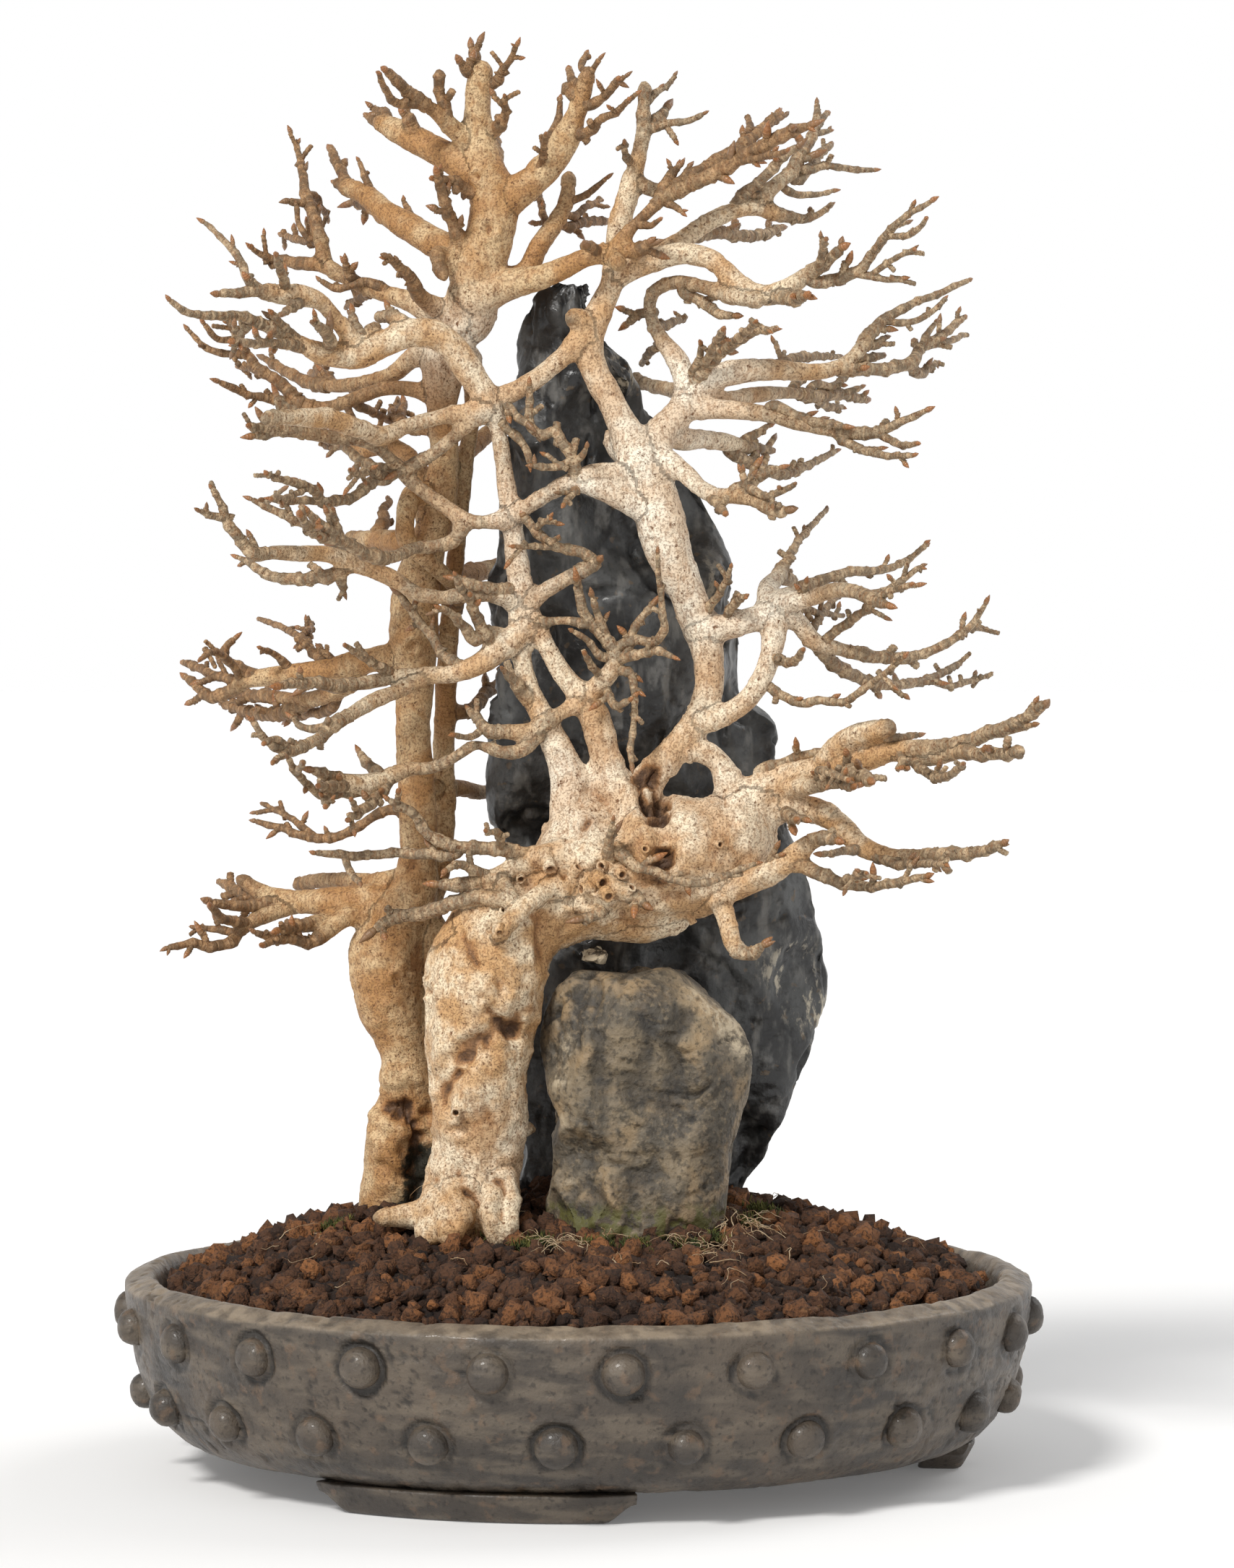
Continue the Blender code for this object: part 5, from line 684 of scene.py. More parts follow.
west_main_f stem_a -12: -74 386 4.2, -71.5 393 2.6, -68.5 395 2.6
west_main_g stem_a -6: -60 395 3.6, -64 398 2.4, -70 398 1.9
west_main_h stem_a -40: -97 390 2.4, -101 394 1.8, -105.5 399.5 1.1
west_main_i stem_a -16: -72 387 2.6, -76 394 1.8, -78 400 1.2
west_main_j stem_a -52: -86 388 2.4, -88 394 1.8, -91.5 396.5 1
west_main_k stem_a -30: -112 396.5 1.5, -117 391 1.3, -119 386 1
rear_h limb_k 102: 68 294 4 4, 68 292 3.4 34, 60 294 2.8 66, 46 297 2.2 88, 32 302 1.4 102
rear_i limb_d 96: 37 371 4 8, 37 372 3.2 34, 28 374 2.8 58, 14 378 2.2 80, 1 384 1.4 96
rear_j limb_m 90: 86 226 4.2 -22, 86 225 3.6 4, 80 226 3.1 34, 68 226 2.5 64, 52 227 1.5 90
"""


def read_limbs(table):
    """Name: (parent, depth of the tip, points). An indented line carries on the limb above it."""
    limbs = {}
    for line in table.strip().replace("\n  ", " ").splitlines():
        head, points = line.split(":")
        name, parent, depth = head.split()
        rows = [tuple(map(float, point.split())) for point in points.split(",")]
        limbs[name] = (None if parent == "-" else parent, float(depth), rows)
    return limbs


# %% [markdown]
# ## From a list of points to a smooth limb
# A polyline bends sharply at its points and wood doesn't. A cubic through the points, with each
# point's slope taken from its two neighbours, gives a line that bends as wood does.

# %% limb lines
ROOT_REACH, ROOT_FLARE, ROOT_SHARE, DEPTH_EASE = 0.45, 1.15, 0.8, 1.5


def nearest_on_limb(points, x, height):
    """The nearest place of a polyline to (x, height): the projection on each run, clipped to it."""
    points = np.asarray(points)
    start, run = points[:-1], np.diff(points, axis=0)
    target = np.array([x, height])
    along = ((target - start[:, :2]) * run[:, :2]).sum(1) / np.maximum((run[:, :2] ** 2).sum(1), 1e-9)
    places = start + run * np.clip(along, 0, 1)[:, None]
    apart = np.hypot(*(places[:, :2] - target).T)
    return places[apart.argmin()], apart.min()


def traced_limbs(limbs):
    """Gives every point its depth: from the parent's depth to the tip's, by the share of the length."""
    traced = {}
    for name, (parent, tip_depth, listed) in limbs.items():
        points = [tuple(point) for point in listed]
        root_depth = tip_depth
        if parent:
            root, apart = nearest_on_limb(traced[parent], *points[0][:2])
            root_depth = root[3]
            if apart > ROOT_REACH * root[2] or len(points[0]) > 3:
                radius = min(points[0][2] * ROOT_FLARE, root[2] * ROOT_SHARE)
                points.insert(0, (root[0], root[1], radius, root_depth))
        flat = np.array([point[:2] for point in points], float)
        shares = np.concatenate([[0], np.cumsum(np.hypot(*np.diff(flat, axis=0).T))])
        shares /= shares[-1]
        known = [(share, point[3]) for share, point in zip(shares, points) if len(point) > 3 and share > 0]
        stops = [(0.0, root_depth), *known]
        if stops[-1][0] < 1.0:
            stops.append((1.0, tip_depth))
        eased = shares if known else shares**DEPTH_EASE
        depths = np.interp(eased, *np.array(stops).T)
        radii = [point[2] for point in points]
        traced[name] = np.column_stack([flat, radii, depths])
    return traced


def cubic_through(knots, rows, at):
    """A cubic Hermite curve that passes through each row at its knot, read at other places. A row's
    slope is (after - before) / (their distance)."""
    slopes = np.gradient(rows, knots, axis=0)
    i = np.clip(np.searchsorted(knots, at, side="right") - 1, 0, len(knots) - 2)
    gap = (knots[i + 1] - knots[i])[:, None]
    t = (at - knots[i])[:, None] / gap
    curve = (2 * t**3 - 3 * t**2 + 1) * rows[i] + (t**3 - 2 * t**2 + t) * gap * slopes[i]
    curve += (3 * t**2 - 2 * t**3) * rows[i + 1] + (t**3 - t**2) * gap * slopes[i + 1]
    return curve


def smooth_line(points, radii, step):
    """The cubic through points (n, 3), read every step millimetres, with radii that run straight from
    point to point. Returns the line, its radii and the distance along it."""
    gaps = np.maximum(np.linalg.norm(np.diff(points, axis=0), axis=1), 0.05)
    knots = np.concatenate([[0], np.cumsum(gaps)])
    at = np.linspace(0, knots[-1], max(5, int(knots[-1] / step) + 1))
    return cubic_through(knots, points, at), np.interp(at, knots, radii), at


def carried_frames(line):
    """Tangents of a line, and one direction across it that is carried along without any twist."""
    tangents = unit(np.gradient(line, axis=0))
    across = np.empty_like(line)
    side = np.array([0.0, -1.0, 0.2])
    for i, tangent in enumerate(tangents):
        side = side - tangent * (side @ tangent)
        side = side / max(np.linalg.norm(side), 1e-9)
        across[i] = side
    return tangents, across, np.cross(tangents, across)


def tube_grid(line, radii, sides):
    """Rings round a line: centre + radius (across cos a + up sin a), as a (n, sides, 3) grid."""
    _, across, up = carried_frames(line)
    angles = turns(sides)
    ring = across[:, None] * np.cos(angles)[:, None] + up[:, None] * np.sin(angles)[:, None]
    return line[:, None] + ring * np.asarray(radii).reshape(len(line), -1, 1)


LINES = {}
for tree, limbs in (("left", read_limbs(LEFT_LIMBS)), ("front", read_limbs(FRONT_LIMBS))):
    for name, points in traced_limbs(limbs).items():
        x, height, radii, depth = points.T
        LINES[tree, name] = smooth_line(at_depth(x, height, depth), radii, 1.0)
print(len(LINES), "limbs,", round(sum(at[-1] for _, _, at in LINES.values())), "mm of wood")

# %% [markdown]
# ## Old wood
# Trunks and heavy limbs have fused, so tubes pushed into each other would show hard creases where
# they meet. Skin over all of them at once does better: a voxel remesh takes the outside of every
# tube together, a few rounds of smoothing fill the crotches, and the bark is then raised on that skin.

# %% thick wood
THICK, THIN = 2.9, 2.3
CORE_SIDES = 14
VOXEL = {"left": 0.98, "front": 1.19}
RELAX_ROUNDS = 5
BLOCK = 4000


def wood_core(tree):
    """Every part of a tree's limbs that is thicker than THIN, on limbs that get thicker than THICK."""
    shapes, samples = [], []
    for (owner, _), (line, radii, at) in LINES.items():
        if owner != tree or radii.max() < THICK:
            continue
        last = np.flatnonzero(radii > THIN)[-1] + 1
        line, radii, at = line[:last], radii[:last], at[:last]
        if len(line) < 4:
            continue
        ends = np.minimum(1, np.sqrt(np.clip((at[-1] - at) / radii[-1] + 0.15, 0, 1)))
        shapes.append(closed_grid(tube_grid(line, radii * ends, CORE_SIDES)))
        samples.append(np.column_stack([line, radii, at, unit(np.gradient(line, axis=0))])[::2])
    return stack_shapes(shapes), np.concatenate(samples)


def remeshed(points, faces, voxel, rounds):
    """The outer skin of overlapping closed shapes: voxel remesh, then smoothing."""
    mesh = bpy.data.meshes.new("core")
    mesh.from_pydata((points * MM).tolist(), [], faces)
    piece = bpy.data.objects.new("core", mesh)
    bpy.context.scene.collection.objects.link(piece)
    remesh = piece.modifiers.new("Skin", "REMESH")
    remesh.mode = "VOXEL"
    remesh.voxel_size = voxel * MM
    relax = piece.modifiers.new("Relax", "SMOOTH")
    relax.factor, relax.iterations = 0.5, rounds
    skin = bpy.data.meshes.new_from_object(piece.evaluated_get(bpy.context.evaluated_depsgraph_get()))
    found = np.empty(len(skin.vertices) * 3, np.float32)
    skin.vertices.foreach_get("co", found)
    normals = np.empty(len(skin.vertices) * 3, np.float32)
    skin.vertex_normals.foreach_get("vector", normals)
    corners = np.empty(len(skin.loops), np.int32)
    skin.loops.foreach_get("vertex_index", corners)
    bpy.data.objects.remove(piece)
    return found.reshape(-1, 3) / MM, normals.reshape(-1, 3), corners.reshape(-1, 4)


def nearest_limb(points, samples):
    """For each point, the sample of the limbs' lines with the least (distance - radius)."""
    best = np.empty(len(points), np.int64)
    for start in range(0, len(points), BLOCK):
        block = points[start : start + BLOCK]
        squared = (block**2).sum(1)[:, None] + (samples[:, :3] ** 2).sum(1) - 2 * block @ samples[:, :3].T
        best[start : start + BLOCK] = (np.sqrt(np.maximum(squared, 0)) - samples[:, 3]).argmin(1)
    return samples[best]


def raise_bark(points, normals, nearest, seed):
    """Moves a skin along its normals: swellings that grow with the limb, ripples across it, lengthwise
    wrinkles on thick wood, and warts."""
    radius, along, tangent = nearest[:, 3], nearest[:, 4], nearest[:, 5:8]
    old = smooth_step(4, 16, radius)
    swell = fractal_noise(points, 13, 3, seed) * np.minimum(radius * 0.07, 1.1)
    rows = np.column_stack([along, np.zeros(len(points)), np.zeros(len(points))]) + points * 0.12
    ripple = fractal_noise(rows, 3.2, 2, seed + 5) * (0.22 - 0.1 * old)
    flat = points - tangent * ((points * tangent).sum(1) * 0.75)[:, None]
    wrinkle = fractal_noise(flat, 5.5, 3, seed + 9, is_ridged=True) * 0.42 * old
    wart = smooth_step(0.55, 0.85, lattice_noise(points, 4.5, seed + 13)) * 0.55
    moved = swell + ripple + wrinkle + wart - 0.12
    return points + normals * moved[:, None], moved


# %% [markdown]
# ### Folds, scars and bulges
# Old bark creases where a trunk bends, like a sleeve at the elbow, swells into bulges between, and
# keeps a ringed scar with a hollow middle wherever a branch was cut. These are read off the drawing:
# each is a place or a line in the elevation that presses the front of the skin in or out.

# %% carving
FOLDS = {
    "front": [
        ([(-41, 184), (-34, 174), (-27, 164), (-20, 156), (-15, 150)], 1.5, 1.9),
        ([(-37, 183), (-30, 172), (-24, 163), (-18, 157)], 1.0, 1.1),
        ([(-44, 176), (-37, 167), (-30, 158), (-22, 152)], 1.1, 1.0),
        ([(-47, 127), (-44, 135), (-40, 142), (-33, 147), (-26, 150), (-17, 151)], 2.2, 2.6),
        ([(-42, 136), (-37, 142), (-31, 146)], 1.0, 1.0),
        ([(-45, 141), (-38, 148), (-30, 152)], 1.1, 1.0),
        ([(-15.5, 192), (-13, 182), (-9, 173)], 1.1, 1.8),
        ([(-30, 158), (-24, 153), (-19, 149)], 2.2, 2.2),
        ([(-12, 192), (-9.5, 183), (-7, 177)], 0.9, 1.1),
        ([(-18, 190), (-15.5, 182), (-13, 176)], 0.8, 0.7),
        ([(-41, 101), (-37, 95), (-34.5, 88), (-35, 79)], 1.5, 2.6),
        ([(-29, 99), (-26, 94), (-25.5, 87), (-26, 79)], 1.3, 2.2),
        ([(-49, 99), (-46, 92), (-45, 84), (-46, 78)], 1.1, 1.6),
        ([(-21, 101), (-19.5, 94), (-19, 86)], 1.1, 1.3),
        ([(-51, 114), (-44, 110.5), (-37, 106), (-30, 104), (-22, 103)], 1.0, 0.9),
        ([(-48, 109), (-41, 104), (-33, 100), (-25, 99)], 0.9, 0.8),
        ([(19, 243), (23, 232), (26, 221), (27.5, 208)], 1.6, 3.2),
        ([(27, 240), (28.5, 229), (30, 219), (31, 209)], 1.4, 2.8),
        ([(24, 242), (27, 232), (29.5, 222), (30, 211), (28, 203)], 2.4, 3.8),
        ([(20, 238), (24, 227), (27, 217)], 1.0, 2.0),
        ([(31, 238), (32, 228), (31.5, 214)], 0.8, 0.8),
        ([(49, 233), (53, 226), (56, 216), (57, 209)], 1.2, 1.4),
        ([(31, 214), (38, 216), (46, 222)], 0.7, 0.7),
        ([(31, 213), (38, 210), (47, 205)], 0.7, 0.7),
        ([(31, 216), (36, 225), (43, 231)], 0.7, 0.7),
        ([(31, 212), (35, 206), (41, 200)], 0.7, 0.6),
        ([(3, 235), (7, 233.5), (11, 229), (13, 222)], 0.9, 1.0),
        ([(-6, 228), (-3, 219), (-2, 213)], 1.0, 1.0),
        ([(0, 198), (6, 196), (12, 190), (20, 188)], 1.2, 1.2),
        ([(14, 204), (22, 198), (30, 194), (38, 190)], 1.0, 0.8),
    ],
    "left": [
        ([(-72, 128), (-66, 125.5), (-58, 127), (-52, 124)], 2.6, 1.3),
        ([(-70, 118), (-62, 112), (-57, 104), (-56, 94)], 1.3, 1.6),
        ([(-68, 104), (-62, 100), (-55, 101)], 1.2, 1.3),
        ([(-61, 125), (-57, 118), (-54, 109), (-53, 100)], 3.4, 4.4),
        ([(-76, 196), (-70, 199), (-62, 205), (-56, 212)], 1.2, 1.2),
        ([(-72, 190), (-64, 195), (-55, 199)], 1.0, 0.9),
        ([(-46, 372), (-44, 383), (-38, 392)], 1.2, 1.0),
        ([(-52, 386), (-46, 394), (-40, 398)], 1.0, 0.9),
    ],
}
BULGES = {
    "front": [(-35, 128, 12, 2.2), (-34, 163, 10, 1.2), (-46, 92, 5, 2.0), (-30.5, 90, 5, 2.2),
              (-39, 86, 4, 1.6), (-22, 90, 4, 1.5), (42, 217, 12, 1.6), (-52, 186, 9, 1.2),
              (-16, 116.5, 3, 2.4), (10, 197, 8, 1.6), (-18, 166, 6, 1.3)],
    "left": [(-62, 112, 9, 2.4), (-66, 178, 12, 1.0), (-56, 292, 8, 1.2), (-40, 402, 8, 1.0)],
}
SCARS = {
    "front": [(-41, 116, 3.6), (7, 207, 4.2), (12, 211, 2.6), (8.5, 201.5, 3.0), (-4, 205, 2.8),
              (-3, 196, 2.6), (3, 222, 2.4), (14, 193, 2.4), (-30, 187, 3.0), (-52, 165, 2.4),
              (58, 240, 2.6), (36, 262, 2.2)],
    "left": [(-63, 121, 3.2), (-58, 285, 2.8), (-52, 318, 2.4), (-30, 428, 2.6), (-62, 170, 2.6),
             (-46, 352, 2.0), (-34, 446, 2.2)],
}


def in_elevation(points):
    """Where a point in space falls on the drawing: the line of sight cut with the plane y = 0."""
    reach = -EYE[1] / (points[:, 1] - EYE[1])
    return (EYE + (points - EYE) * reach[:, None])[:, [0, 2]]


def carve(tree, points, normals):
    """A fold presses in along its line, as a narrow bell plus a wide one, with a low ridge beside it.
    A bulge is a bell outwards, and a scar a raised rim at its radius round a hollow. Only what faces
    the front is moved."""
    flat = in_elevation(points)
    wander = [fractal_noise(points, 7, 3, 60 + k) for k in range(3)]
    flat = flat + np.stack(wander[:2], -1) * 1.5
    fade = 0.25 + 0.85 * smooth_step(-0.5, 0.5, wander[2])
    moved = np.zeros(len(points))
    for line, width, depth in FOLDS[tree]:
        line = np.array(line, float)
        apart = np.full(len(points), np.inf)
        for start, run in zip(line[:-1], np.diff(line, axis=0)):
            share = np.clip(((flat - start) @ run) / (run @ run), 0, 1)
            apart = np.minimum(apart, np.hypot(*(flat - start - share[:, None] * run).T))
        moved -= depth * fade * (0.6 * bell(apart, width) + 0.5 * bell(apart, width * 2.6))
        moved += depth * 0.3 * bell(apart - width * 3.2, width * 1.6)
    for x, z, reach, height in BULGES[tree]:
        moved += height * bell(np.hypot(*(flat - [x, z]).T), reach)
    for x, z, size in SCARS[tree]:
        apart = np.hypot(*(flat - [x, z]).T)
        moved += bell(apart - size, 0.9) - 1.7 * bell(apart, size * 0.6)
    return moved * smooth_step(-0.15, 0.45, -normals[:, 1])


# %% [markdown]
# ## Bark
# The bark is pale and smooth on old wood, peppered with small dark pores, and browner and ringed with
# leaf scars on young twigs. Painting it would be slow, so numbers stored at the mesh's points steer
# it: how old the wood is, how far along its limb a point lies, how pale it is, how hollow it is, which
# paints it dark as shade, and how near a trunk's foot, which paints it near black.

# %% bark finish
def bark_finish(name, light, warm, twig):
    """Blends a twig colour into a light and a warm bark by age; adds pores, scars, painted shade in hollows
    and dark feet.
    """
    bark = Finish(name, roughness=0.62)
    age, along, hollow = bark.value("age"), bark.value("along"), bark.value("hollow")
    broad = bark.noise(15, 5, 3.1).steps(0.38, 0.62)
    fine = bark.noise(2.4, 4, 7.7)
    pores = bark.noise(0.75, 2, 1.3, power=0.6).steps(0.51, 0.60)
    streaks = bark.noise(1.5, 3, 4.1, stretch=(1, 1, 2.4), power=0.6).steps(0.50, 0.62)
    large_pores = bark.noise(1.7, 3, 5.9).steps(0.61, 0.67)
    rows = bark.node("ShaderNodeCombineXYZ", None, {0: along * 0.001, 1: broad * 0.0008, 2: fine * 0.0006})
    scars = bark.noise(1.7, 2, 2.2, vector=rows).steps(0.42, 0.64)
    young = bark.blend(fine.steps(0.35, 0.7), twig, [part * 0.45 for part in twig])
    young = bark.blend(scars * 0.75, young, [part * 0.3 for part in twig])
    old = bark.layered(bark.blend(broad, light, warm), [
        (fine.steps(0.5, 0.78) * 0.45, [part * 0.6 for part in warm]),
        (bark.noise(5.5, 4, 4.4).steps(0.5, 0.66) * 0.6, warm),
        (bark.value("pale") * (0.85 - broad * 0.35), (0.92, 0.83, 0.68)),
    ])
    colour = bark.layered(bark.blend(age.steps(0.02, 0.75), young, old), [
        # painted shade: orange-brown in the hollows, partly the bark's own colour in its furrows, and near
        # black in the deepest
        ((hollow * 1.6).steps(0.05, 1.0) * 0.85, (0.34, 0.155, 0.05)),
        (streaks * 0.42, (0.33, 0.15, 0.052)),
        ((pores * 0.62 + large_pores * 0.6).steps(0.0, 1.25), (0.17, 0.075, 0.027)),
        ((hollow * (0.6 + fine * 0.8)).steps(0.45, 1.15) * 0.9, (0.045, 0.018, 0.007)),
        # near black in patches at the trunks' feet by the soil, where the moss number is high
        ((bark.value("moss") * (0.3 + fine)).steps(0.3, 0.6), (0.022, 0.018, 0.008)),
    ])
    height = fine * 0.45 + scars * (0.55 - 0.35 * age) - pores * 0.25 - large_pores * 0.3
    return bark.finish(colour, 0.55 + fine * 0.2, height, 0.55)


LEFT_BARK = bark_finish("left_bark_finish", (0.66, 0.47, 0.26), (0.45, 0.235, 0.085), (0.42, 0.25, 0.12))
FRONT_BARK = bark_finish("front_bark_finish", (0.84, 0.69, 0.48), (0.58, 0.34, 0.15), (0.56, 0.41, 0.25))
BARKS = {"left": LEFT_BARK, "front": FRONT_BARK}

# %% [markdown]
# ### Where the old wood is pale, painted shaded in its hollows, or painted dark at its feet
# The trunks' own places decide this: the front stems are almost white, the crotches and other hollows
# are painted dark as shade, and the feet by the soil are painted near black.

# %% old wood pieces
PALE_SPOTS = {
    "left": [((-44, 0, 388), 16), ((-28, 8, 392), 12)],
    "front": [((45, -5, 225), 24), ((60, -10, 300), 30), ((-5, -15, 235), 20), ((20, -5, 330), 34),
              ((-15, -10, 330), 40), ((-25, -15, 110), 22), ((40, -8, 380), 24)],
}
# Where the bark's moss number paints it near black, at the trunks' feet by the soil.
DARK_FOOT_SPOTS = {
    "left": [((-54, 6, 106), 8), ((-52, 6, 96), 9), ((-62, 6, 84), 8)],
    "front": [((-26, -10, 86), 9), ((-8, -8, 88), 8)],
}


def spots(points, centres):
    """The sum of bells round a few centres, each with its own reach, kept from 0 to 1."""
    total = np.zeros(len(points))
    for centre, reach in centres:
        total += bell(np.linalg.norm(points - np.array(centre), axis=1), reach)
    return np.clip(total, 0, 1)


def bark_values(tree, points, radius, along, hollow):
    """The numbers that a bark finish reads at each point."""
    return {
        "age": smooth_step(1.7, 4.6, radius),
        "along": along,
        "hollow": hollow,
        "pale": spots(points, PALE_SPOTS[tree]) * smooth_step(1.5, 4, radius),
        "moss": spots(points, DARK_FOOT_SPOTS[tree]),
    }


def make_old_wood(tree, seed):
    """A tree's thick limbs under one skin, with its bark raised and its folds and scars carved."""
    (points, quads, triangles), samples = wood_core(tree)
    listed = quads.tolist() + triangles.tolist()
    points, normals, faces = remeshed(points, listed, VOXEL[tree], RELAX_ROUNDS)
    nearest = nearest_limb(points, samples)
    filled_out = np.linalg.norm(points - nearest[:, :3], axis=1) - nearest[:, 3]
    points, moved = raise_bark(points, normals, nearest, seed)
    carved = carve(tree, points, normals)
    points = points + normals * carved[:, None]
    # How hollow each point lies, in bark ripples, carved folds and filled crotches; the bark finish paints it
    # dark there as shade.
    hollow = smooth_step(0.05, -1.3, moved) * 0.5 + smooth_step(-0.2, -2.6, carved)
    hollow = np.clip(hollow + smooth_step(0.8, 3.4, filled_out) * 0.35, 0, 1)
    values = bark_values(tree, points, nearest[:, 3], nearest[:, 4], hollow)
    return make_piece(f"{tree}_old_wood", points, [faces], BARKS[tree], values)


OLD_WOOD = {tree: make_old_wood(tree, seed) for tree, seed in (("left", 11), ("front", 47))}

# %% [markdown]
# ## Twigs
# A twig of these old trees is a chain of short years: each year's growth ends in a swollen ring of
# scars and sets off at a slight angle. So the tube's radius swells at the nodes, and its line is
# pushed a little to one side and the other between them.

# %% twigs
DRAW = np.random.default_rng(20)
NODE_GAP = (4.5, 8.5)
TWIG_SIDES = 9


def node_places(length):
    """Distances of the nodes along a twig, by random gaps."""
    gaps = DRAW.uniform(*NODE_GAP, int(length / NODE_GAP[0]) + 2)
    places = np.cumsum(gaps)
    return places[places < length - 1.5]


def twig_tube(line, radii, at, nodes):
    """The tube with zigzag and swellings: each node adds a Gaussian ring, and noise adds scars."""
    tangents, across, up = carried_frames(line)
    phase = np.interp(at, np.concatenate([[0], nodes, [at[-1] + 1]]), np.arange(len(nodes) + 2))
    lean = np.abs((phase + 1) % 2 - 1) - 0.5
    sway = lean * np.minimum(0.75, radii * 0.42) * smooth_step(0, 6, at)
    turn = fractal_noise(line, 16, 2, 5) * math.pi
    line = line + (across * np.cos(turn)[:, None] + up * np.sin(turn)[:, None]) * sway[:, None]
    rings = bell(at[:, None] - nodes[None], 0.85).sum(1)
    scars = fractal_noise(np.column_stack([at, line[:, 0] * 0.1, line[:, 2] * 0.1]), 1.6, 2, 3)
    thick = radii * (1.0 + 0.2 * rings + 0.1 * scars)
    tip = np.sqrt(np.clip((at[-1] - at) / np.maximum(radii[-1], 0.5) + 0.12, 0, 1))
    grid = tube_grid(line, thick * tip, TWIG_SIDES)
    lumps = 1 + 0.09 * lattice_noise(grid.reshape(-1, 3), 2.2, 8).reshape(grid.shape[:2])
    return tube_grid(line, (thick * tip)[:, None] * lumps, TWIG_SIDES), line, tangents


TWIGS = {"left": [], "front": []}
TIPS, SIDE_SHOOTS = [], []
for (tree, name), (line, radii, at) in LINES.items():
    start = 0
    if radii.max() >= THICK:
        thin = np.flatnonzero(radii > THIN + 0.15)
        start = max(0, (thin[-1] if len(thin) else 0) - 5)
    if at[-1] - at[start] < 2.5:
        TIPS.append((tree, line[-1], unit(line[-1] - line[-4]), radii[-1]))
        continue
    line, radii, at = line[start:], radii[start:], at[start:] - at[start]
    nodes = node_places(at[-1])
    grid, line, tangents = twig_tube(line, radii, at, nodes)
    points, quads, triangles = closed_grid(grid)
    per_point = [ring_values(row, TWIG_SIDES) for row in (radii, at)]
    TWIGS[tree].append((points, quads, triangles, *per_point))
    TIPS.append((tree, line[-1], tangents[-3], radii[-1]))
    for k, node in enumerate(nodes):
        i = int(np.searchsorted(at, node))
        SIDE_SHOOTS.append((tree, line[i], tangents[i], radii[i], k))
for tree, tubes in TWIGS.items():
    points, quads, triangles = stack_shapes(tubes)
    radius, along = (np.concatenate([tube[k] for tube in tubes]) for k in (3, 4))
    values = bark_values(tree, points, radius, along, np.zeros(len(points)))
    make_piece(f"{tree}_twigs", points, [quads, triangles], BARKS[tree], values)

# %% [markdown]
# ## Spurs and buds
# Short spurs stand at many nodes, left and right in turn, and every thin tip, except close to the
# soil, ends in a pointed brown bud. Hundreds are needed, so one small template each is worked out
# once, then turned, sized and moved to every place together, as one array product.

# %% copies of a template
def copies(template, origins, directions, spins, sizes):
    """A closed template grid along +Z, copied: local x, y, z are laid on two axes across and one along
    each direction, times the copy's (width, length)."""
    points, quads, triangles = closed_grid(template)
    along = unit(directions)
    helper = np.where(np.abs(along[:, 2:]) < 0.9, [[0.0, 0.0, 1.0]], [[1.0, 0.0, 0.0]])
    side = unit(np.cross(along, helper))
    other = np.cross(along, side)
    across = side * np.cos(spins)[:, None] + other * np.sin(spins)[:, None]
    axes = np.stack([across, np.cross(along, across), along], 1)
    axes[:, :2] *= sizes[:, 0, None, None]
    axes[:, 2] *= sizes[:, 1, None]
    placed = np.einsum("pk,nkc->npc", points, axes) + origins[:, None]
    starts = np.arange(len(origins)) * len(points)
    quads = (quads[None] + starts[:, None, None]).reshape(-1, 4)
    triangles = (triangles[None] + starts[:, None, None]).reshape(-1, 3)
    return placed.reshape(-1, 3), quads, triangles, len(points)


def turned_grid(profile, sides, bend=0.0, twist=0.0):
    """A profile of (radius, height) turned round +Z; its height squared times bend leans it along x."""
    radii, heights = np.array(profile, float).T
    angles = turns(sides) + heights[:, None] * twist
    x = radii[:, None] * np.cos(angles) + bend * heights[:, None] ** 2
    return np.stack([x, radii[:, None] * np.sin(angles), np.broadcast_to(heights[:, None], x.shape)], -1)


SPUR = turned_grid([(1.25, -0.5), (1.0, 0.1), (0.86, 0.3), (1.04, 0.4), (0.84, 0.55), (1.02, 0.7),
                    (0.84, 0.82), (0.95, 0.93), (0.62, 1.0)], 6, bend=0.55)
BUD = turned_grid([(0.55, -0.25), (0.86, 0.02), (1.0, 0.22), (0.86, 0.5), (0.52, 0.76), (0.14, 1.0)], 6,
                  bend=0.3, twist=0.7)

# %% spurs and buds on both trees
SPUR_SHARE, SPUR_BUD_SHARE, TWIN_BUD_SHARE = 0.62, 0.42, 0.3
THICKEST_WITH_SPUR, THICKEST_WITH_BUD, LOWEST_BUD = 3.4, 1.9, 130
WIDEST_BUD = 1.5
spur_rows, bud_rows = [], []
for tree, place, along, radius, k in SIDE_SHOOTS:
    if radius > THICKEST_WITH_SPUR or DRAW.random() > SPUR_SHARE:
        continue
    outward = np.cross(along, [0.0, 1.0, 0.0])
    lean = unit(outward * (1 if k % 2 else -1) + DRAW.normal(0, 0.75, 3) + [0, 0, 0.35])
    direction = unit(lean - along * (lean @ along) * 0.7 + along * DRAW.uniform(0.35, 1.0))
    width = min(1.6, max(0.95, radius * DRAW.uniform(0.6, 0.88)))
    length = DRAW.uniform(1.2, 3.2) if DRAW.random() < 0.55 else DRAW.uniform(3.0, 7.0)
    origin = place + direction * radius * 0.5
    spur_rows.append((tree, origin, direction, width, length))
    if DRAW.random() < SPUR_BUD_SHARE:
        bud_rows.append((tree, origin + direction * length * 0.97, direction, width * 0.92))
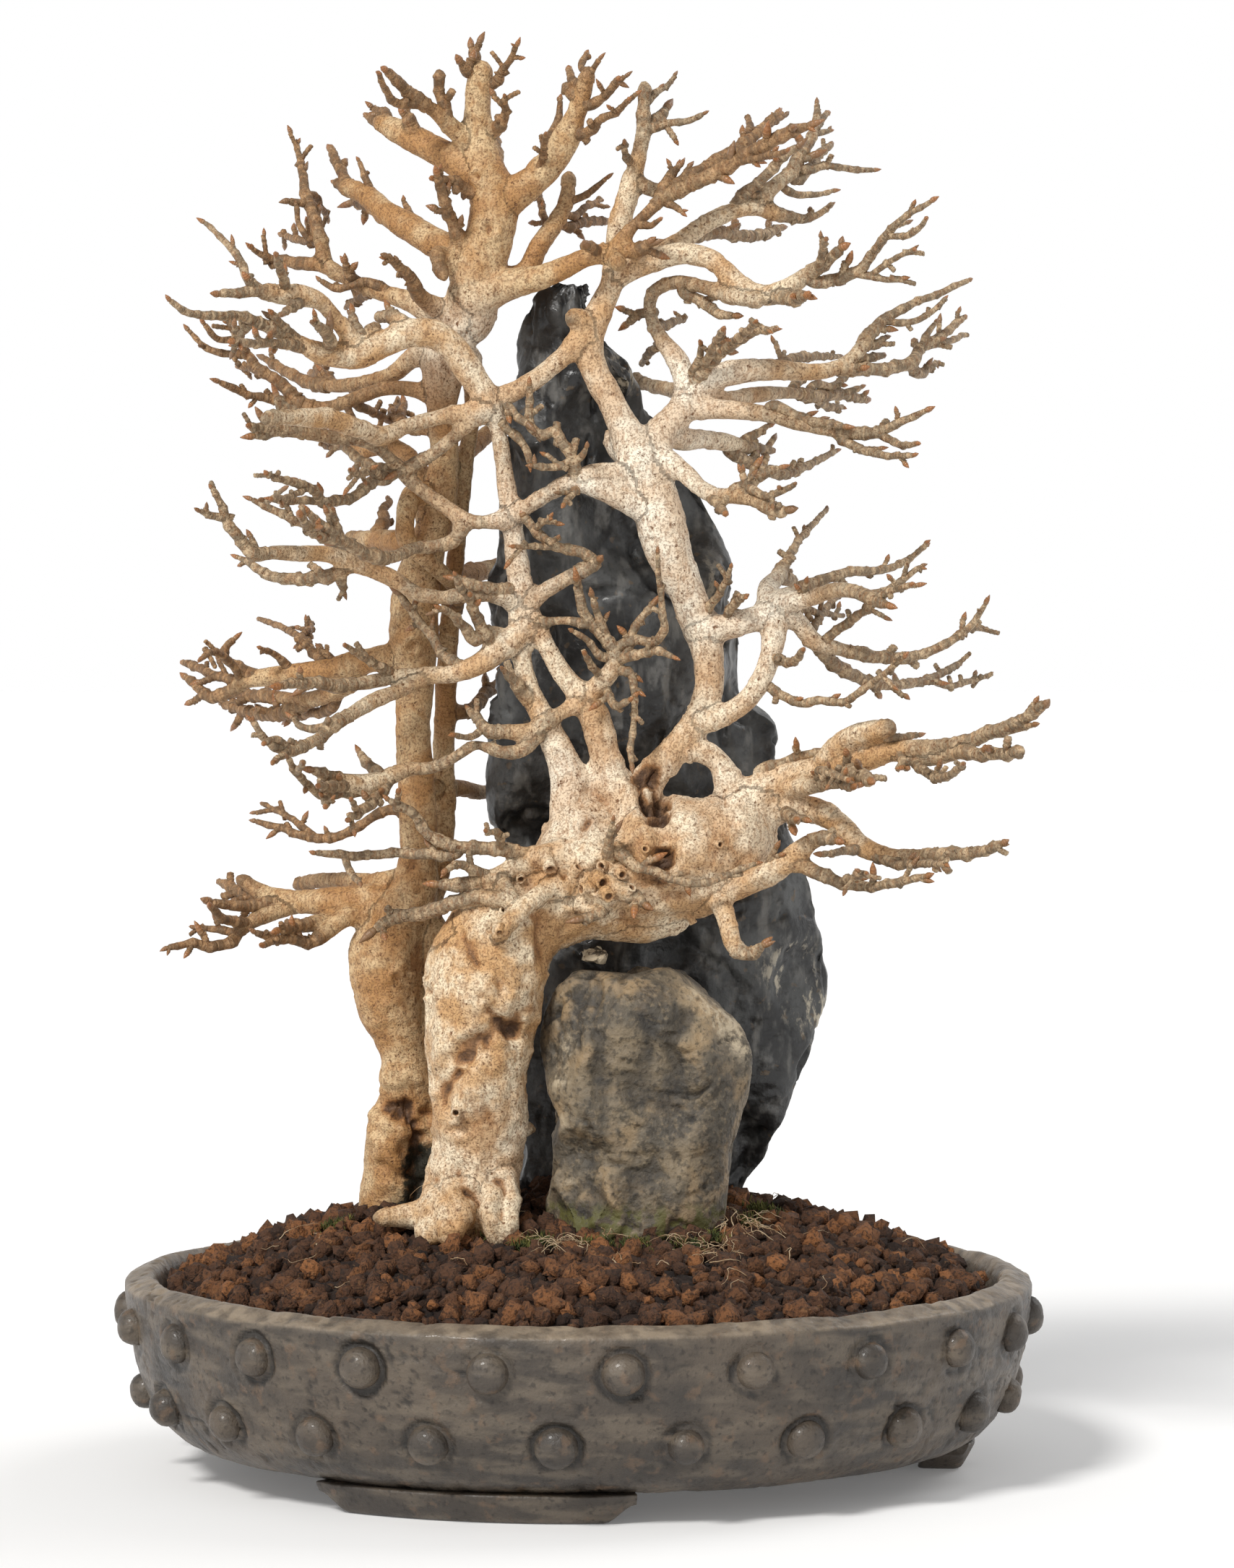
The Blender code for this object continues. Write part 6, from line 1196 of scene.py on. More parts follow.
for tree, place, along, radius in TIPS:
    if radius < THICKEST_WITH_BUD and place[2] > LOWEST_BUD:
        bud_rows.append((tree, place - along * 0.4, along + DRAW.normal(0, 0.12, 3), max(radius, 0.9) * 0.98))
        if DRAW.random() < TWIN_BUD_SHARE:
            aside = unit(along + DRAW.normal(0, 0.55, 3))
            bud_rows.append((tree, place - along * 1.2 + aside * 0.8, aside, max(radius, 0.8) * 0.8))
for tree, bark in BARKS.items():
    rows = [row for row in spur_rows if row[0] == tree]
    origins, directions = (np.array([row[k] for row in rows]) for k in (1, 2))
    sizes = np.array([(row[3], row[4]) for row in rows])
    spins = DRAW.uniform(0, 2 * math.pi, len(rows))
    points, quads, triangles, each = copies(SPUR, origins, directions, spins, sizes)
    heights = ring_values(SPUR[:, 0, 2], SPUR.shape[1])
    along = (heights * sizes[:, 1:] + spins[:, None] * 3).reshape(-1)
    values = bark_values(tree, points, np.repeat(sizes[:, 0], each) * 1.2, along, np.zeros(len(points)))
    make_piece(f"{tree}_spurs", points, [quads, triangles], bark, values)

# %% [markdown]
# ### Old pruning cuts
# Where old shoots were cut off, the bark has rolled round the cut in a ring round a hollow, which is
# painted dark as shade. Each ring stands where a line of sight meets the trunk, which is quicker to place
# than a list of depths.

# %% old pruning cuts
CUT = turned_grid([(1.5, -0.7), (1.05, 0.0), (0.92, 0.55), (1.06, 0.85), (0.96, 1.0), (0.66, 0.96),
                   (0.46, 0.5), (0.2, 0.3)], 10, bend=0.12)
# The hollow number of a cut: low on the rim and 1 in its middle, which the bark finish paints dark as shade.
CUT_HOLLOW = ring_values([0, 0.2, 0.1, 0, 0, 0.3, 1, 1], CUT.shape[1])
CUTS = [(-10.7, 210.4, 2.5), (3.3, 200.6, 2.1), (7.4, 203.4, 2.4), (10.2, 198.6, 2.2), (-26.5, 191.4, 1.7),
        (-27.5, 186.6, 1.5), (14.5, 206.0, 1.9), (9.5, 209.0, 1.9), (39.0, 190.5, 1.4), (17.5, 200.0, 1.7),
        (-42.0, 123.5, 1.7), (-1.0, 206.5, 1.8), (23.0, 214.0, 1.5), (48.0, 216.0, 1.4), (-20.0, 205.0, 1.7)]
cut_rows = []
for x, height, radius in CUTS:
    ray = Vector((x, 0, height)) - Vector(EYE)
    met, place, normal, _ = OLD_WOOD["front"].ray_cast(Vector(EYE * MM), ray.normalized())
    if met:
        cut_rows.append((np.array(place) / MM, np.array(normal) + DRAW.normal(0, 0.3, 3), radius))
origins, directions, widths = (np.array(column) for column in zip(*cut_rows))
sizes = np.column_stack([widths, widths * DRAW.uniform(0.8, 1.9, len(widths))])
points, quads, triangles, each = copies(CUT, origins, directions, DRAW.uniform(0, 6, len(widths)), sizes)
values = bark_values("front", points, np.full(len(points), 4.0), points[:, 2], np.zeros(len(points)))
values["hollow"] = np.tile(CUT_HOLLOW, len(widths))
make_piece("pruning_cuts", points, [quads, triangles], FRONT_BARK, values)
print(len(widths), "pruning cuts")

# %% [markdown]
# ### Bud scales
# A winter bud is wrapped in overlapping brown scales, paler at its foot. Modelling scales on a 5 mm
# bud would cost many faces, so fine bands along the bud stand for them.

# %% bud finish
buds = Finish("bud_finish", roughness=0.42, coat=0.15)
up_bud = buds.value("up")
bands = buds.maths("PINGPONG", up_bud * 4.2 + buds.noise(1.1) * 0.8, 0.5)
bud_colour = buds.layered(buds.blend(up_bud.steps(0.0, 0.5), (0.32, 0.19, 0.09), (0.36, 0.15, 0.05)), [
    (bands.steps(0.30, 0.5) * 0.6, (0.14, 0.052, 0.02)),
    (buds.value("shade") * 0.85, (0.20, 0.115, 0.055)),
])
BUD_FINISH = buds.finish(bud_colour, None, bands, 0.25)
origins, directions = (np.array([row[k] for row in bud_rows]) for k in (1, 2))
widths = np.minimum([row[3] for row in bud_rows], WIDEST_BUD) * DRAW.uniform(0.85, 1.15, len(bud_rows))
sizes = np.column_stack([widths, widths * DRAW.uniform(2.4, 4.3, len(bud_rows))])
points, quads, triangles, each = copies(BUD, origins, directions, DRAW.uniform(0, 6.3, len(sizes)), sizes)
heights = ring_values(BUD[:, 0, 2], BUD.shape[1])
values = {"up": np.tile(heights, len(sizes)), "shade": np.repeat(DRAW.random(len(sizes)) ** 2, each)}
make_piece("buds", points, [quads, triangles], BUD_FINISH, values)

# %% [markdown]
# ## The drum pot
# The pot is thrown or coiled in coarse clay: a low bowl with a lip, two rows of clay pellets pressed on
# like the nails of a drum, and feet cut from a ring. The wall is its section carried round the axis,
# closed on itself. The pellets' pressed-in rings move the wall's own surface.

# %% pot section
POT_SECTION = [
    (118, 16), (126, 16), (134, 20), (139, 31), (143, 50), (144.6, 61), (146.5, 67.6), (149, 68.4),
    (157.4, 65.2), (157.2, 60), (156.2, 52), (154.4, 42), (151.6, 32), (147.4, 22), (141, 14),
    (133, 10), (124, 9), (118, 9),
]
POT_STEPS = 760
STUD_ROWS = [(53.0, 155.9, 0.35), (28.0, 149.9, 0.85)]
STUDS = 22
FOOT_MIDDLES = (-15.5, 104.5, 224.5)
FOOT_RADIUS, FOOT_HALF_WIDTH, FOOT_HALF_HEIGHT, FOOT_HALF_SWEEP = 128, 8.0, 5.2, 24
HOLE_ANGLES = (44.5, 164.5, 284.5)
HOLE_CIRCLE, HOLE_RADIUS = 72.0, 9.0
FLOOR_RADIUS, FLOOR_LOW, FLOOR_HIGH = 119.5, 9.04, 15.96


def evenly(points, fine, coarse, is_fine):
    """Points along a polyline, every fine millimetres where is_fine says so and coarse elsewhere."""
    out = []
    for a, b in zip(points, points[1:]):
        step = fine if is_fine(a, b) else coarse
        count = max(1, round(math.dist(a, b) / step))
        out += [tuple(np.array(a) + (np.array(b) - a) * i / count) for i in range(count)]
    return np.array(out + [points[-1]])


def softened(values, rounds):
    """Each inner value moves halfway to the mean of its two neighbours, this many times."""
    for _ in range(rounds):
        values[1:-1] = values[1:-1] * 0.5 + (values[:-2] + values[2:]) * 0.25
    return values


def round_axis(radius, degrees, height):
    """Points round the pot's axis: 0 degrees is the front, and + is to the right."""
    radius, angle, height = np.broadcast_arrays(radius, np.radians(degrees), height)
    return np.stack([radius * np.sin(angle), -radius * np.cos(angle), height], -1)


def volume(points, quads, triangles):
    """The sum of signed tetrahedra from the origin to each face, positive if the faces point out."""
    corners = np.concatenate([quads[:, [0, 1, 2]], quads[:, [0, 2, 3]], triangles])
    a, b, c = (points[corners[:, k]] for k in range(3))
    return np.einsum("ij,ij->i", a, np.cross(b, c)).sum() / 6


def facing_out(shape):
    """The shape with its faces turned over if its volume comes out negative."""
    points, quads, triangles = shape[:3]
    if volume(points - points.mean(0), quads, triangles) < 0:
        return points, quads[:, ::-1], triangles[:, ::-1]
    return points, quads, triangles


# %% pot wall
section = softened(evenly(POT_SECTION, 1.15, 3.2, lambda a, b: min(a[0], b[0]) > 146), 2)
is_outside = np.arange(len(section)) > section[:, 1].argmax()
angles = np.arange(POT_STEPS) * 360 / POT_STEPS
radius = np.broadcast_to(section[:, 0], (POT_STEPS, len(section)))
height = np.broadcast_to(section[:, 1], radius.shape)
wall = round_axis(radius, angles[:, None], height).reshape(-1, 3)
slope = np.gradient(section, axis=0)
normal_2d = unit(np.column_stack([-slope[:, 1], slope[:, 0]]))
normal_2d *= np.where(is_outside & (normal_2d[:, 0] < 0), -1, 1)[:, None]
outward = round_axis(np.broadcast_to(normal_2d[:, 0], radius.shape), angles[:, None], 0)
outward[..., 2] = normal_2d[:, 1]
outward = outward.reshape(-1, 3)

# %% pellets' rings, cracks and pits in the wall
press = np.zeros(len(wall))
stud_places, stud_outward = [], []
for height_at, radius_at, phase in STUD_ROWS:
    for i in range(STUDS):
        degrees = (i + phase) * 360 / STUDS
        centre = round_axis(radius_at, np.array(degrees), height_at)
        stud_places.append(centre)
        stud_outward.append(round_axis(1.0, np.array(degrees), 0.12 if height_at > 40 else -0.22))
        drop = centre + np.array([0, 0, -0.5])
        apart = np.linalg.norm(wall - drop, axis=1)
        strength = DRAW.uniform(0.35, 1.15)
        press += strength * (0.45 * bell(apart - 10.8, 1.5) - 1.25 * bell(apart - 8.3, 1.25))
level = wall * [0.35, 0.35, 1.6]
lumps = fractal_noise(wall, 26, 4, 71) * 0.42
drag = -np.maximum(0, fractal_noise(level, 7, 3, 75, is_ridged=True) - 0.9) * 0.9
pits = -smooth_step(0.5, 0.8, lattice_noise(wall, 3.1, 77)) * 0.55
crack = -smooth_step(0.955, 0.995, 1 - np.abs(fractal_noise(wall * [1, 1, 1.5], 30, 4, 79))) * 0.75
rough = np.tile(is_outside | (section[:, 1] > 64), POT_STEPS) * 1.0
chips = np.tile(smooth_step(62, 66, section[:, 1]), POT_STEPS) * fractal_noise(wall, 13, 3, 83) * 0.45
crack *= smooth_step(0.0, 0.5, lattice_noise(wall, 34, 85))
relief = (press + lumps + drag + pits + crack) * rough + chips
wall += outward * relief[:, None]
quads = grid_faces(POT_STEPS + 1, len(section)) % len(wall)
wall_shape = facing_out((wall, quads, np.empty((0, 3), int)))
# How far the relief presses the wall in; the clay finish paints these pits, cracks and pressed rings dark as
# shade.
cavity_shade = smooth_step(-0.25, -1.0, relief)
print("pot wall", len(wall), "points, relief", relief.min().round(2), "to", relief.max().round(2))

# %% [markdown]
# ### Pellets, feet and the drained floor
# A pellet is a dome with a soft edge. A foot is a rounded bar bent along the ring. The floor is a disc
# with three round holes: cutting them is a Boolean's work, and it is quick on a plain disc.

# %% pellets and feet
DOME = turned_grid([(6.9, -1.6), (7.0, -0.4), (6.9, 0.9), (6.5, 2.4), (5.8, 3.8), (4.6, 4.9), (3.0, 5.7),
                    (1.3, 6.05)], 24)
dome_sizes = DRAW.uniform([0.86, 0.86], [1.04, 1.08], (len(stud_places), 2))
spins = DRAW.uniform(0, 6, len(stud_places))
points, quads, triangles, _ = copies(DOME, np.array(stud_places), np.array(stud_outward), spins, dome_sizes)
points += unit(points * [1, 1, 0]) * fractal_noise(points, 5, 3, 91)[:, None] * 0.28
dome_shape = facing_out((points, quads, triangles))


def foot_shape(middle):
    """A rounded bar: a superellipse section carried along an arc, narrowing at its two ends."""
    sweep, turn = np.linspace(-FOOT_HALF_SWEEP, FOOT_HALF_SWEEP, 64), turns(28)
    end = smooth_step(FOOT_HALF_SWEEP, 19.5, np.abs(sweep))
    wave = 0.9 + 0.1 * fractal_noise(np.column_stack([sweep, sweep * 0 + middle, sweep * 0]), 7, 2, 95)
    under = (1 - end) * 6.5
    end = 0.75 + 0.25 * end * wave
    radius = FOOT_RADIUS + FOOT_HALF_WIDTH * signed_power(np.cos(turn), 0.28) * end[:, None]
    height = FOOT_HALF_HEIGHT * (1 + signed_power(np.sin(turn), 0.28))
    height = under[:, None] + height * (1 - under[:, None] / (2 * FOOT_HALF_HEIGHT))
    radius = radius + (height - FOOT_HALF_HEIGHT) * 0.55
    grid = round_axis(radius, (sweep + middle)[:, None], height)
    grid[..., 2] = np.maximum(grid[..., 2], 0.0)
    return facing_out(closed_grid(grid))


feet = [foot_shape(middle) for middle in FOOT_MIDDLES]

# %% drained floor
def drum(radius, low, high, place, sides):
    """A closed cylinder as a turned grid of four rings."""
    grid = turned_grid([(radius, low), (radius, low + 0.01), (radius, high - 0.01), (radius, high)], sides)
    return facing_out(closed_grid(grid + np.array([place[0], place[1], 0])))


def plain_object(name, shape):
    """A bare object for a Boolean, from a shape in millimetres."""
    mesh = bpy.data.meshes.new(name)
    mesh.from_pydata((shape[0] * MM).tolist(), [], shape[1].tolist() + shape[2].tolist())
    made = bpy.data.objects.new(name, mesh)
    bpy.context.scene.collection.objects.link(made)
    return made


disc = plain_object("disc", drum(FLOOR_RADIUS, FLOOR_LOW, FLOOR_HIGH, (0, 0), 120))
cutters = []
for angle in HOLE_ANGLES:
    place = round_axis(HOLE_CIRCLE, np.array(angle), 0)
    cutters.append(plain_object("hole", drum(HOLE_RADIUS, FLOOR_LOW - 5, FLOOR_HIGH + 4, place, 48)))
    cut = disc.modifiers.new("Hole", "BOOLEAN")
    cut.operation, cut.object = "DIFFERENCE", cutters[-1]
floor_mesh = bpy.data.meshes.new_from_object(disc.evaluated_get(bpy.context.evaluated_depsgraph_get()))
floor_points = np.array([vertex.co for vertex in floor_mesh.vertices]) / MM
floor_faces = [list(face.vertices) for face in floor_mesh.polygons]
for made in (disc, *cutters):
    bpy.data.objects.remove(made)

# %% [markdown]
# ### Fired clay
# The clay is fired without glaze: grey-brown with paler bands, and painted darker in every pit, crack
# and pressed ring as shade. On the lip's top a patchy pale band is painted as light falling on it.

# %% clay finish and the pot
clay = Finish("fired_clay", roughness=0.6, coat=0.12)
grain = clay.noise(2.1, 6, 1.0)
cloud = clay.noise(38, 5, 4.0).steps(0.38, 0.66)
drift = clay.noise(9, 5, 9.0, stretch=(2.2, 2.2, 0.6)).steps(0.44, 0.68)
clay_colour = clay.layered(clay.blend(cloud, (0.040, 0.032, 0.025), (0.092, 0.070, 0.050)), [
    (drift * 0.6, (0.150, 0.118, 0.084)),
    (clay.noise(5.5, 4, 6.0).steps(0.56, 0.7) * 0.5, (0.155, 0.095, 0.055)),
    # painted shade in the pits, cracks and pressed rings
    (clay.value("cavity_shade") * 0.85, (0.012, 0.010, 0.008)),
    (grain.steps(0.54, 0.70) * 0.6, (0.018, 0.014, 0.011)),
    # painted highlight: a patchy pale band on the lip's top, where light falls on it
    (clay.value("lip") * (0.35 + 0.65 * clay.noise(6, 5, 2.0).steps(0.35, 0.6)), (0.26, 0.205, 0.145)),
])
clay_height = grain * 0.7 + clay.noise(0.9, 3, 3.0) * 0.3
CLAY = clay.finish(clay_colour, 0.36 + grain * 0.36, clay_height, 0.8)
points, quads, triangles = stack_shapes([wall_shape, dome_shape, *feet])
floor_faces = [[index + len(points) for index in face] for face in floor_faces]
points = np.concatenate([points, floor_points])
others = np.zeros(len(points) - len(wall))
# Where the lip's top is painted pale, as light falling on it.
lip_highlight = np.tile(smooth_step(63.6, 65.4, section[:, 1]), POT_STEPS)
lip_highlight *= 0.55 + 0.45 * smooth_step(-0.3, 0.4, fractal_noise(wall, 16, 3, 87))
values = {"cavity_shade": np.concatenate([cavity_shade, others]), "lip": np.concatenate([lip_highlight, others])}
POT = make_piece("drum_pot", points, [quads, triangles, floor_faces], CLAY, values)

# %% [markdown]
# ## Lava grit
# The soil is loose grit: rusty, angular grains of about 5 to 10 mm. One bumpy surface alone would look like
# mud, so real grains lie over it, thousands of copies of a few templates, half sunk in the mound.

# %% mound
MOUND = np.array([(0, 96), (30, 95), (55, 92), (80, 86.5), (100, 81), (118, 75), (132, 69), (141, 64),
                  (143, 61)])
MOUND_SINK = 3.2
DIP_DEPTH, DIP_Y, DIP_REACH = 9.5, -50, (95, 38)
SKIRT = [(0.5, 16.6), (0.87, 16.6), (0.97, 34.0)]


def mound_height(x, y):
    """The turned mound, less a shallow dip that is a Gaussian in x and in y, before the boulder."""
    dip = DIP_DEPTH * bell(x, DIP_REACH[0]) * bell(y - DIP_Y, DIP_REACH[1])
    return np.interp(np.hypot(x, y), *MOUND.T) - dip


rings, around = np.linspace(142.6, 0.6, 74)[:, None], turns(210)
x, y = rings * np.cos(around), rings * np.sin(around)
top = np.stack([x, y, mound_height(x, y) - MOUND_SINK], -1)
top[..., 2] += fractal_noise(top.reshape(-1, 3), 7, 3, 31).reshape(x.shape) * 1.1
skirt = [top[0] * [share, share, 0] + [0, 0, height] for share, height in SKIRT]
mound = facing_out(closed_grid(np.concatenate([np.stack(skirt), top])))


# %% [markdown]
# ### Grit finish
# Every grain gets its own shade from a number on its points, from almost black through rust to ochre:
# a random tone, painted darker as shade the deeper the grain is sunk. The mound below is painted almost
# black as the shade in the gaps between grains.

# %% grit finish
grit = Finish("grit_finish", roughness=0.92)
shade, dust = grit.value("shade"), grit.noise(1.3, 4, 1.0)
# Low shade numbers, on the mound and on deeply sunk grains, are painted near black as shade.
grit_colour = grit.layered(grit.blend(shade.steps(0.0, 0.35), (0.012, 0.006, 0.004), (0.085, 0.036, 0.016)), [
    (shade.steps(0.4, 1.0), (0.27, 0.108, 0.036)),
    (dust.steps(0.47, 0.66) * 0.75, (0.014, 0.007, 0.004)),
    (grit.noise(2.2, 2, 5.0).steps(0.62, 0.72) * 0.3, (0.30, 0.16, 0.07)),
])
GRIT = grit.finish(grit_colour, None, dust, 1.6)
# The mound under the grains: painted almost black as the shade in the gaps between them.
values = {"shade": np.full(len(mound[0]), 0.08)}
SOIL = make_piece("soil_mound", mound[0], mound[1:], GRIT, values)


# %% grains
def lumpy_grain(seed):
    """A ball of 4 rings of 6 points, each point pulled in or out, so that it has corners and flats."""
    tilt = np.linspace(-0.36 * math.pi, 0.36 * math.pi, 4)
    grid = turned_grid(list(zip(np.cos(tilt), np.sin(tilt))), 6, twist=0.4)
    pull = 1 + 0.38 * np.random.default_rng(seed).uniform(-1, 1, grid.shape[:2])
    return grid * pull[..., None]


SPACING, GRAIN_KINDS = 5.5, 4
row, column = np.meshgrid(np.arange(-30, 31), np.arange(-27, 28), indexing="ij")
spots_x = (column + 0.5 * (row % 2)) * SPACING
spots_y = row * SPACING * 0.866
layer = np.stack([spots_x.ravel(), spots_y.ravel()], -1) + DRAW.normal(0, 1.1, (spots_x.size, 2))
upper = DRAW.uniform(-140, 140, (1250, 2))
sizes = np.concatenate([DRAW.uniform(2.5, 3.8, len(layer)), DRAW.uniform(2.2, 4.9, len(upper))])
lift = np.concatenate([DRAW.uniform(-3.4, -1.2, len(layer)), DRAW.uniform(-0.2, 1.6, len(upper))])
flat = np.concatenate([layer, upper])
keep = np.hypot(*flat.T) + sizes < 143.5
flat, sizes, lift = flat[keep], sizes[keep], lift[keep]
places = np.column_stack([flat, mound_height(*flat.T) - MOUND_SINK + 1.6 + lift])
# Each grain's random tone, painted darker as shade the deeper the grain is sunk.
shades = np.clip(DRAW.beta(2.6, 3.0, len(places)) * smooth_step(-4.0, 0.3, lift) * 1.15, 0, 1)
batches, grain_shades = [], []
for seed in range(GRAIN_KINDS):
    chosen = np.arange(len(places)) % GRAIN_KINDS == seed
    wide = np.column_stack([sizes[chosen], sizes[chosen] * DRAW.uniform(0.65, 1.0, chosen.sum())])
    lean = DRAW.normal(0, 1, (chosen.sum(), 3))
    shape = copies(lumpy_grain(seed + 3), places[chosen], lean, DRAW.uniform(0, 6, chosen.sum()), wide)
    batches.append(facing_out(shape))
    grain_shades.append(np.repeat(shades[chosen], shape[3]))
points, quads, triangles = stack_shapes(batches)
values = {"shade": np.concatenate(grain_shades)}
make_piece("grit_grains", points, [quads, triangles], GRIT, values)

# %% [markdown]
# ### Rootlets and moss
# Fine straw-coloured roots creep over the grit, and a little moss grows, most of it by the boulder.
# A rootlet is a thin tube whose heading wanders; moss is many tiny blades on small cushions.

# %% rootlets
TANGLES = [(62, -28, 14), (44, -58, 16), (-2, -62, 13), (-72, -22, 12), (84, -10, 12)]
ROOTLETS, STEPS = 150, 11
root_shapes = []
for k in range(ROOTLETS):
    length = DRAW.uniform(4, 19)
    heading = DRAW.uniform(0, 2 * math.pi) + np.cumsum(DRAW.normal(0, 0.6, STEPS))
    where, bearing = DRAW.uniform(28, 132), DRAW.uniform(0, 2 * math.pi)
    start = np.array([where * math.cos(bearing), where * math.sin(bearing)])
    if k % 5 < 3:
        tangle = TANGLES[k % len(TANGLES)]
        start = DRAW.normal(tangle[:2], tangle[2] * 0.5)
    x = start[0] + np.cumsum(np.cos(heading)) * length / STEPS
    y = start[1] + np.cumsum(np.sin(heading)) * length / STEPS
    arch = np.sin(np.linspace(0, math.pi, STEPS)) * DRAW.uniform(0.0, 4.0)
    arch += np.cumsum(DRAW.normal(0, 0.25, STEPS))
    inside = np.minimum(1, 139 / np.maximum(np.hypot(x, y), 1))
    line = np.column_stack([x * inside, y * inside, mound_height(x * inside, y * inside) + 1.2 + arch])
    thin = DRAW.uniform(0.11, 0.24) * np.linspace(1.1, 0.5, STEPS)
    root_shapes.append(facing_out(closed_grid(tube_grid(line, thin, 4))))
straw = Finish("rootlet_finish", roughness=0.75)
STRAW = straw.finish(straw.blend(straw.noise(5, 2).steps(0.4, 0.65), (0.50, 0.38, 0.24), (0.26, 0.15, 0.07)))
points, quads, triangles = stack_shapes(root_shapes)
make_piece("rootlets", points, [quads, triangles], STRAW)

# %% moss
BLADE = turned_grid([(1.0, 0.0), (0.55, 0.6), (0.1, 1.0)], 3)
CUSHIONS = [(-14, -47, 9), (6, -50, 8), (20, -51, 9), (38, -49, 8), (48, -38, 7), (-30, -34, 8), (-84, -6, 7),
            (-52, -20, 7), (64, 2, 9), (-18, -52, 6), (-70, 26, 8), (58, -18, 6)]
flat = np.concatenate([DRAW.normal((x, y), spread * 0.42, (130, 2)) for x, y, spread in CUSHIONS])
rooted = np.column_stack([flat, mound_height(*flat.T) + DRAW.uniform(-1.6, 1.0, len(flat))])
lean = DRAW.normal(0, 0.45, rooted.shape) + [0, 0, 1]
sizes = np.column_stack([DRAW.uniform(0.22, 0.4, len(rooted)), DRAW.uniform(1.2, 3.0, len(rooted))])
blades = copies(BLADE, rooted, lean, DRAW.uniform(0, 6, len(rooted)), sizes)
moss = Finish("moss_finish", roughness=0.9)
tone = moss.noise(6, 3).steps(0.4, 0.62)
MOSS = moss.finish(moss.blend(tone, (0.045, 0.060, 0.012), (0.17, 0.16, 0.035)))
points, quads, triangles = facing_out(blades)
make_piece("moss", points, [quads, triangles], MOSS)

# %% [markdown]
# ## Broken stone
# The tall rock is a hard dark stone, split along flats and eaten by water into creases and pits. A
# smooth loft through its slices gives the mass. Flats come from shaving the loft with slanted planes,
# each only near its own place, and creases and pits from ridged noise, mostly cut inwards.

# %% rock shapes
TALL_SLICES = [
    (62, -14, 50, 10, 46), (78, -20, 52, 10, 50), (97, -24, 58, 10, 55), (112, -26, 70, 10, 58),
    (130, -27, 78, 10, 60), (150, -27.5, 85, 10, 62), (168, -28, 87, 10.5, 63), (190, -28.5, 84, 10.5, 62),
    (205, -29.5, 82, 10.5, 60), (222, -31, 73, 10.5, 59), (240, -33, 71, 10, 57), (260, -33, 68, 8, 56),
    (283, -31, 60, 5, 53), (308, -32, 55, 3, 50), (330, -30, 47, 2, 46), (350, -28, 34, 2, 43),
    (370, -25, 28, 2.5, 40), (388, -22, 20, 4, 36), (402, -17, 11, 8, 32), (411, -10, 6, 12, 27),
    (413.5, -5, 3, 15, 23),
]
BOULDER_SLICES = [
    (62, -6, 46, -34, 4), (76, -10, 50, -42, 7), (90, -11, 51.5, -45, 8), (108, -9, 53.5, -45, 8.5),
    (124, -10.5, 58, -44, 9), (138, -14, 61, -43, 9), (151, -13, 58, -41, 9), (162, -10, 48, -38, 8),
    (170, -6, 39, -32, 5), (174.4, 4, 31, -24, -4), (175.6, 12, 23, -19, -10),
]


def loft(slices, rows, sides, square=0.78):
    """Level rings through slices of (height, left, right, front, back). A ring's x is its centre + half
    its width * sign(cos) |cos|^square, and its depth is the same with sin."""
    table = np.array(slices, float)
    heights = np.linspace(table[0, 0], table[-1, 0], rows)
    edges = cubic_through(table[:, 0], table[:, 1:], heights)
    left, right, front, back = (column[:, None] for column in edges.T)
    x = (left + right) / 2 + (right - left) / 2 * signed_power(np.cos(turns(sides)), square)
    depth = (front + back) / 2 + (back - front) / 2 * signed_power(np.sin(turns(sides)), square)
    return at_depth(x, np.broadcast_to(heights[:, None], x.shape), depth)


def grid_normals(grid):
    """Cross products of the two directions of a grid of rings, turned away from each ring's middle."""
    across = np.roll(grid, -1, 1) - np.roll(grid, 1, 1)
    normals = unit(np.cross(across, np.gradient(grid, axis=0)))
    away = grid - grid.mean(1, keepdims=True)
    return normals * np.sign((normals * away).sum(-1).mean())


def shaved(grid, count, reach, deepest, seed):
    """Planes set a little below the surface, tilted at random: what stands above one is pushed down to
    it, fading out at its reach."""
    draw = np.random.default_rng(seed)
    flat, normals = grid.reshape(-1, 3).copy(), grid_normals(grid).reshape(-1, 3)
    for pick in draw.integers(0, len(flat), count):
        facing = unit(normals[pick] + draw.normal(0, 0.16, 3))
        apart = flat - flat[pick]
        proud = apart @ facing + draw.uniform(0.25, 1.0) * deepest
        fade = smooth_step(1.0, 0.55, np.linalg.norm(apart, axis=1) / (reach * draw.uniform(0.5, 1.0)))
        flat -= facing * (np.maximum(proud, 0) * fade)[:, None]
    return flat.reshape(grid.shape)


def weathered(grid, crease, pit, seed):
    """Creases, lumps and pits along the normals; also returns how deep each point lies."""
    normals = grid_normals(grid).reshape(-1, 3)
    flat = grid.reshape(-1, 3)
    warp = flat + np.stack([fractal_noise(flat, 24, 2, seed + k) for k in range(3)], -1) * 9
    ridge = fractal_noise(warp * [1, 1, 0.62], 27, 4, seed + 7, is_ridged=True)
    cut = -crease * smooth_step(1.0, 1.65, ridge)
    lump = fractal_noise(flat, 11, 4, seed + 9) * 0.62
    holes = -pit * smooth_step(0.42, 0.8, lattice_noise(warp, 4.6, seed + 15))
    ripple = -0.5 * smooth_step(0.2, 0.8, lattice_noise(warp * [1, 1, 2.2], 9, seed + 17))
    moved = cut + lump + holes + ripple - 0.25
    return (flat + normals * moved[:, None]).reshape(grid.shape), moved


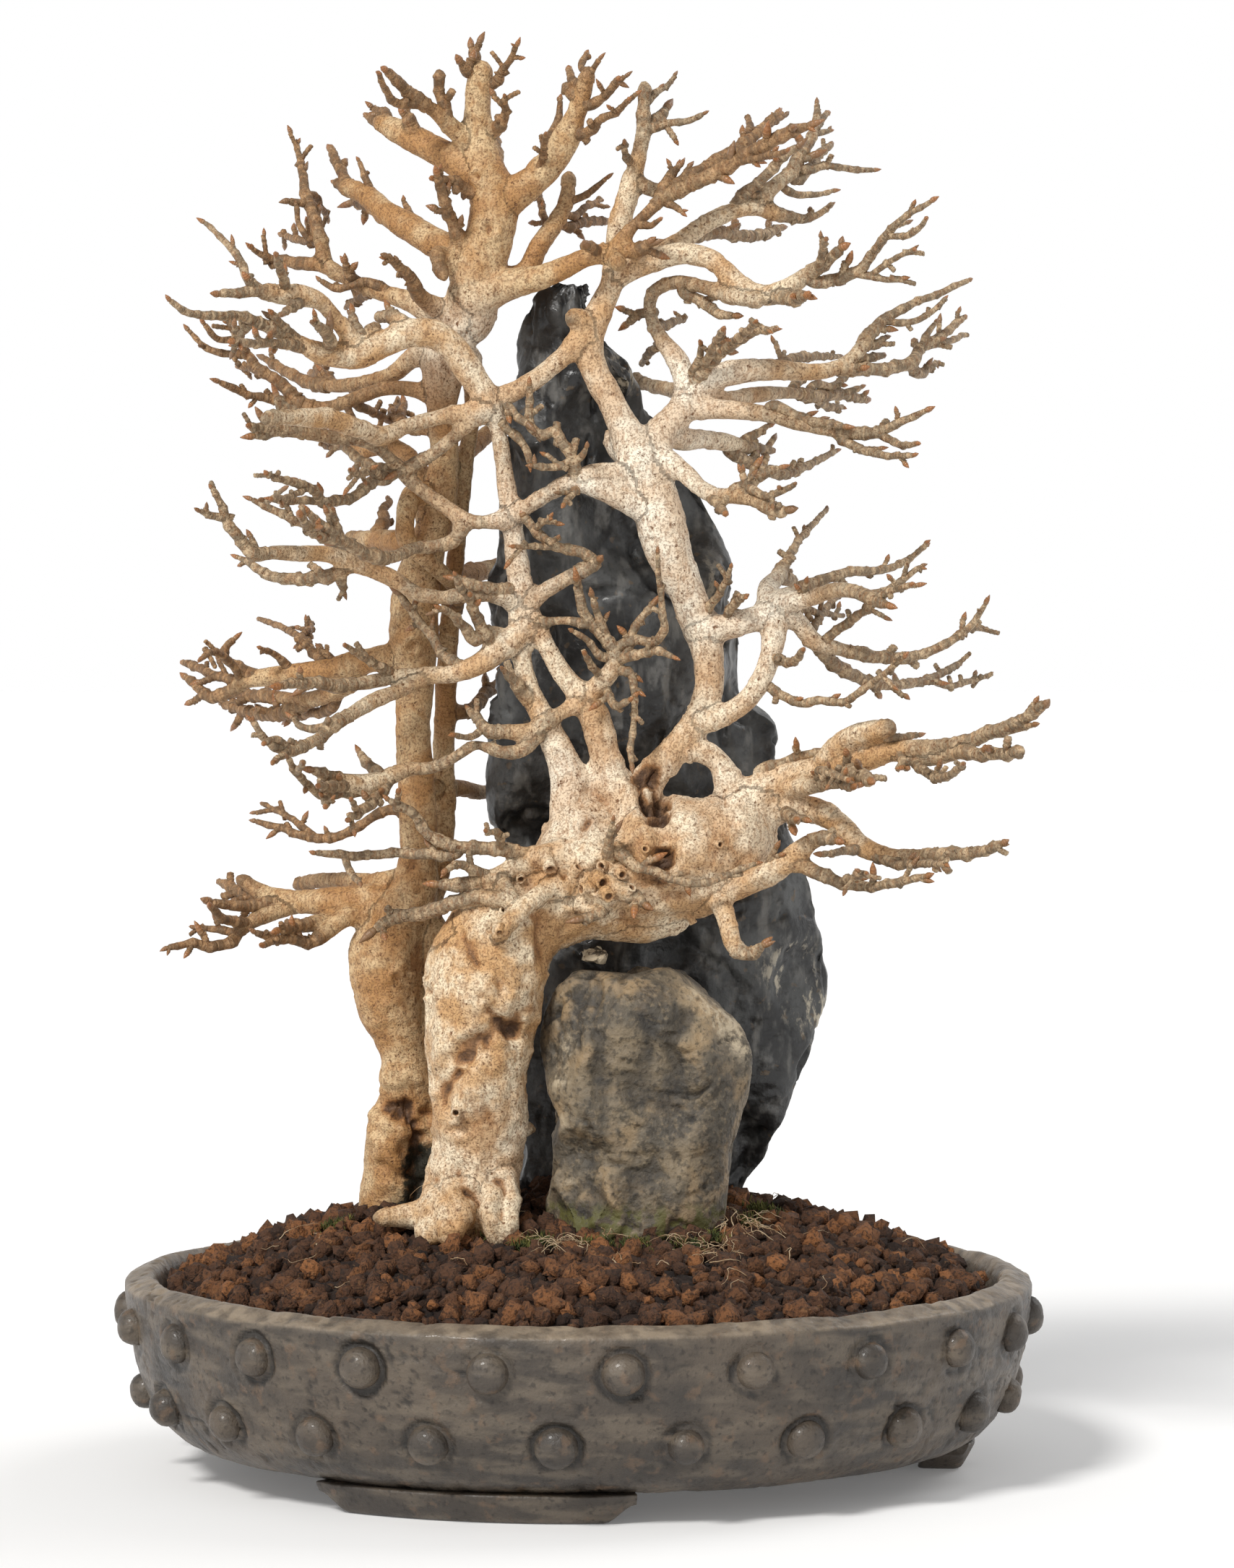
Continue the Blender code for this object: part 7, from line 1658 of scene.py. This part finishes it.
# %% [markdown]
# ### Stone finishes
# The dark stone is nearly black where water has polished it and dusty grey on its flats, with cream
# veins in a few places. The boulder is a warmer grey, blotched with ochre, pale on its worn edges.
# Both are painted near black in their creases and pits as shade.

# %% stone finishes
dark = Finish("dark_stone", roughness=0.45, coat=0.1)
film = dark.noise(19, 6, 2.0).steps(0.40, 0.64)
sand = dark.noise(2.4, 5, 5.0)
ledge = dark.noise(6.5, 6, 8.0, stretch=(1, 1, 1.8))
rain = dark.noise(8, 6, 6.1, stretch=(0.8, 0.8, 2.6)).steps(0.54, 0.70)
streak = dark.noise(4.5, 7, 3.3, stretch=(1, 1, 2.2), power=0.65).steps(0.46, 0.62) * dark.value("vein")
stone = dark.layered(dark.blend(film, (0.016, 0.016, 0.016), (0.082, 0.084, 0.083)), [
    (ledge.steps(0.54, 0.70) * 0.8, (0.150, 0.148, 0.140)),
    (sand.steps(0.50, 0.72) * 0.6, (0.008, 0.008, 0.009)),
    (dark.noise(4.2, 4, 1.5).steps(0.63, 0.70) * 0.45, (0.16, 0.10, 0.045)),
    # painted shade: near black in the creases and pits
    (dark.value("deep") * 0.9, (0.005, 0.005, 0.005)),
    (rain * 0.6, (0.20, 0.195, 0.18)),
    (streak.steps(0.1, 0.8) * 0.9, (0.54, 0.48, 0.37)),
])
DARK_STONE = dark.finish(stone, 0.22 + 0.34 * ledge + 0.16 * film, sand * 0.6 + ledge * 0.6, 0.9)

grey = Finish("grey_stone", roughness=0.7)
cloud = grey.noise(21, 6, 2.0).steps(0.40, 0.62)
sand = grey.noise(1.9, 5, 5.0)
rub = (grey.noise(5, 6, 4.4, power=0.65).steps(0.36, 0.62) * grey.value("vein")).steps(0.12, 0.9)
green = (grey.value("moss") * grey.noise(4, 4, 7.0).steps(0.35, 0.6)).steps(0.1, 0.6)
stone = grey.layered(grey.blend(cloud, (0.085, 0.070, 0.050), (0.210, 0.162, 0.102)), [
    (grey.noise(14, 5, 6.5).steps(0.50, 0.66) * 0.75, (0.34, 0.235, 0.125)),
    (grey.noise(17, 5, 9.5).steps(0.50, 0.66) * 0.7, (0.050, 0.044, 0.037)),
    (grey.noise(2.4, 5, 3.5, power=0.6).steps(0.50, 0.66) * 0.4, (0.30, 0.225, 0.135)),
    (sand.steps(0.50, 0.66) * 0.6, (0.022, 0.018, 0.013)),
    (rub * 0.85, (0.52, 0.43, 0.30)),
    # painted shade: near black in the creases and pits
    (grey.value("deep") * 0.7, (0.014, 0.012, 0.010)),
    (green * 0.85, (0.10, 0.095, 0.022)),
])
GREY_STONE = grey.finish(stone, 0.5 + 0.3 * sand, sand * 0.6 + grey.noise(5, 5, 8.8) * 0.9, 1.3)

# %% the stones
TALL_VEINS = [((20, 8, 378), 12), ((47, 6, 322), 12), ((76, 18, 170), 13), ((62, 12, 212), 9),
              ((50, 5, 300), 9), ((84, 30, 152), 11), ((10, 40, 300), 15), ((-25, 40, 200), 12),
              ((30, 60, 150), 16), ((-24, 12, 230), 8)]
grid = shaved(loft(TALL_SLICES, rows=300, sides=215), count=130, reach=42, deepest=3.2, seed=27)
grid, moved = weathered(grid, crease=2.6, pit=1.15, seed=200)
points, quads, triangles = facing_out(closed_grid(grid))
poles = np.zeros(2)
values = {
    # How deep a point lies in a crease or pit; the stone finishes paint it near black there as shade.
    "deep": np.concatenate([smooth_step(-1.0, -3.0, moved), poles]),
    "vein": spots(points, TALL_VEINS) * 0.9 + 0.05,
}
TALL = make_piece("tall_stone", points, [quads, triangles], DARK_STONE, values)

BOULDER_EDGES = [((41, -26, 163), 9), ((55, -24, 148), 8), ((48, -28, 156), 7), ((-6, -34, 150), 6),
                 ((-8, -34, 138), 6), ((-8, -36, 122), 5), ((58, -10, 134), 7), ((-4, -36, 104), 5)]
grid = shaved(loft(BOULDER_SLICES, rows=170, sides=210), count=60, reach=30, deepest=1.8, seed=9)
grid, moved = weathered(grid, crease=1.8, pit=1.1, seed=300)
points, quads, triangles = facing_out(closed_grid(grid))
values = {
    "deep": np.concatenate([smooth_step(-0.7, -2.0, moved), poles]),
    "vein": spots(points, BOULDER_EDGES),
    "moss": smooth_step(101, 84, points[:, 2]),
}
BOULDER = make_piece("front_stone", points, [quads, triangles], GREY_STONE, values)

CHIP_PROFILE = [(2.6, -4.2), (4.6, -3.7), (5.3, -2.0), (5.6, 0.0), (5.3, 2.0), (4.4, 3.1), (2.4, 3.5)]
CHIP_X, CHIP_HEIGHT, CHIP_DEPTH = np.array((5.2, 177.9, -15.5))
chip = turned_grid(CHIP_PROFILE, 40) + at_depth(CHIP_X, CHIP_HEIGHT, CHIP_DEPTH)
chip = shaved(chip, count=14, reach=11, deepest=1.3, seed=12)
chip, _ = weathered(chip, crease=0.25, pit=0.15, seed=400)
points, quads, triangles = facing_out(closed_grid(chip))
values = {"deep": np.zeros(len(points)), "vein": np.full(len(points), 2.5), "moss": np.zeros(len(points))}
WEDGE = make_piece("wedge_chip", points, [quads, triangles], GREY_STONE, values)

# %% [markdown]
# ## Which solid each piece stands for
# The collision solids stay in the model, hidden. The screens and clips under the grit keep their own
# shapes and only need a plain plastic and a plain wire.

# %% hidden solids and small fittings
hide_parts("left_tree")
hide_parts("front_tree")
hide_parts("pot")
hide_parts("soil_bed")
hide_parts("tall_rock")
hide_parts("front_boulder")
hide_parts("wedge_stone")

plastic = Finish("screen_plastic", roughness=0.55)
grit_dust = plastic.noise(1.6, 3).steps(0.5, 0.72)
dusty = plastic.blend(grit_dust * 0.4, (0.02, 0.075, 0.035), (0.10, 0.06, 0.03))
PLASTIC = plastic.finish(dusty, 0.45 + grit_dust * 0.3)
wire = Finish("clip_wire", roughness=0.35)
wire.shader.inputs["Metallic"].default_value = 1.0
dull = wire.noise(2.4, 3).steps(0.45, 0.7)
WIRE = wire.finish(wire.blend(dull, (0.62, 0.62, 0.63), (0.34, 0.33, 0.32)), 0.3 + dull * 0.3)
for name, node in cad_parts.items():
    for start, finish in (("drain_mesh", PLASTIC), ("mesh_clip", WIRE)):
        if name.startswith(start):
            node.data.materials.clear()
            node.data.materials.append(finish)

# %% [markdown]
# ## Floor, light and camera
# A product is shown on a plain pale sweep under broad soft lights, with one stronger side so that bark
# and studs keep their relief. The floor is a wide sheet. The sky is white at the horizon, so that no
# line shows behind the floor, and dimmer higher up.

# %% studio
FLOOR_REACH = 6.0
AIM_HEIGHT = 236.9
floor_mesh = bpy.data.meshes.new("floor")
corners = [(x * FLOOR_REACH, y * FLOOR_REACH, 0) for x, y in ((-1, -1), (1, -1), (1, 1), (-1, 1))]
floor_mesh.from_pydata(corners, [], [(0, 1, 2, 3)])
floor = bpy.data.objects.new("floor", floor_mesh)
bpy.context.scene.collection.objects.link(floor)
paper = Finish("floor_paper", roughness=0.9)
paper.shader.inputs["Emission Color"].default_value = (1.0, 1.0, 1.0, 1.0)
paper.shader.inputs["Emission Strength"].default_value = 0.1
sheet_colour = paper.blend(paper.noise(90, 2) * 0.2, (0.86, 0.86, 0.86), (0.84, 0.84, 0.84))
floor_mesh.materials.append(paper.finish(sheet_colour))

world = bpy.data.worlds.new("studio")
bpy.context.scene.world = world
world.use_nodes = True
sky = world.node_tree.nodes
wires = world.node_tree.links
direction = sky.new("ShaderNodeTexCoord")
parts = sky.new("ShaderNodeSeparateXYZ")
band = sky.new("ShaderNodeMapRange")
band.interpolation_type = "SMOOTHSTEP"
for key, value in {"From Min": 0.14, "From Max": 0.6, "To Min": 1.0, "To Max": 0.34}.items():
    band.inputs[key].default_value = value
wires.new(direction.outputs["Generated"], parts.inputs[0])
wires.new(parts.outputs["Z"], band.inputs["Value"])
wires.new(band.outputs[0], sky["Background"].inputs["Strength"])
sky["Background"].inputs["Color"].default_value = (1.0, 1.0, 1.0, 1.0)


def add_light(name, place, power, spread, colour=(1.0, 1.0, 1.0)):
    """A far soft light from this direction, as wide as this angle, which lights the floor evenly."""
    light = bpy.data.lights.new(name, "SUN")
    light.energy, light.angle, light.color = power, spread, colour
    lamp = bpy.data.objects.new(name, light)
    lamp.location = place
    lamp.rotation_euler = (-Vector(place)).to_track_quat("-Z", "Y").to_euler()
    bpy.context.scene.collection.objects.link(lamp)


add_light("key", (-0.75, -1.1, 1.25), 2.6, math.radians(14), (1.0, 0.985, 0.96))
add_light("fill", (1.2, 0.9, 1.3), 0.7, math.radians(30))

camera = bpy.data.cameras.new("camera")
camera.sensor_width = 36.0
camera.lens = 165.9
viewer = bpy.data.objects.new("camera", camera)
viewer.location = EYE * MM
viewer.rotation_euler = (math.atan2(-EYE[1], EYE[2] - AIM_HEIGHT), 0.0, 0.0)
bpy.context.scene.collection.objects.link(viewer)
bpy.context.scene.camera = viewer
bpy.context.scene.view_settings.view_transform = "Standard"
